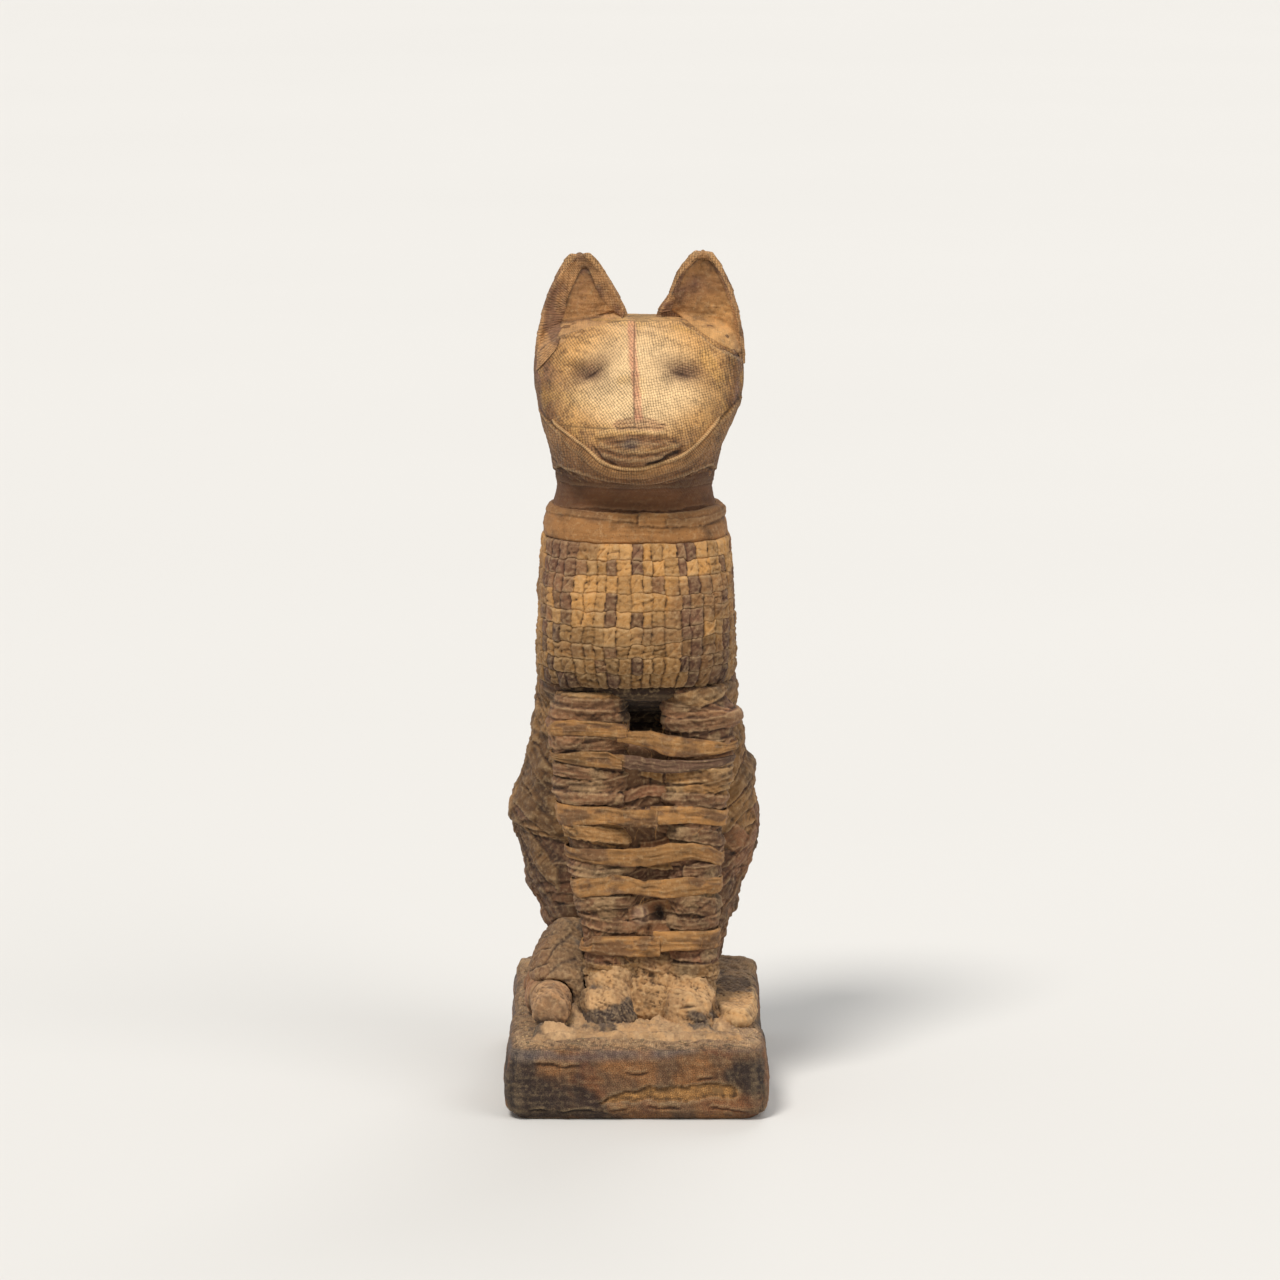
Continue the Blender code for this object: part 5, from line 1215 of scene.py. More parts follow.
def make_lower_body(tones, sizes):
    """Haunches and back: one cloth over all three, cut into its pieces."""
    names = ["lower_body_wrap", "left_haunch_wrap", "right_haunch_wrap"]
    form = RoundForm(names, 0.0335, 0.1755, (0.0, 0.018), 4, turns=180)
    cell = sizes.cell * 1.3
    turns = turned(form, 0.105, cell, coarse=((-0.75, 0.75, 0.4),))
    # The cloth under the strips is darker, as painted shade in the gaps between them.
    cloth = wrapped(form, 0.0345, 0.1765, cell, tones.wrap * 0.8, -0.0008, turns=turns)
    tints = leg_tints(tones)
    random_strips(cloth, 17, 0.04, 0.18, tints, sizes.strip * 1.1, 900, 0.1,
        (0.01, 0.016), sizes.crease, 0.16)
    chance = np.random.RandomState(5)
    for side in (-1, 1):
        for index in range(11):
            start = 0.05 + 0.01 * index
            lean = (0.55 if index % 2 else -0.7) * chance.uniform(0.6, 1.2)
            centre = side * (0.062 + chance.uniform(-0.012, 0.012))
            line = [(centre + run * 0.05, start + lean * run * 0.05 + 0.008 * math.cos(2.2 * run))
                for run in np.linspace(-1, 1, 11)]
            tint = np.array(tints[chance.randint(len(tints))]) * chance.uniform(0.8, 1.25)
            cloth.lay(line, chance.uniform(0.006, 0.01), sizes.strip, tint, 940 + index + 20 * side,
                      sorted((centre - 0.042, centre + 0.042)), crease=sizes.crease * 1.2)
        for index in range(6):
            high = 0.12 + 0.009 * index
            line = [(side * 0.02, high - 0.016), (side * 0.05, high), (side * 0.1, high + 0.012)]
            cloth.lay(line, 0.0078, sizes.strip, tones.band * chance.uniform(0.55, 0.8),
                990 + index + 20 * side,
                      sorted((side * 0.024, side * 0.09)), crease=sizes.crease * 1.2)
    cloth.wrinkle(0.0004, 932)
    cloth.crumple(0.0006, 0.007, 930)
    cloth.rise += 0.003 * ease((0.0235 - np.abs(cloth.along)) / 0.005) * ease((0.16 - cloth.up) / 0.012)
    # Painted shade: the recess under the chest, between the legs, is darkened almost to black.
    belly = ease((0.024 - np.abs(cloth.along)) / 0.004) * ease((cloth.up - 0.15) / 0.006)
    dark = ease((cloth.noise(0.025, 0.02, 931, 3) - 0.44) / 0.18)
    cloth.tint = mix(mix(cloth.tint, tones.wrap * 0.45, 0.55 * dark), shade(40, 26, 16), 0.9 * belly)
    cloth.join_ends()
    places = cloth.places(0.0, 0.006, 5)
    run = cloth.along[0]
    borders = [int(np.searchsorted(run, value)) for value in (-0.118, -0.026, 0.026, 0.118)]
    left, inner_left, inner_right, right = borders
    pieces = (
        ("left_haunch_linen", slice(left, inner_left + 1), "left_haunch_wrap"),
        ("right_haunch_linen", slice(inner_right, right + 1), "right_haunch_wrap"),
    )
    for name, columns, replaced in pieces:
        cloth.finish(name, places, "linen_brown", "strip_linen", [replaced], columns=columns)
    rolled = np.concatenate([np.arange(right, places.shape[1] - 1), np.arange(0, left + 1)])
    cloth.finish("back_linen", places, "linen_brown", "strip_linen", ["lower_body_wrap"], columns=rolled)
    belly = slice(inner_left, inner_right + 1)
    cloth.finish("belly_linen", places, "linen_brown", "strip_linen", columns=belly)


# Axis that the wraps of the head turn round
HEAD_MIDDLE = (0.001, -0.018)
# Rolled edge of the cloth under the chin, across and up
SLING_LINE = (
    (-0.044, 0.295), (-0.0385, 0.288), (-0.0347, 0.2854), (-0.0286, 0.2813), (-0.0195, 0.2756),
    (-0.015, 0.2715), (-0.0104, 0.2693), (-0.0051, 0.2686), (0.0017, 0.2687), (0.0085,
        0.2701), (0.0146, 0.2719),
    (0.0191, 0.2732), (0.0237, 0.2761), (0.0282, 0.2803), (0.0328, 0.2854), (0.0388, 0.2912), (0.044, 0.296),
)
# Each sunk eye: across, up, and the slope of its lid
EYES = ((-0.0184, 0.3052, 0.6), (0.019, 0.3054, -0.3))
# Folds over the nose and at the muzzle: depth or height, width, and the line that each follows
NOSE_FOLDS = (
    (0.0006, 0.00045, ((-0.0085, 0.287), (-0.003, 0.2882), (0.004, 0.2884), (0.009, 0.2872))),
    (0.0007, 0.00045, ((-0.0095, 0.2858), (-0.002, 0.2868), (0.005, 0.2868), (0.012, 0.2856))),
    (0.0008, 0.0005, ((-0.008, 0.2846), (0.0, 0.2853), (0.006, 0.2852), (0.0105, 0.2846))),
)
MUZZLE_CRESTS = (
    (0.0012, 0.0007, ((-0.016, 0.2818), (-0.011, 0.2832), (-0.003, 0.2838),
        (0.006, 0.2834), (0.011, 0.2826))),
    (0.0008, 0.0008, ((-0.015, 0.2785), (-0.009, 0.277), (-0.001, 0.2761),
        (0.008, 0.2762), (0.017, 0.2778))),
    (0.0007, 0.001, ((-0.013, 0.2745), (-0.005, 0.2732), (0.004, 0.2732), (0.012, 0.2748))),
)
MUZZLE_GROOVES = (
    (0.0012, 0.0009, ((-0.015, 0.2806), (-0.008, 0.2802), (0.0, 0.2806), (0.008, 0.2806), (0.0165, 0.2796))),
    (0.0009, 0.0006, ((-0.0155, 0.2764), (-0.007, 0.2748), (0.002, 0.2746),
        (0.011, 0.2756), (0.02, 0.2772))),
    (0.0016, 0.0006, ((-0.0175, 0.2772), (-0.013, 0.2726), (-0.008, 0.2706))),
    (0.0032, 0.0008, ((0.004, 0.2706), (0.009, 0.2716), (0.014, 0.2738), (0.018, 0.2752))),
)


def stroke(x, z, line, width):
    """How near each point lies to a drawn line, from 0 to 1, fading at the line's ends."""
    line, fade = np.array(line), 0.003
    near = hump(z - np.interp(x, line[:, 0], line[:, 1]), width)
    return near * ease((x - line[0, 0]) / fade + 0.5) * ease((line[-1, 0] - x) / fade + 0.5)


def face_relief(clay, front):
    """Eye hollows, the folds over the nose and the drawn-in muzzle, as a push along the normals."""
    x, y, z = clay.spots.T
    uneven = 0.55 + 0.9 * clay.grain(0.0045, 5, 2)
    z_bent = z + 0.0016 * (clay.grain(0.0045, 7, 2) - 0.5)
    push = 0.0008 + 0.0008 * (clay.grain(0.011, 3, 2) - 0.5)
    for eye_x, eye_z, slope in EYES:
        along = x - eye_x
        lid = z - eye_z - slope * along
        push -= front * 0.0015 * hump(along, 0.0078) * hump(z - eye_z, 0.005)
        push += front * 0.0008 * hump(along, 0.011) * hump(z - eye_z - 0.008, 0.004)
        push += front * 0.0008 * hump(along, 0.009) * hump(z - eye_z + 0.0075, 0.0045)
        push -= front * 0.0004 * hump(along, 0.0034) * hump(lid, 0.0007)
        pulled = np.cos(lid / 0.00105 * math.tau + 2 * clay.grain(0.004, 9)) * hump(along, 0.01)
        push += front * 0.00011 * pulled * hump(lid - 0.0022, 0.0042)
    push += front * 0.0013 * hump(x - 0.001, 0.0062) * ease((z - 0.284) / 0.01) * ease((0.324 - z) / 0.02)
    for depth, width, line in NOSE_FOLDS:
        push -= front * 0.6 * depth * uneven * stroke(x, z_bent, line, width)
    for height, width, line in MUZZLE_CRESTS:
        push += front * 0.55 * height * uneven * stroke(x, z_bent, line, width * 1.3)
    for depth, width, line in MUZZLE_GROOVES:
        push -= front * 0.42 * depth * uneven * stroke(x, z_bent, line, width * (0.8 + 0.6 * uneven))
    folds = ridges(mottle(x / 0.0075, (z + 0.12 * np.abs(x)) / 0.0013, 61, 2))
    push += front * 0.0006 * (folds - 0.5) * hump(z - 0.277, 0.007) * ease((0.02 - np.abs(x)) / 0.008)
    push -= front * 0.0005 * hump(x + 0.0155, 0.001) * hump(z - 0.2795, 0.003)
    return push


def face_tints(clay, tones, front):
    """Pale at the middle, brown and violet towards the edges, with the eyes, the nose and the red line."""
    x, y, z = clay.spots.T
    face = tones.face
    above = z - 0.3
    away = np.sqrt(((x - 0.001) / 0.043) ** 2 + (above / np.where(above > 0, 0.046, 0.033)) ** 2)
    shadow = (
        ease((away - 0.62) / 0.45) * 0.95
        + ease((y + 0.045) / 0.03) * ease((np.abs(x) - 0.012) / 0.012) * 0.4
    )
    shadow += 0.7 * (clay.grain(0.007, 81, 3) - 0.5)
    tint = mix(face + 0 * clay.tint, shade(212, 160, 98), ease((away - 0.3) / 0.4))
    tint = mix(tint, shade(128, 86, 50), ease(shadow))
    violet = ease((clay.grain(0.01, 85, 2) - 0.58) / 0.2) * (0.05 + 0.5 * ease((away - 0.6) / 0.4))
    tint = mix(tint, shade(138, 96, 80), violet)
    yellow = ease((clay.grain(0.007, 88, 2) - 0.58) / 0.2) * 0.3
    tint = mix(tint, shade(230, 176, 92), yellow)
    pores = ease((clay.grain(0.0013, 92, 2) - 0.6) / 0.1) * ease((away - 0.25) / 0.6)
    tint = mix(tint, shade(96, 64, 38), 0.6 * pores)
    for eye_x, eye_z, slope in EYES:
        along = x - eye_x
        lid = z - eye_z - slope * along
        # Painted shade in each eye hollow under the brow: a soft smudge and a darker core.
        soft = 0.65 * hump(along, 0.0066) * hump(z - eye_z, 0.0036) + 0.34 * hump(along,
            0.01) * hump(lid - 0.003, 0.004)
        core = 0.75 * hump(along, 0.0044) * hump(lid, 0.0017) * (0.6 + 0.8 * clay.grain(0.0018, 90, 2))
        tint = mix(tint, shade(112, 78, 62), front * np.clip(soft, 0, 0.8))
        tint = mix(tint, shade(72, 50, 46), front * np.clip(core, 0, 0.85))
        drawn = 0.5 + 0.5 * np.cos(lid / 0.00105 * math.tau + 2 * clay.grain(0.004, 9))
        drawn = drawn * hump(along, 0.01) * hump(lid - 0.0022, 0.0042)
        tint = mix(tint, shade(120, 82, 52), front * 0.55 * (1 - drawn) * hump(along, 0.01)
            * hump(lid - 0.0022, 0.0042))
        # Painted highlight: paler below each eye.
        pale = 0.55 * hump(along, 0.01) * hump(z - eye_z + 0.009, 0.005)
        tint = mix(tint, np.minimum(face * 1.08, 1.0), front * pale)
    muzzle = ease((1.15 - np.sqrt(((x - 0.0014) / 0.019) ** 2 + ((z - 0.276) / 0.0078) ** 2)) / 0.3)
    muzzle = muzzle * ease((0.2836 - z) / 0.0012)
    tint = mix(tint, shade(120, 80, 50), front * np.clip(0.95 * muzzle
        * (0.35 + clay.grain(0.003, 91, 2)), 0, 0.9))
    # Painted shade along the folds over the nose.
    folded = sum(stroke(x, z, line, width * 2.2) for _, width, line in NOSE_FOLDS)
    tint = mix(tint, shade(150, 94, 66), front * 0.5 * np.clip(folded, 0, 1))
    # Painted highlight on the raised crests of the muzzle.
    crest = sum(stroke(x, z, line, width) for _, width, line in MUZZLE_CRESTS[:2])
    tint = mix(tint, shade(212, 164, 100), front * 0.5 * np.clip(crest, 0, 1) * clay.grain(0.004, 94, 2))
    patch = hump(x + 0.0021, 0.0036) * hump(z - 0.279, 0.0018) * (0.6 + clay.grain(0.0016, 93, 2))
    tint = mix(tint, shade(64, 52, 54), front * np.clip(1.3 * patch, 0, 0.88))
    # Painted shade in the deepest grooves of the mouth.
    dark = stroke(x, z, MUZZLE_GROOVES[3][2], 0.0008) + 0.4 * stroke(x, z, MUZZLE_GROOVES[2][2], 0.0006)
    tint = mix(tint, shade(40, 26, 20), front * np.clip(0.9 * dark, 0, 0.9))
    wander = np.interp(z, (0.2895, 0.2975, 0.3067, 0.3167, 0.3297),
        (0.0009, 0.0003, -0.0006, -0.0016, -0.0021))
    painted = ease((0.002 - np.abs(x - wander) + 0.0008 * (clay.grain(0.002, 95, 2) - 0.5)) / 0.0008)
    painted *= (
        front * ease((z - 0.2872) / 0.002) * ease((0.331 - z) / 0.002)
        * (0.5 + 0.5 * clay.grain(0.0011, 97, 2))
    )
    return mix(tint, tones.paint, 0.85 * painted)


def sling_height(across):
    """Height of the rolled cloth edge under the chin, seen from the front."""
    line = np.array(SLING_LINE)
    fine = np.linspace(-0.046, 0.046, 240)
    heights = np.interp(fine, line[:, 0], line[:, 1])
    padded = np.pad(heights, 9, mode="edge")
    smooth = np.convolve(padded, np.hanning(19) / np.hanning(19).sum(), mode="valid")
    return np.interp(across, fine, smooth)


def make_head(tones, sizes):
    """The linen drawn over the face, with the folded cloth under the jaw and the wraps at the back."""
    clay = Clay("head_linen", fused(cad_copy(["head_cover", "head_packing"]), 0.00068, 10), tones.face)
    x, y, z = clay.spots.T
    front = ease((-clay.normals[:, 1] - 0.05) / 0.35)
    line = sling_height(x) + (0.2985 - sling_height(x)) * ease((y + 0.022) / 0.022)
    line += 0.0006 * (clay.grain(0.006, 12) - 0.5)
    jaw = ease((line - z) / 0.0011)
    behind = ease((y + 0.004) / 0.01)
    turn = np.arctan2(x - HEAD_MIDDLE[0], -(y - HEAD_MIDDLE[1]))
    push = face_relief(clay, front) - 0.0005 * behind - 0.0015 * ease((z - 0.3205) / 0.004)
    push += jaw * (0.0005 + 0.0004 * front)
    crease = mottle((x + y) / 0.016, (z - line) / 0.0022, 67, 3)
    push += jaw * 0.0007 * (ridges(crease) - 0.5)
    hem = 0.2632 + 0.0012 * (clay.grain(0.012, 21) - 0.5) + 0.0035 * ease(np.abs(x) / 0.03) * front
    push -= (0.0006 + 0.0012 * front) * ease((hem - z) / 0.0008)
    push += 0.0004 * front * hump(z - hem - 0.0006, 0.0007)
    winding = (z + 0.006 * np.sin(turn * 2 + 0.5) + 0.0012 * (clay.grain(0.02, 15) - 0.5)) / 0.0095
    push += behind * (0.0009 * (1 - (winding % 1.0)) ** 3 - 0.0002)
    for side, foot in ((-1, ((-0.044, 0.309), (-0.033, 0.3175), (-0.018, 0.3235), (-0.004, 0.3262))),
                       (1, ((0.0105, 0.3285), (0.016, 0.3262), (0.0222, 0.3222),
                           (0.0312, 0.3155), (0.044, 0.308)))):
        foot = np.array(foot)
        edge = z - np.interp(x, foot[:, 0], foot[:, 1]) + 0.0006 * (clay.grain(0.004, 17) - 0.5)
        near = ease((x * side - foot[:, 0].min() * (side > 0) + 0.001) / 0.004) * (x * side > 0) * front
        push += near * (0.0007 * ease(-edge / 0.0008) * hump(edge, 0.005) - 0.0014
            * ease(edge / 0.0009) * hump(edge, 0.01))
    push += 0.00016 * (clay.grain(0.0012, 33, 2) - 0.5)
    clay.push(push)
    tint = face_tints(clay, tones, front)
    # Darker toward the bottom: partly the neck linen's tone, partly painted shade under the chin.
    under = mix(tones.jaw + 0 * tint, tones.neck, ease((0.283 - z) / 0.02) * 0.8)
    tint = mix(tint, under * (0.7 + 0.6 * clay.grain(0.005, 99, 3))[:, None], jaw)
    back = mix(tones.wrap * 1.15 + 0 * tint, tones.light * 0.8, clay.grain(0.012, 101, 2))
    tint = mix(tint, back, behind * 0.75 * (1 - jaw))
    clay.tint = tint * (0.8 + 0.4 * clay.grain(0.002, 103, 2))[:, None]
    lean = np.where((x < -0.0008) & (z > 0.2845), 1.0, 0.25)
    thread = np.stack([x + lean * z * 0.75, z - lean * x * 0.75],
        -1) / np.sqrt(1 + (lean[:, None] * 0.75) ** 2)
    around = 0.04
    thread = mix(thread, np.stack([turn * around, z], -1), (front < 0.5).astype(float))
    clay.finish("linen_pale", "face_linen", ["head_cover"], thread, 0.00022, around * math.tau)


def laid_on(tree, flat, outward=1):
    """Lifts a grid of (across, height) places onto a piece, seen from the front or, with -1, the back."""
    spots = np.full(flat.shape[:2] + (3,), np.nan)
    for index in np.ndindex(flat.shape[:2]):
        hit = tree.ray_cast(Vector((flat[index][0], -0.5 * outward, flat[index][1])),
            Vector((0, outward, 0)), 1.0)[0]
        if hit:
            spots[index] = hit
    depth = RoundForm.filled(spots[..., 1])
    return np.stack([flat[..., 0], depth, flat[..., 1]], -1)


def make_sling(tones, sizes):
    """The rolled edge of the cloth drawn up under the chin, laid on the finished head."""
    across = np.linspace(-0.0366, 0.037, 230)
    height = sling_height(across)
    slope = np.gradient(height, across)
    lean = np.sqrt(1 + slope**2)
    row = np.linspace(-0.0062, 0.001, 20)[:, None] + 0 * across
    narrowing = 1 - 0.86 * ease((np.abs(across) - 0.024) / 0.01)
    place = np.where(row < 0, row * narrowing, row)
    flat = np.stack([across - slope / lean * place, height + place / lean], -1)
    spots = laid_on(piece_tree("head_linen"), flat)
    spots[..., 1] = soften(spots[..., 1], 3)
    cloth = Cloth(spots, tones.jaw * 1.1, 0.0003)
    cloth.rise = 0.0003 + 0.0008 * hump(place - 0.0001, 0.0008) + 0.0002 * ease(-place / 0.003)
    cloth.rise += 0.0005 * (mottle(cloth.along / 0.006, place / 0.002, 210, 2) - 0.5)
    cloth.rise -= 0.001 * ease((-row - 0.004) / 0.0018) + 0.0014 * ease((row - 0.0006) / 0.0004)
    ends = ease((np.abs(spots[..., 0]) - 0.0325) / 0.003)
    cloth.rise -= 0.0014 * ends
    # Painted highlight: the top of the rolled edge is paler, where it catches the light.
    gold = shade(206, 156, 98)
    cloth.tint = mix(tones.jaw * 1.05 + 0 * cloth.tint, gold, 0.8 * hump(place - 0.0001, 0.0007))
    cloth.tint *= (0.7 + 0.6 * mottle(cloth.along / 0.004, place / 0.001, 212, 2))[..., None]
    cloth.thread = np.stack([cloth.along, place], -1)
    cloth.finish("chin_sling_linen", cloth.places(), "linen_tan", "face_linen", ["chin_sling"])


# Each ear's edges from the foot to the tip, across and up: viewer's left edge, then right edge
EAR_EDGES = {
    "left": (
        ((-0.0414, 0.304), (-0.0404, 0.316), (-0.0382, 0.3275), (-0.0346, 0.3378),
            (-0.0303, 0.345), (-0.0256, 0.3494)),
        ((-0.0036, 0.32), (-0.005, 0.3285), (-0.0084, 0.335), (-0.0116, 0.3405),
            (-0.0156, 0.3458), (-0.0206, 0.3496)),
    ),
    "right": (
        ((0.008, 0.32), (0.0104, 0.329), (0.0146, 0.3345), (0.0172, 0.3415),
            (0.0212, 0.3468), (0.0258, 0.3504)),
        ((0.0436, 0.306), (0.0434, 0.316), (0.0418, 0.325), (0.0382, 0.337),
            (0.034, 0.345), (0.0298, 0.3502)),
    ),
}
# The same for the border of each ear's hollow
EAR_HOLLOWS = {
    "left": (
        ((-0.0325, 0.315), (-0.0306, 0.3225), (-0.0292, 0.329), (-0.0264, 0.3375), (-0.0226, 0.3452)),
        ((-0.0056, 0.3254), (-0.0098, 0.3283), (-0.014, 0.3326), (-0.017, 0.339), (-0.0196, 0.3452)),
    ),
    "right": (
        ((0.0145, 0.3284), (0.016, 0.333), (0.0176, 0.3378), (0.0204, 0.3446), (0.025, 0.3492)),
        ((0.0422, 0.3113), (0.0416, 0.32), (0.039, 0.331), (0.035, 0.341), (0.031, 0.3486)),
    ),
}


def edge_line(points, share):
    """Smooth place along an ear's edge, from its foot at 0 to its tip at 1."""
    points = np.array(points)
    fine = np.linspace(0, 1, 160)
    known = np.linspace(0, 1, len(points))
    line = np.stack([np.interp(fine, known, points[:, axis]) for axis in (0, 1)], -1)
    for _ in range(60):
        line[1:-1] = (line[:-2] + line[2:]) / 4 + line[1:-1] / 2
    return np.stack([np.interp(share, fine, line[:, axis]) for axis in (0, 1)], -1)


def ear_depth(side, across, up):
    """How far back the ear's front lies: cupped between its edges, flatter at the tip."""
    cup = (1 - (2 * across - 1) ** 2) * (1 - 0.55 * up)
    depth = 0.0046 if side == "left" else 0.0074
    return -0.0205 + depth * cup + 0.0015 * up


def ear_form(side, outer, inner):
    """A cupped sheet between the ear's edges, rounded at the tip and 3 mm thick."""
    rows, columns = 64, 56
    up, across = np.meshgrid(np.linspace(0, 1, rows), np.linspace(0, 1, columns), indexing="ij")
    left, right = edge_line(outer, up), edge_line(inner, up)
    flat = left + (right - left) * across[..., None]
    flat[..., 1] += 0.0018 * ease((up - 0.7) / 0.3) * (1 - (2 * across - 1) ** 2)
    spots = np.stack([flat[..., 0], ear_depth(side, across, up), flat[..., 1]], -1)
    bm = bmesh.new()
    bmesh.ops.create_grid(bm, x_segments=columns - 1, y_segments=rows - 1, size=0.5)
    for vert, spot in zip(bm.verts, spots.reshape(-1, 3)):
        vert.co = spot
    bmesh.ops.recalc_face_normals(bm, faces=bm.faces)
    if next(iter(bm.faces)).normal.y > 0:
        bmesh.ops.reverse_faces(bm, faces=bm.faces)
    bmesh.ops.solidify(bm, geom=bm.faces, thickness=0.0028)
    return fused(bm, 0.00048, 5)


def make_ears(tones, sizes):
    """Both ears: a cupped sheet, the lining in its hollow, and the cloth folded over its edge."""
    for side, (outer, inner) in EAR_EDGES.items():
        clay = Clay(f"{side}_ear_linen", ear_form(side, outer, inner), tones.light * 0.85)
        x, y, z = clay.spots.T
        front = ease((-clay.normals[:, 1] - 0.1) / 0.3)
        push = 0.0007 * (clay.grain(0.008, 141, 2) - 0.5) + 0.0002 * (clay.grain(0.0016, 143, 3) - 0.5)
        wraps = ((z + 0.3 * x) / 0.0085) % 1.0
        push += (1 - front) * 0.0003 * (1 - wraps) ** 3
        clay.push(push)
        gold, brown = shade(190, 142, 92), shade(118, 82, 60)
        clay.tint = mix(gold + 0 * clay.tint, brown, ease((clay.grain(0.009, 147, 3) - 0.35) / 0.4))
        clay.dim(0.85 + 0.3 * clay.grain(0.0018, 153, 2))
        clay.finish("linen_pale", "face_linen", [f"{side}_ear"], reach=0.0002)
        tree = piece_tree(f"{side}_ear_linen", "head_linen")
        make_ear_lining(side, tree)
        make_ear_rim(side, outer, inner, tree)


def make_ear_lining(side, tree):
    """The cloth in the ear's hollow, laid on the cupped sheet."""
    rows, columns = 84, 66
    up, across = np.meshgrid(np.linspace(0.0, 1.0, rows), np.linspace(0, 1, columns), indexing="ij")
    left, right = (edge_line(points, up) for points in EAR_HOLLOWS[side])
    flat = left + (right - left) * (across * 1.1 - 0.05)[..., None]
    arch = {"left": 0.0012, "right": -0.0008}[side]
    flat[..., 1] += arch * 4 * across * (1 - across) * (1 - up) ** 2
    spots = laid_on(tree, flat)
    spots[..., 1] = soften(spots[..., 1], 26)
    cloth = Cloth(spots, shade(176, 128, 80), 0.0003)
    x, z = flat[..., 0], flat[..., 1]
    folds = ridges(mottle(x / 0.012 + 0.6 * z / 0.012, z / 0.003, 160, 3))
    cloth.rise = (
        cloth.rise + 0.0006 * (folds - 0.5) + 0.0003 * (mottle(x / 0.0016, z / 0.0016, 161, 2) - 0.5)
    )
    cloud = mottle(x / 0.006, z / 0.006, 162, 3)
    fine = mottle(x / 0.0015, z / 0.0015, 163, 3)
    if side == "left":
        # Painted shade: the lining darkens toward the top of the hollow, with mottling.
        dark = 0.35 * ease((z - 0.33) / 0.014) + 0.5 * (cloud - 0.45) + 0.8 * ease((z - 0.3425) / 0.003)
        dark += 0.35 * ease((fine - 0.55) / 0.2)
        hem = z - np.interp(x, (-0.032, -0.018, -0.006), (0.3232, 0.3252, 0.329))
        cloth.rise += 0.0006 * ease(hem / 0.0006) - 0.0004
        cloth.paint(shade(206, 158, 104), 0.7 * ease(-hem / 0.001))
        # Painted shadow just below the hem's raised edge.
        cloth.paint(shade(78, 52, 38), 0.6 * hump(hem + 0.0003, 0.0005))
    else:
        cloth.paint(shade(214, 162, 100), 0.8 * ease((0.336 - z + 0.6 * (x - 0.028)) / 0.016))
        # Mottled and darker at the top left, with painted shade along the right edge.
        dark = (
            1.1 * ease((z - 0.3255 - 0.45 * (x - 0.016)) / 0.012)
            * ease((0.3395 - x * 0.2 - z + 0.012) / 0.01)
        )
        dark = dark * (0.35 + 0.9 * cloud) + 0.5 * ease((x - 0.0385) / 0.003) + 0.35 * (cloud - 0.5)
    cloth.paint(shade(108, 76, 62), np.clip(0.75 * dark, 0, 0.85))
    # Painted shade round the border of the hollow, where the lining meets the rim.
    border = np.minimum(across, 1 - across) * np.linalg.norm(right - left, axis=-1)
    cloth.paint(shade(60, 40, 30), 0.7 * (1 - ease(border / 0.0014)))
    cloth.dim(0.7 + 0.6 * fine)
    cloth.finish(f"{side}_ear_lining_linen", cloth.places(0.0005, 0.0005, 2), "linen_brown", "strip_linen",
        [f"{side}_ear_lining"])


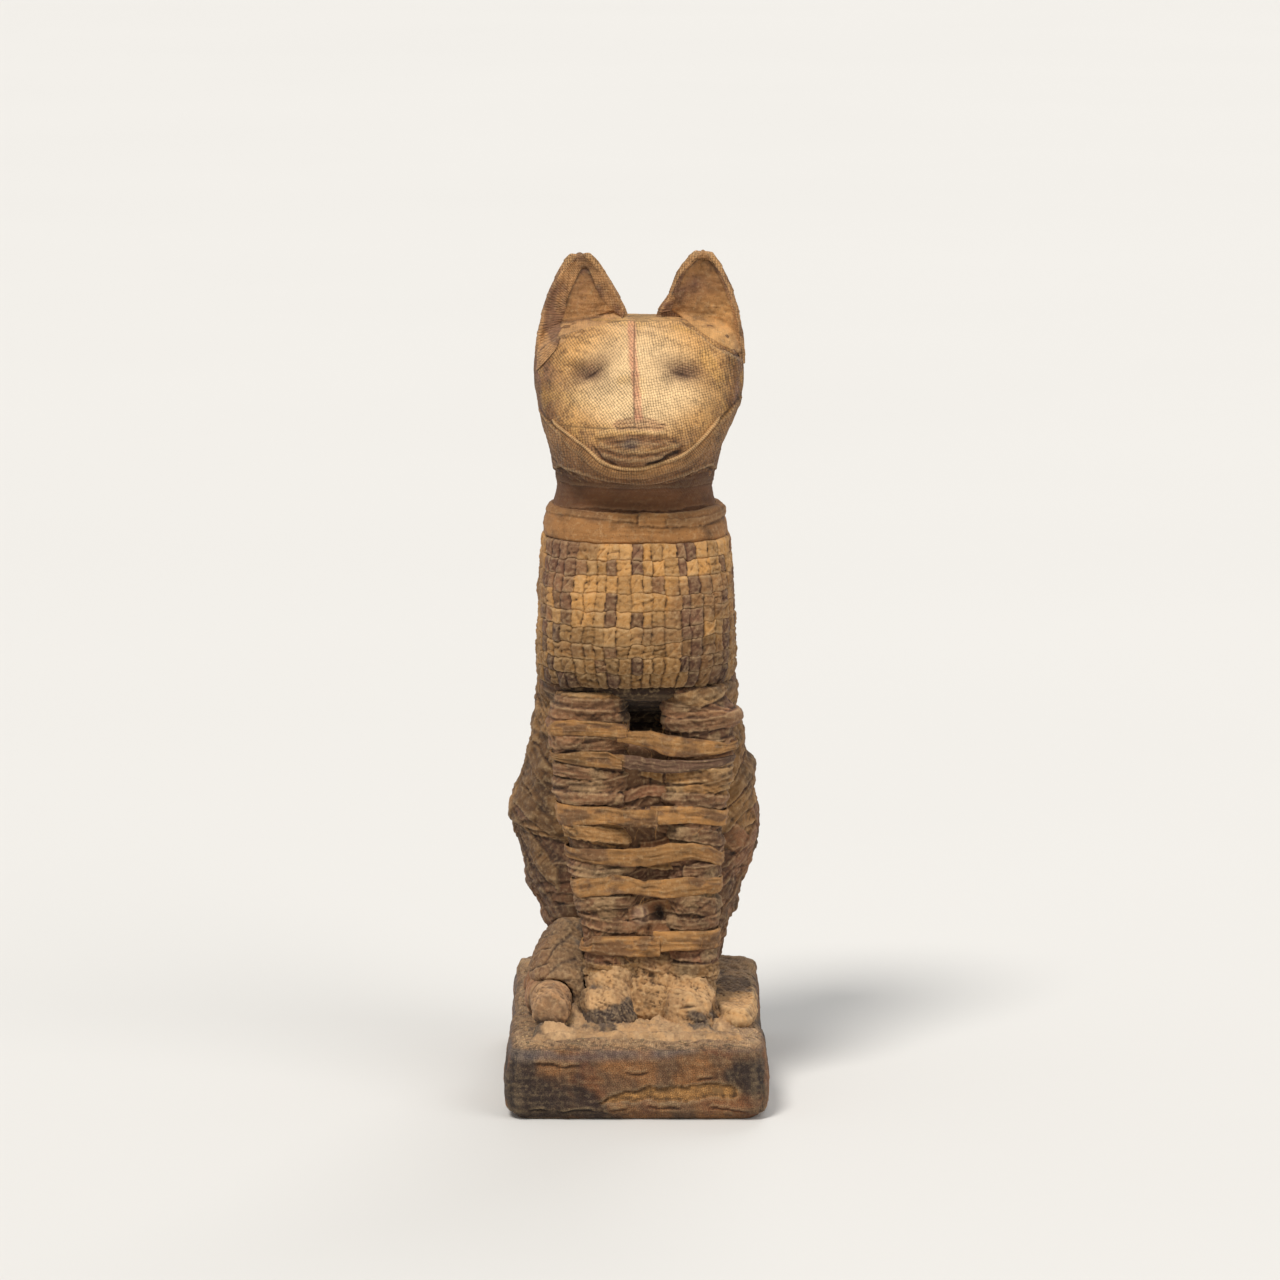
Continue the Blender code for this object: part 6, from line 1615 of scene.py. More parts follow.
def make_ear_rim(side, outer, inner, tree):
    """Cloth folded over the ear's edge, from the border of its hollow round to the back."""
    starts = (0.0, 0.17) if side == "left" else (0.17, 0.0)
    edges = [edge_line(points, np.linspace(start, 1, 88)) for points, start in zip((outer, inner), starts)]
    hollow = [edge_line(points, np.linspace(0, 1, 88)) for points in EAR_HOLLOWS[side]]
    arc = np.linspace(0, 1, 22)[1:-1, None]

    def round_tip(first, second, height):
        """Joins two edges over the tip of the ear."""
        over = first[-1] + (second[-1] - first[-1]) * arc
        over[:, 1] += height * (1 - (2 * arc[:, 0] - 1) ** 2)
        return np.vstack([first, over, second[::-1]])

    edge, border = round_tip(*edges, 0.0018), round_tip(*hollow, 0.0006)
    for _ in range(4):
        edge[1:-1] = (edge[:-2] + edge[2:]) / 4 + edge[1:-1] / 2
        border[1:-1] = (border[:-2] + border[2:]) / 4 + border[1:-1] / 2
    across = np.linspace(0, 0.97, 22)[:, None, None]
    front = laid_on(tree, border[None] + (edge - border)[None] * across)
    inward = np.linspace(0.97, 0.55, 9)[:, None, None]
    back = laid_on(tree, border[None] + (edge - border)[None] * inward, -1)
    thick = 0.0009
    grown = unit(np.nan_to_num(edge - border))
    nose = np.stack([edge[:, 0] + grown[:, 0] * thick, (front[-1, :, 1] + back[0, :, 1]) / 2,
        edge[:, 1] + grown[:, 1] * thick], -1)
    lift = thick * (0.55 + 0.45 * ease(across[..., 0] / 0.12))
    front[..., 1] = soften(front[..., 1], 2) - lift
    back[..., 1] = soften(back[..., 1], 2) + thick * 0.6
    spots = np.concatenate([front, nose[None], back])
    cloth = Cloth(spots, shade(188, 140, 92), 0.0)
    place, run = cloth.up, np.linspace(0, 1, spots.shape[1])[None, :] * 0.1 + 0 * cloth.up
    cloth.rise = 0.0005 * (mottle(spots[..., 0] / 0.005, spots[..., 2] / 0.005, 172, 2) - 0.5)
    cloth.rise += 0.00025 * (mottle(spots[..., 0] / 0.0014, spots[..., 2] / 0.0014, 173, 2) - 0.5)
    cloud = mottle(spots[..., 0] / 0.006, spots[..., 2] / 0.008, 174, 3)
    cloth.paint(shade(136, 98, 72), ease((cloud - 0.46) / 0.25))
    if side == "left":
        tip = ease((place - 0.3475) / 0.002)
        cloth.paint(shade(140, 104, 74), 0.7 * tip)
        cloth.paint(shade(92, 58, 38), 0.8 * hump(place - 0.3463, 0.0014)
            * hump(spots[..., 0] + 0.0212, 0.003))
        spot = hump(spots[..., 0] + 0.0238, 0.0008) * hump(place - 0.3484, 0.0008) * (spots[..., 1] < -0.02)
        cloth.paint(shade(240, 232, 220), np.clip(spot * 1.5, 0, 1))
    cloth.dim(0.8 + 0.4 * mottle(spots[..., 0] / 0.0012, spots[..., 2] / 0.0012, 175, 2))
    cloth.thread = np.stack([run, place], -1)
    cloth.finish(f"{side}_ear_rim_linen", spots + cloth.normals(spots) * cloth.rise[..., None], "linen_tan",
        "face_linen", [f"{side}_ear_rim"])


# The tail's middle line from the rump to its end, across and back, and its radius
TAIL_ROUTE = (
    (0.0125, 0.07, 0.003), (0.0105, 0.0708, 0.0055), (0.007, 0.0716, 0.0069),
    (0.002, 0.072, 0.0072), (-0.014, 0.0695, 0.0076), (-0.027, 0.06, 0.0076), (-0.0345, 0.045, 0.0075),
    (-0.0375, 0.025, 0.0074), (-0.0382, 0.0, 0.0074), (-0.0378, -0.02, 0.0078), (-0.036, -0.037, 0.0088),
    (-0.035, -0.048, 0.0084), (-0.0351, -0.057, 0.008), (-0.0351, -0.061,
        0.0066), (-0.0351, -0.0635, 0.0035),
)


def make_tail(tones, sizes):
    """The wrapped tail along the cat's side, ending in a round stump beside the paw."""
    route = np.array(TAIL_ROUTE)
    known = np.concatenate([[0], np.cumsum(np.linalg.norm(np.diff(route[:, :2], axis=0), axis=1))])
    run = np.linspace(0, known[-1], int(known[-1] / sizes.cell / 1.15))
    line = np.stack([np.interp(run, known, route[:, axis]) for axis in range(3)], -1)
    for _ in range(120):
        line[1:-1] = (line[:-2] + line[2:]) / 4 + line[1:-1] / 2
    left = known[-1] - run
    radius = np.where(left < 0.0085, 0.0083 * np.clip(1 - (1 - left / 0.0085) ** 3, 0.0004,
        1) ** 0.42, line[:, 2])
    rest = np.where(run < 0.008, 0.0072, np.maximum(line[:, 2], 0.0085))
    middle = np.stack([line[:, 0], line[:, 1], PLINTH_TOP + rest * 0.98], -1)
    heading = unit(np.gradient(middle, axis=0))
    beside = unit(np.cross(heading, (0.0, 0.0, 1.0)))
    turns = np.linspace(-math.pi, math.pi, int(0.055 / sizes.cell))
    turn = turns[None, :, None]
    ring = np.sin(turn) * beside[:, None] + np.cos(turn) * np.array((0.0, 0.0, 1.0))
    spots = middle[:, None] + ring * radius[:, None, None]
    along = turns[None, :] * 0.0085 + 0 * run[:, None]
    up = run[:, None] + 0 * along
    # The cloth under the strips is darker, as painted shade in the gaps between them.
    cloth = Cloth(spots, tones.wrap * 0.8, -0.0004, along, up)
    tints = leg_tints(tones) + [tones.dust * 0.7]
    random_strips(cloth, 30, 0.004, known[-1] - 0.008, tints, sizes.strip * 0.8, 1100, 0.5,
        (0.006, 0.01), sizes.crease, 0.027)
    cloth.crumple(0.0006, 0.005, 1110)
    rim = known[-1] - 0.025 + 0.2 * along
    ringed = hump(up - rim, 0.0014)
    front = ease((up - (known[-1] - 0.038)) / 0.02)
    cap = ease((0.0215 - left[:, None] + 0 * along) / 0.006)
    cloud, rough = grain(spots, 0.005, 1113, 3), grain(spots, 0.0012, 1112, 2)
    even = 0.0008 * (cloud - 0.5) + 0.0005 * (rough - 0.5)
    cloth.rise = cloth.rise + (even - cloth.rise) * np.maximum(cap, 0.6 * front)
    cloth.rise -= 0.0009 * ringed
    tan = mix(shade(150, 116, 84) + 0 * cloth.tint, shade(190, 148, 104), ease((cloud - 0.35) / 0.3))
    sooty = 0.13 + 0.42 * ease((PLINTH_TOP + 0.0105 - spots[..., 2]) / 0.009)
    crust, sandy = crusted(spots.reshape(-1, 3), 1120, shade(182, 140, 100),
        shade(70, 60, 54), sooty.ravel())
    cloth.rise += cap * crust.reshape(up.shape) * ease((left[:, None] - 0.0012) / 0.004)
    cloth.tint = mix(mix(cloth.tint, tan, 0.75 * front), sandy.reshape(cloth.tint.shape), cap)
    cloth.paint(tones.resin * 1.6, 0.75 * ringed * (0.4 + 0.6 * rough))
    soot = ease((grain(spots, 0.006, 1114, 3) - 0.46) / 0.14)
    low = ease((PLINTH_TOP + 0.0075 - spots[..., 2]) / 0.006)
    cloth.paint(tones.resin * 1.9, np.clip(0.35 * soot * front + 0.75 * low * soot, 0, 0.85))
    cloth.dim(0.72 + 0.56 * rough)
    cloth.join_ends(6)
    places = cloth.places()
    places[..., 2] = np.maximum(places[..., 2], PLINTH_TOP - 0.0012)
    places[0], places[-1] = places[0].mean(0), places[-1].mean(0)
    mesh = sheet_mesh("tail_linen", cloth, places, close=True)
    bm = bmesh.new()
    bm.from_mesh(mesh)
    bmesh.ops.recalc_face_normals(bm, faces=bm.faces)
    bm.to_mesh(mesh)
    bm.free()
    link(mesh, "linen_brown", "crust", ["tail_wrap"])


# Lower and upper edge of the tear in the plinth's linen, at places across
TORN_PATCH = (
    (-0.018, 0.0072, 0.0074), (-0.016, 0.0075, 0.0082), (-0.009, 0.0081, 0.0118), (0.0029, 0.0085, 0.0143),
    (0.0185, 0.0088, 0.0159), (0.0303, 0.0091, 0.0159), (0.04, 0.0094, 0.0153), (0.0425, 0.011, 0.0135),
)


def crusted(spots, seed, dust, soot, share):
    """Push and colour of a sandy crust with dark pores; share says where the dark colour lies over it: soot,
    and on the left hind foot painted shade as well.
    """
    lumps, grit = grain(spots, 0.0046, seed, 3), grain(spots, 0.0012, seed + 3, 3)
    pores = (
        ease((grain(spots, 0.0008, seed + 5, 2) - 0.56) / 0.1)
        * ease((grain(spots, 0.006, seed + 6, 2) - 0.35) / 0.2)
    )
    push = 0.0018 * (lumps - 0.5) + 0.0012 * (grit - 0.5) - 0.0003 * pores
    tint = dust * (0.54 + 0.5 * lumps + 0.4 * grit)[:, None]
    tint = mix(tint, dust * (0.78, 0.74, 0.72),
        0.8 * ease((grain(spots, 0.0055, seed + 9, 3) - 0.48) / 0.12))
    tint = mix(tint, dust * (1.12, 1.02, 0.86), 0.5 * ease((grain(spots, 0.003, seed + 7, 2) - 0.54) / 0.12))
    edge = share + 1.3 * (grain(spots, 0.005, seed + 8, 3) - 0.5) + 0.4 * (grit - 0.5)
    tint = mix(tint, soot * (0.55 + 0.9 * grit)[:, None], 0.88 * ease((edge - 0.4) / 0.3))
    tint = mix(tint, soot * 0.7, 0.3 * pores)
    return push, tint


def ankle(bm, middle, size):
    """Adds the crusted cloth that runs from a paw up to its leg."""
    made = bmesh.ops.create_icosphere(bm, subdivisions=4, radius=1.0)["verts"]
    bmesh.ops.scale(bm, vec=size, verts=made)
    bmesh.ops.translate(bm, vec=middle, verts=made)


def make_paws(tones, sizes):
    """Both front paws under sand and soot, with their ankles."""
    for name, level, over in (("left_paw", 0.0, 0.0022), ("right_paw", -0.16, -0.0016)):
        bm = cad_copy([name])
        low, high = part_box(name)
        middle = (low.x + high.x) / 2
        ankle(bm, (middle + 0.0005, -0.0415, 0.0492 + over), (0.0093, 0.01, 0.008))
        clay = Clay(f"{name}_linen", fused(bm, 0.00055, 60), tones.dust * 0.8)
        seed = sum(map(ord, name))
        clay.push(0.0012 + 0.0042 * (clay.grain(0.0075, seed + 20, 2) - 0.5))
        x, y, z = clay.spots.T
        lean, from_side = (-0.3, 0.0) if name == "left_paw" else (0.1, 1.0)
        slope = (z - PLINTH_TOP - 0.0088 + lean * (x - middle)) / 0.004
        front = ease((-y - 0.046) / 0.008) * (1 - from_side * ease((middle - 0.001 - x) / 0.004))
        push, tint = crusted(clay.spots, seed, shade(184, 144, 100), shade(64, 57, 55),
            level + 0.85 * front * ease(0.7 - slope / 1.6))
        # Painted shade: the paw's sides are darkened above the plinth.
        beside = ease((np.abs(x - middle) - 0.0085) / 0.002) * ease((z - PLINTH_TOP - 0.003) / 0.004)
        tint = tint * (1 - 0.45 * beside)[:, None]
        if name == "right_paw":
            # A crease pressed in and painted with shade.
            crease = hump(z - PLINTH_TOP - 0.0098 - 0.0006 * np.sin(x / 0.003),
                0.0006) * hump(x - 0.0215, 0.004)
            push -= 0.001 * crease
            tint = mix(tint, shade(52, 38, 32), 0.7 * crease)
        push += 0.001 * ease((PLINTH_TOP + 0.005 - z) / 0.004)
        clay.push(push)
        clay.settle()
        clay.tint = tint
        clay.finish("linen_tan", "crust", [name])


# Folds on the left hind foot, across and up
FOOT_FOLDS = (
    ((-0.042, 0.04), (-0.0385, 0.045), (-0.034, 0.049), (-0.027, 0.051)),
    ((-0.041, 0.047), (-0.0365, 0.0535), (-0.031, 0.0575), (-0.024, 0.0585)),
    ((-0.0385, 0.056), (-0.033, 0.064), (-0.027, 0.068)),
)


def make_hind_feet(tones, sizes):
    """The dusty hind foot under the left haunch, and the flat one beside the right paw."""
    clay = Clay("left_hind_foot_linen", fused(cad_copy(["left_hind_foot"]), 0.00055, 30), tones.wrap)
    clay.push(0.0006 + 0.0026 * (clay.grain(0.011, 612, 2) - 0.5))
    x, y, z = clay.spots.T
    # Soot over the crust, with painted shade: darker toward the right, the inner side under the haunch.
    push, tint = crusted(clay.spots, 611, shade(136, 106, 76), shade(84, 74, 68),
        0.22 + 0.4 * ease((x + 0.026) / 0.006))
    for line in FOOT_FOLDS:
        # Each fold is pressed in and painted with shade.
        fold = stroke(x, z + 0.0012 * (clay.grain(0.004, 615, 2) - 0.5), line, 0.0008)
        push = push - 0.0007 * fold
        tint = mix(tint, shade(60, 50, 46), 0.55 * fold)
    turn = (0.85 * z + 0.5 * y + 0.0022 * clay.grain(0.007, 616, 2)) / 0.0074
    flank = ease((-x - 0.0345) / 0.0035)
    shades = np.random.RandomState(617).uniform(0.55, 1.15, 40)[np.floor(turn).astype(int) % 40]
    # Painted shade where each strip steps under the next.
    edge = hump(turn - np.floor(turn) - 0.08, 0.1)
    strips = tones.wrap * (shades * (1 - 0.45 * edge))[:, None]
    tint = mix(tint, strips, 0.75 * flank)
    push = push + flank * (0.0007 * (turn - np.floor(turn)) - 0.0008 * edge)
    clay.push(0.6 * push)
    clay.settle()
    clay.tint = tint
    clay.finish("linen_tan", "crust", ["left_hind_foot"])
    clay = Clay("right_hind_foot_linen", fused(cad_copy(["right_hind_foot"]), 0.0006, 14), tones.dust)
    level = PLINTH_TOP + 0.0062 + 0.0012 * clay.grain(0.008, 637, 2)
    clay.spots[:, 2] = np.minimum(clay.spots[:, 2], level)
    clay.settle()
    x, y, z = clay.spots.T
    back = ease((y + 0.03) / 0.016)
    push, tint = crusted(clay.spots, 633, shade(190, 148, 100), shade(98, 78, 62),
        0.75 * back + 0.5 * ease((0.0345 - x) / 0.004))
    clay.push(0.0006 + 0.8 * push + 0.0006 * hump(z - PLINTH_TOP - 0.003, 0.0012))
    clay.settle()
    clay.tint = tint
    clay.finish("linen_tan", "crust", ["right_hind_foot"])


def make_debris(tones, sizes):
    """Sand, soot and crumbled linen heaped round the feet, as one uneven layer on the plinth."""
    columns, rows = int(0.09 / sizes.cell / 1.15), int(0.044 / sizes.cell / 1.15)
    across, back = np.meshgrid(np.linspace(-0.044, 0.046, columns), np.linspace(-0.0765, -0.0325, rows))
    spots = np.stack([across, back, np.zeros_like(across)], -1)
    lumps = mottle(across / 0.0045, back / 0.0045, 641, 3)
    grit = mottle(across / 0.0011, back / 0.0011, 643, 2)
    bent = across + 0.003 * (mottle(back / 0.004, across / 0.006, 640, 2) - 0.5)
    wide = ease((0.0095 - np.abs(bent - 0.0058)) / 0.006)
    heap = wide * 0.004 * ease((back + 0.0655) / 0.007) * (0.6 + 0.8 * lumps)
    heap = (
        np.maximum(heap, 0.0046 * hump(bent + 0.0245, 0.0065) * ease((back + 0.064) / 0.012) * (0.5 + lumps))
    )
    heap = np.maximum(heap, 0.003 * hump(bent - 0.035, 0.006) * ease((back + 0.064) / 0.01) * (0.5 + lumps))
    heap = np.maximum(heap, 0.0088 * hump(bent + 0.0256, 0.0042) * ease((back + 0.061) / 0.012)
        * (0.6 + 0.6 * lumps))
    heap = np.maximum(heap, 0.0044 * hump(bent + 0.0352, 0.0125) * hump(back + 0.0665, 0.004)
        * (0.3 + 1.2 * lumps))
    skirt = 0.003 * ease((back + 0.0685) / 0.006) * ease((0.03 - np.abs(across - 0.004)) / 0.006)
    shelf = 0.0016 * hump(back + 0.0715, 0.004)
    height = np.maximum(heap, np.maximum(skirt, shelf)) + 0.0014 * (lumps - 0.45) + 0.0017 * (grit - 0.5)
    border = np.minimum(np.minimum(across + 0.044, 0.046 - across), np.minimum(back + 0.0765, 0.02))
    height = height * ease(border / 0.004) - 0.0016 * (1 - ease(border / 0.004))
    spots[..., 2] = PLINTH_TOP + 0.0002 + height
    cloth = Cloth(spots, tones.dust, 0.0, along=across, up=back)
    flat = np.stack([across, back, 0 * across], -1).reshape(-1, 3)
    soot_at = 0.9 * hump(across + 0.015, 0.012) * hump(back + 0.0635, 0.005) + 0.8 * hump(across - 0.025,
        0.011) * hump(back + 0.064, 0.004)
    soot_at += 0.45 * hump(across + 0.028, 0.005) + 0.35 * hump(across + 0.043, 0.006)
    soot_at += 0.6 * hump(across + 0.039, 0.005) * hump(back + 0.064, 0.005)
    _, tint = crusted(flat, 641, shade(184, 148, 108), shade(74, 64, 58), 0.15 + 0.55 * soot_at.ravel())
    cloth.tint = tint.reshape(cloth.tint.shape)
    cloth.rise = 0 * across
    cloth.finish("plinth_debris", cloth.spots, "linen_tan", "crust")


def make_plinth(tones, sizes):
    """The resin-soaked linen over the wooden plinth, torn at the front and crusted on top."""
    bm = cad_copy(["plinth_cover", "plinth_block", "plinth_inner_linen"])
    clay = Clay("plinth_linen", fused(bm, 0.0008, 8), tones.plinth)
    x, y, z = clay.spots.T
    spots = clay.spots
    top = ease((clay.normals[:, 2] - 0.45) / 0.4)
    front = ease((-clay.normals[:, 1] - 0.3) / 0.4)
    under = ease((-clay.normals[:, 2] - 0.6) / 0.3)
    sides = (1 - top) * (1 - under)
    push = 0.0022 * (grain(spots, 0.024, 401, 2) - 0.5) + 0.001 * (grain(spots, 0.0075, 403, 2) - 0.5)
    push += (
        sides * 0.0022 * ease((np.abs(x) - 0.043) / 0.006) * ease((-y - 0.03) / 0.02)
        * hump(z - 0.011, 0.011)
    )
    push += top * 0.0026 * ease((y - 0.058) / 0.01) * ease((np.abs(x) - 0.018) / 0.012)
    run = np.where(np.abs(clay.normals[:, 0]) > 0.7, y, x)
    folds = mottle(run / 0.02, z / 0.0034 + 0.8 * mottle(run / 0.03, z / 0.02, 409), 405, 3)
    push += sides * 0.0004 * (ridges(folds) - 0.5)
    crust, grit = grain(spots, 0.0034, 411, 3), grain(spots, 0.0013, 413, 2)
    push += top * (0.0017 * (crust - 0.42) + 0.0009 * (grit - 0.5)) + sides * 0.0004 * (grit - 0.5)
    torn = np.array(TORN_PATCH)
    wobble = 0.003 * (mottle(x / 0.005, 0 * x, 415, 3) - 0.5)
    lower, upper = (np.interp(x, torn[:, 0], torn[:, column]) for column in (1, 2))
    across = front * ease((x + 0.018) / 0.002) * ease((0.0425 - x) / 0.002)
    patch = across * ease((upper + wobble - z) / 0.0008) * ease((z - lower - wobble) / 0.0008)
    push -= 0.001 * patch
    for height, bend, start, end in ((0.019, 0.0016, -0.006, 0.034), (0.0052, 0.0012, -0.045, 0.048),
            (0.0235, -0.0014, -0.044, -0.004)):
        flap = z - height - bend * np.sin(x / 0.013 + 90 * height) - 0.8 * wobble
        reach = (
            front * ease((x - start) / 0.004) * ease((end - x) / 0.004)
            * ease((mottle(x / 0.007, 0 * x, int(9e4 * height)) - 0.25) / 0.3)
        )
        push += reach * (0.0007 * ease(flap / 0.0005) * np.exp(-np.clip(flap, 0, 1) / 0.003) - 0.0005
            * hump(flap + 0.0006, 0.0006))
    clay.push(push * (1 - under))
    clay.settle(0.0)
    linen_tone, resin = tones.plinth, tones.resin
    tint = mix(linen_tone + 0 * clay.tint, shade(146, 100, 60),
        ease((grain(spots, 0.01, 421, 3) - 0.42) / 0.2))
    tint = mix(tint, shade(118, 72, 46), 0.6 * ease((grain(spots, 0.008, 423, 2) - 0.55) / 0.12))
    left_dark = 0.12 * hump(x + 0.042, 0.022) + 0.26 * hump(x + 0.05, 0.006) + 0.2 * hump(x + 0.008,
        0.012) * hump(z - 0.023, 0.004)
    right_dark = 0.26 * hump(x - 0.042, 0.01) * hump(z - 0.018, 0.009)
    stains = grain(spots, 0.02, 425, 5) + front * (left_dark + right_dark - 0.14 * hump(x - 0.012, 0.022))
    dark = ease((stains - 0.54) / 0.14) * (1 - 0.6 * top)
    tint = mix(tint, resin * (0.9 + 1.0 * grit)[:, None], 0.88 * dark)
    violet = (
        sides * ease((z - 0.0235 - 0.004 * ease(x / 0.03)) / 0.004)
        * ease((grain(spots, 0.012, 427, 2) - 0.25) / 0.2)
    )
    tint = mix(tint, shade(104, 92, 88) * (0.8 + 0.4 * grit)[:, None], 0.75 * violet)
    tint = mix(tint, shade(176, 128, 72) * (0.65 + 0.6 * grit)[:, None], 0.85 * patch)
    small = hump(x - 0.0375, 0.0045) * hump(z - 0.012, 0.003) * front
    tint = mix(tint, shade(184, 134, 76) * (0.7 + 0.5 * grit)[:, None], 0.8 * small)
    # Painted shadow along the upper edge of the tear.
    tint = mix(tint, shade(40, 30, 24), 0.6 * across * hump(z - upper - wobble + 0.0002, 0.0004))
    # Darker near the bottom of the front: painted shade, laid over the stains.
    tint = (
        mix(tint, shade(60, 44, 34), 0.5 * front * ease((0.0062 - z) / 0.002) * ease((stains - 0.4) / 0.2))
    )
    shelf = hump(y + 0.073, 0.008)
    _, debris = crusted(spots, 431, shade(174, 140, 104), shade(80, 68, 60), 0.26 - 0.22 * shelf)
    tint = mix(tint, debris, 0.92 * top)
    clay.tint = tint * (0.72 + 0.56 * grain(spots, 0.0014, 441, 2))[:, None]
    clay.finish("linen_dark", "plinth_linen", ["plinth_cover"])


def make_crumbs(tones, sizes):
    """Grit and flakes of linen lying on the plinth round the feet."""
    chance = np.random.RandomState(17)
    tree = piece_tree("plinth_linen")
    for name, count, colour in (("pale_crumbs", 170, shade(176, 142, 104)),
            ("dark_crumbs", 170, tones.resin)):
        bm = bmesh.new()
        for _ in range(count):
            x, y = chance.uniform(-0.047, 0.047), -0.078 + 0.05 * chance.rand() ** 1.6
            if chance.rand() < 0.35:
                x, y = math.copysign(chance.uniform(0.04, 0.049), x), chance.uniform(-0.07, 0.07)
            hit = tree.ray_cast(Vector((x, y, 0.1)), Vector((0, 0, -1)), 0.2)[0]
            if not hit:
                continue
            size = sizes.lump * chance.uniform(0.2, 0.85) ** 1.6
            made = bmesh.ops.create_icosphere(bm, subdivisions=1, radius=size)["verts"]
            bmesh.ops.scale(bm, vec=(1, chance.uniform(0.5, 1.4), chance.uniform(0.4, 0.8)), verts=made)
            for vert in made:
                vert.co *= chance.uniform(0.75, 1.25)
            bmesh.ops.translate(bm, vec=hit + Vector((0, 0, size * 0.15)), verts=made)
        clay = Clay(name, bm, colour)
        clay.dim(0.6 + 0.8 * clay.grain(0.004, 19, 2))
        clay.finish("linen_tan", "crust", reach=0.00012)


def make_threads(tones, sizes):
    """Loose threads frayed from the leg bands and the torn cloth between the legs."""
    chance = np.random.RandomState(23)
    curve = bpy.data.curves.new("loose_threads", "CURVE")
    curve.dimensions = "3D"
    curve.bevel_depth, curve.bevel_resolution = 0.00009, 1
    tree = cad_tree(["left_foreleg_wrap", "right_foreleg_wrap", "foreleg_web", "left_paw", "right_paw"]
        + [f"leg_band_{n}" for n in range(1, 7)])
    for _ in range(46):
        x = (
            chance.choice((-0.005, 0.004, 0.013, chance.uniform(-0.03, 0.035)))
            + chance.uniform(-0.003, 0.003)
        )
        z = (
            chance.choice((0.063, 0.072, 0.087, 0.097, 0.117, 0.125, 0.15, 0.16))
            + chance.uniform(-0.0015, 0.0015)
        )
        hit = tree.ray_cast(Vector((x, -0.5, z)), Vector((0, 1, 0)), 1.0)[0]
        if not hit:
            continue
        spline = curve.splines.new("POLY")
        count = 9
        spline.points.add(count - 1)
        spot, heading = (
            hit + Vector((0, -0.0016, 0)), Vector((chance.uniform(-1, 1), -0.15, chance.uniform(-1.1, 0.2)))
        )
        for point in spline.points:
            point.co = (*spot, 1.0)
            heading += (
                Vector((chance.uniform(-0.5, 0.5), chance.uniform(-0.1, 0.16), chance.uniform(-0.5, 0.3)))
            )
            spot = spot + heading.normalized() * 0.0007
    obj = bpy.data.objects.new("loose_threads", curve)
    bpy.context.scene.collection.objects.link(obj)
    mesh = evaluated(obj, bpy.data.curves)
    for layer in list(mesh.uv_layers):
        mesh.uv_layers.remove(layer)
    mesh.name = "loose_threads"
    tinted(mesh, np.ones((len(mesh.vertices), 3)) * tones.band * 1.1, np.zeros(len(mesh.vertices)),
        np.zeros((len(mesh.vertices), 2)))
    link(mesh, "linen_tan", "strip_linen")


# Which finish the nodes that no piece replaces get, by what their names contain
INNER_FINISHES = {
    "bone": ("skull", "jaw", "spine", "rib_cage", "pelvis", "_bones"),
    "reed": ("palm_rib", "_reed"),
    "wood": ("plinth_block",),
    "packing": ("packing", "tail_core"),
    "hidden_linen": ("body_wrap", "plinth_inner_linen"),
}


def finish_inner_pieces(tones, sizes):
    """Bone, reed, wood, packing and hidden linen for the CAD nodes that stay."""
    for name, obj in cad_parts.items():
        if obj.hide_render:
            continue
        for finish, endings in INNER_FINISHES.items():
            if any(ending in name for ending in endings):
                obj.data.materials.clear()
                obj.data.materials.append(material(finish))
                break


# Operators and panel
def make(maker, context):
    """Makes a group of pieces in the panel's colours and sizes."""
    maker(*settings(context))
    return {"FINISHED"}


class MUMMY_OT_stage(bpy.types.Operator):
    """Floor, lamps, world and camera"""

    bl_idname = "mummy.stage"
    bl_label = "Stage"

    def execute(self, context):
        return make(make_stage, context)


class MUMMY_OT_plinth(bpy.types.Operator):
    """Resin-soaked linen over the plinth"""

    bl_idname = "mummy.plinth"
    bl_label = "Plinth linen"

    def execute(self, context):
        return make(make_plinth, context)


class MUMMY_OT_crumbs(bpy.types.Operator):
    """Grit on the plinth"""

    bl_idname = "mummy.crumbs"
    bl_label = "Crumbs"

    def execute(self, context):
        return make(make_crumbs, context)


class MUMMY_OT_debris(bpy.types.Operator):
    """Sand and soot heaped round the feet"""

    bl_idname = "mummy.debris"
    bl_label = "Debris"

    def execute(self, context):
        return make(make_debris, context)


class MUMMY_OT_paws(bpy.types.Operator):
    """Crusted front paws"""

    bl_idname = "mummy.paws"
    bl_label = "Front paws"

    def execute(self, context):
        return make(make_paws, context)


class MUMMY_OT_hind_feet(bpy.types.Operator):
    """Both hind feet"""

    bl_idname = "mummy.hind_feet"
    bl_label = "Hind feet"

    def execute(self, context):
        return make(make_hind_feet, context)


class MUMMY_OT_tail(bpy.types.Operator):
    """Wrapped tail"""

    bl_idname = "mummy.tail"
    bl_label = "Tail"

    def execute(self, context):
        return make(make_tail, context)


class MUMMY_OT_lower_body(bpy.types.Operator):
    """Wrapped haunches, back and belly"""

    bl_idname = "mummy.lower_body"
    bl_label = "Haunches and back"

    def execute(self, context):
        return make(make_lower_body, context)


class MUMMY_OT_forelegs(bpy.types.Operator):
    """Wrapped forelegs"""

    bl_idname = "mummy.forelegs"
    bl_label = "Forelegs"

    def execute(self, context):
        return make(make_forelegs, context)


class MUMMY_OT_leg_web(bpy.types.Operator):
    """Cloth between the forelegs"""

    bl_idname = "mummy.leg_web"
    bl_label = "Packing between the legs"

    def execute(self, context):
        return make(make_leg_web, context)


class MUMMY_OT_leg_bands(bpy.types.Operator):
    """Strips that tie the forelegs"""

    bl_idname = "mummy.leg_bands"
    bl_label = "Leg bands"

    def execute(self, context):
        return make(make_leg_bands, context)


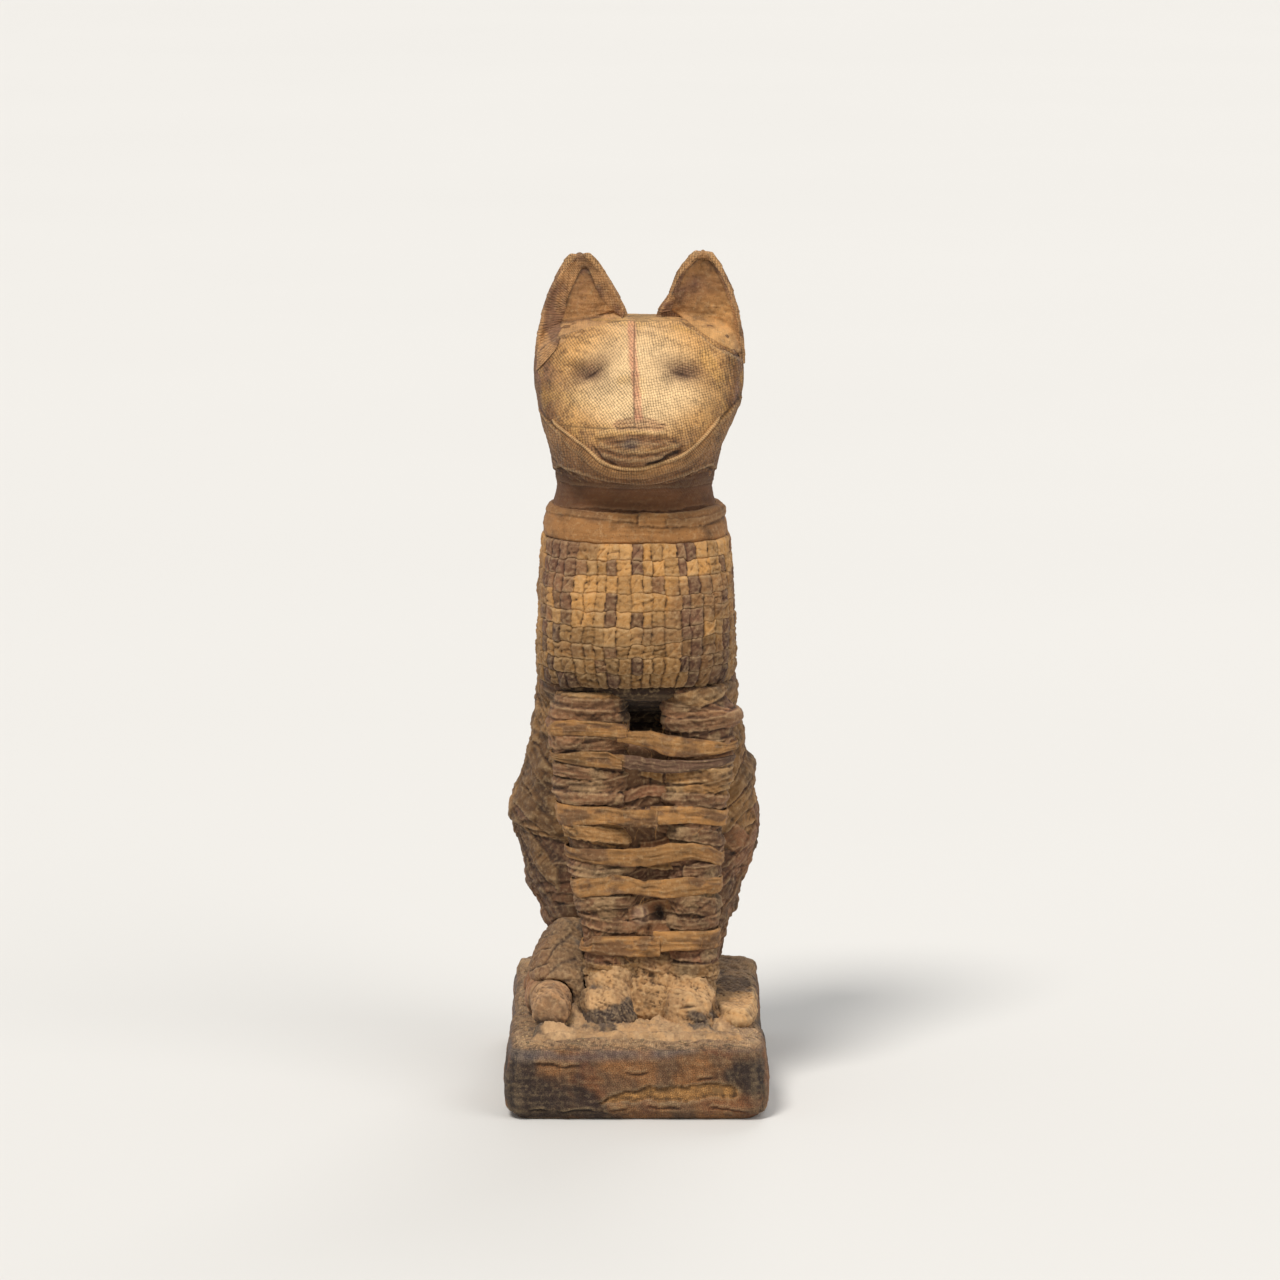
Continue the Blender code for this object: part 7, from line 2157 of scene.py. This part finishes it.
class MUMMY_OT_chest(bpy.types.Operator):
    """Nine rows of basket weave"""

    bl_idname = "mummy.chest"
    bl_label = "Chest weave"

    def execute(self, context):
        return make(make_chest, context)


class MUMMY_OT_collar(bpy.types.Operator):
    """Collar strip and neck linen"""

    bl_idname = "mummy.collar"
    bl_label = "Collar and neck"

    def execute(self, context):
        return make(make_collar, context)


class MUMMY_OT_head(bpy.types.Operator):
    """Linen over the face and skull"""

    bl_idname = "mummy.head"
    bl_label = "Head"

    def execute(self, context):
        return make(make_head, context)


class MUMMY_OT_sling(bpy.types.Operator):
    """Rolled cloth under the chin"""

    bl_idname = "mummy.sling"
    bl_label = "Chin sling"

    def execute(self, context):
        return make(make_sling, context)


class MUMMY_OT_ears(bpy.types.Operator):
    """Ears with lining and rim"""

    bl_idname = "mummy.ears"
    bl_label = "Ears"

    def execute(self, context):
        return make(make_ears, context)


class MUMMY_OT_threads(bpy.types.Operator):
    """Frayed threads on the legs"""

    bl_idname = "mummy.threads"
    bl_label = "Loose threads"

    def execute(self, context):
        return make(make_threads, context)


class MUMMY_OT_inside(bpy.types.Operator):
    """Finishes of the bones, stiffeners and packing"""

    bl_idname = "mummy.inside"
    bl_label = "Inner pieces"

    def execute(self, context):
        return make(finish_inner_pieces, context)


# Every operator, in the order in which the pieces are made
OPERATORS = (
    MUMMY_OT_stage, MUMMY_OT_plinth, MUMMY_OT_crumbs, MUMMY_OT_debris,
    MUMMY_OT_paws, MUMMY_OT_hind_feet, MUMMY_OT_tail, MUMMY_OT_lower_body,
    MUMMY_OT_forelegs, MUMMY_OT_leg_web, MUMMY_OT_leg_bands, MUMMY_OT_chest,
    MUMMY_OT_collar, MUMMY_OT_head, MUMMY_OT_sling, MUMMY_OT_ears,
    MUMMY_OT_threads, MUMMY_OT_inside,
)


class MUMMY_PT_panel(bpy.types.Panel):
    """Lists the pieces of the mummy in the order they are made"""

    bl_idname = "MUMMY_PT_panel"
    bl_label = "Cat mummy"
    bl_space_type = "VIEW_3D"
    bl_region_type = "UI"
    bl_category = "Mummy"

    def draw(self, context):
        """Sizes and colours first, then a button for each operator."""
        for group in (context.scene.mummy_sizes, context.scene.mummy_tones):
            column = self.layout.column(align=True)
            for key in group.__annotations__:
                column.prop(group, key)
        for made in OPERATORS:
            self.layout.operator(made.bl_idname)


CLASSES = (MummyTones, MummySizes, *OPERATORS, MUMMY_PT_panel)


def register():
    """Adds the settings, operators and panel."""
    for made in CLASSES:
        bpy.utils.register_class(made)
    bpy.types.Scene.mummy_tones = bpy.props.PointerProperty(type=MummyTones)
    bpy.types.Scene.mummy_sizes = bpy.props.PointerProperty(type=MummySizes)


def unregister():
    """Takes them away again."""
    del bpy.types.Scene.mummy_sizes, bpy.types.Scene.mummy_tones
    for made in reversed(CLASSES):
        bpy.utils.unregister_class(made)


def main():
    """Makes every piece."""
    register()
    for made in OPERATORS:
        getattr(bpy.ops.mummy, made.bl_idname.split(".")[1])()


if __name__ == "__main__":
    main()
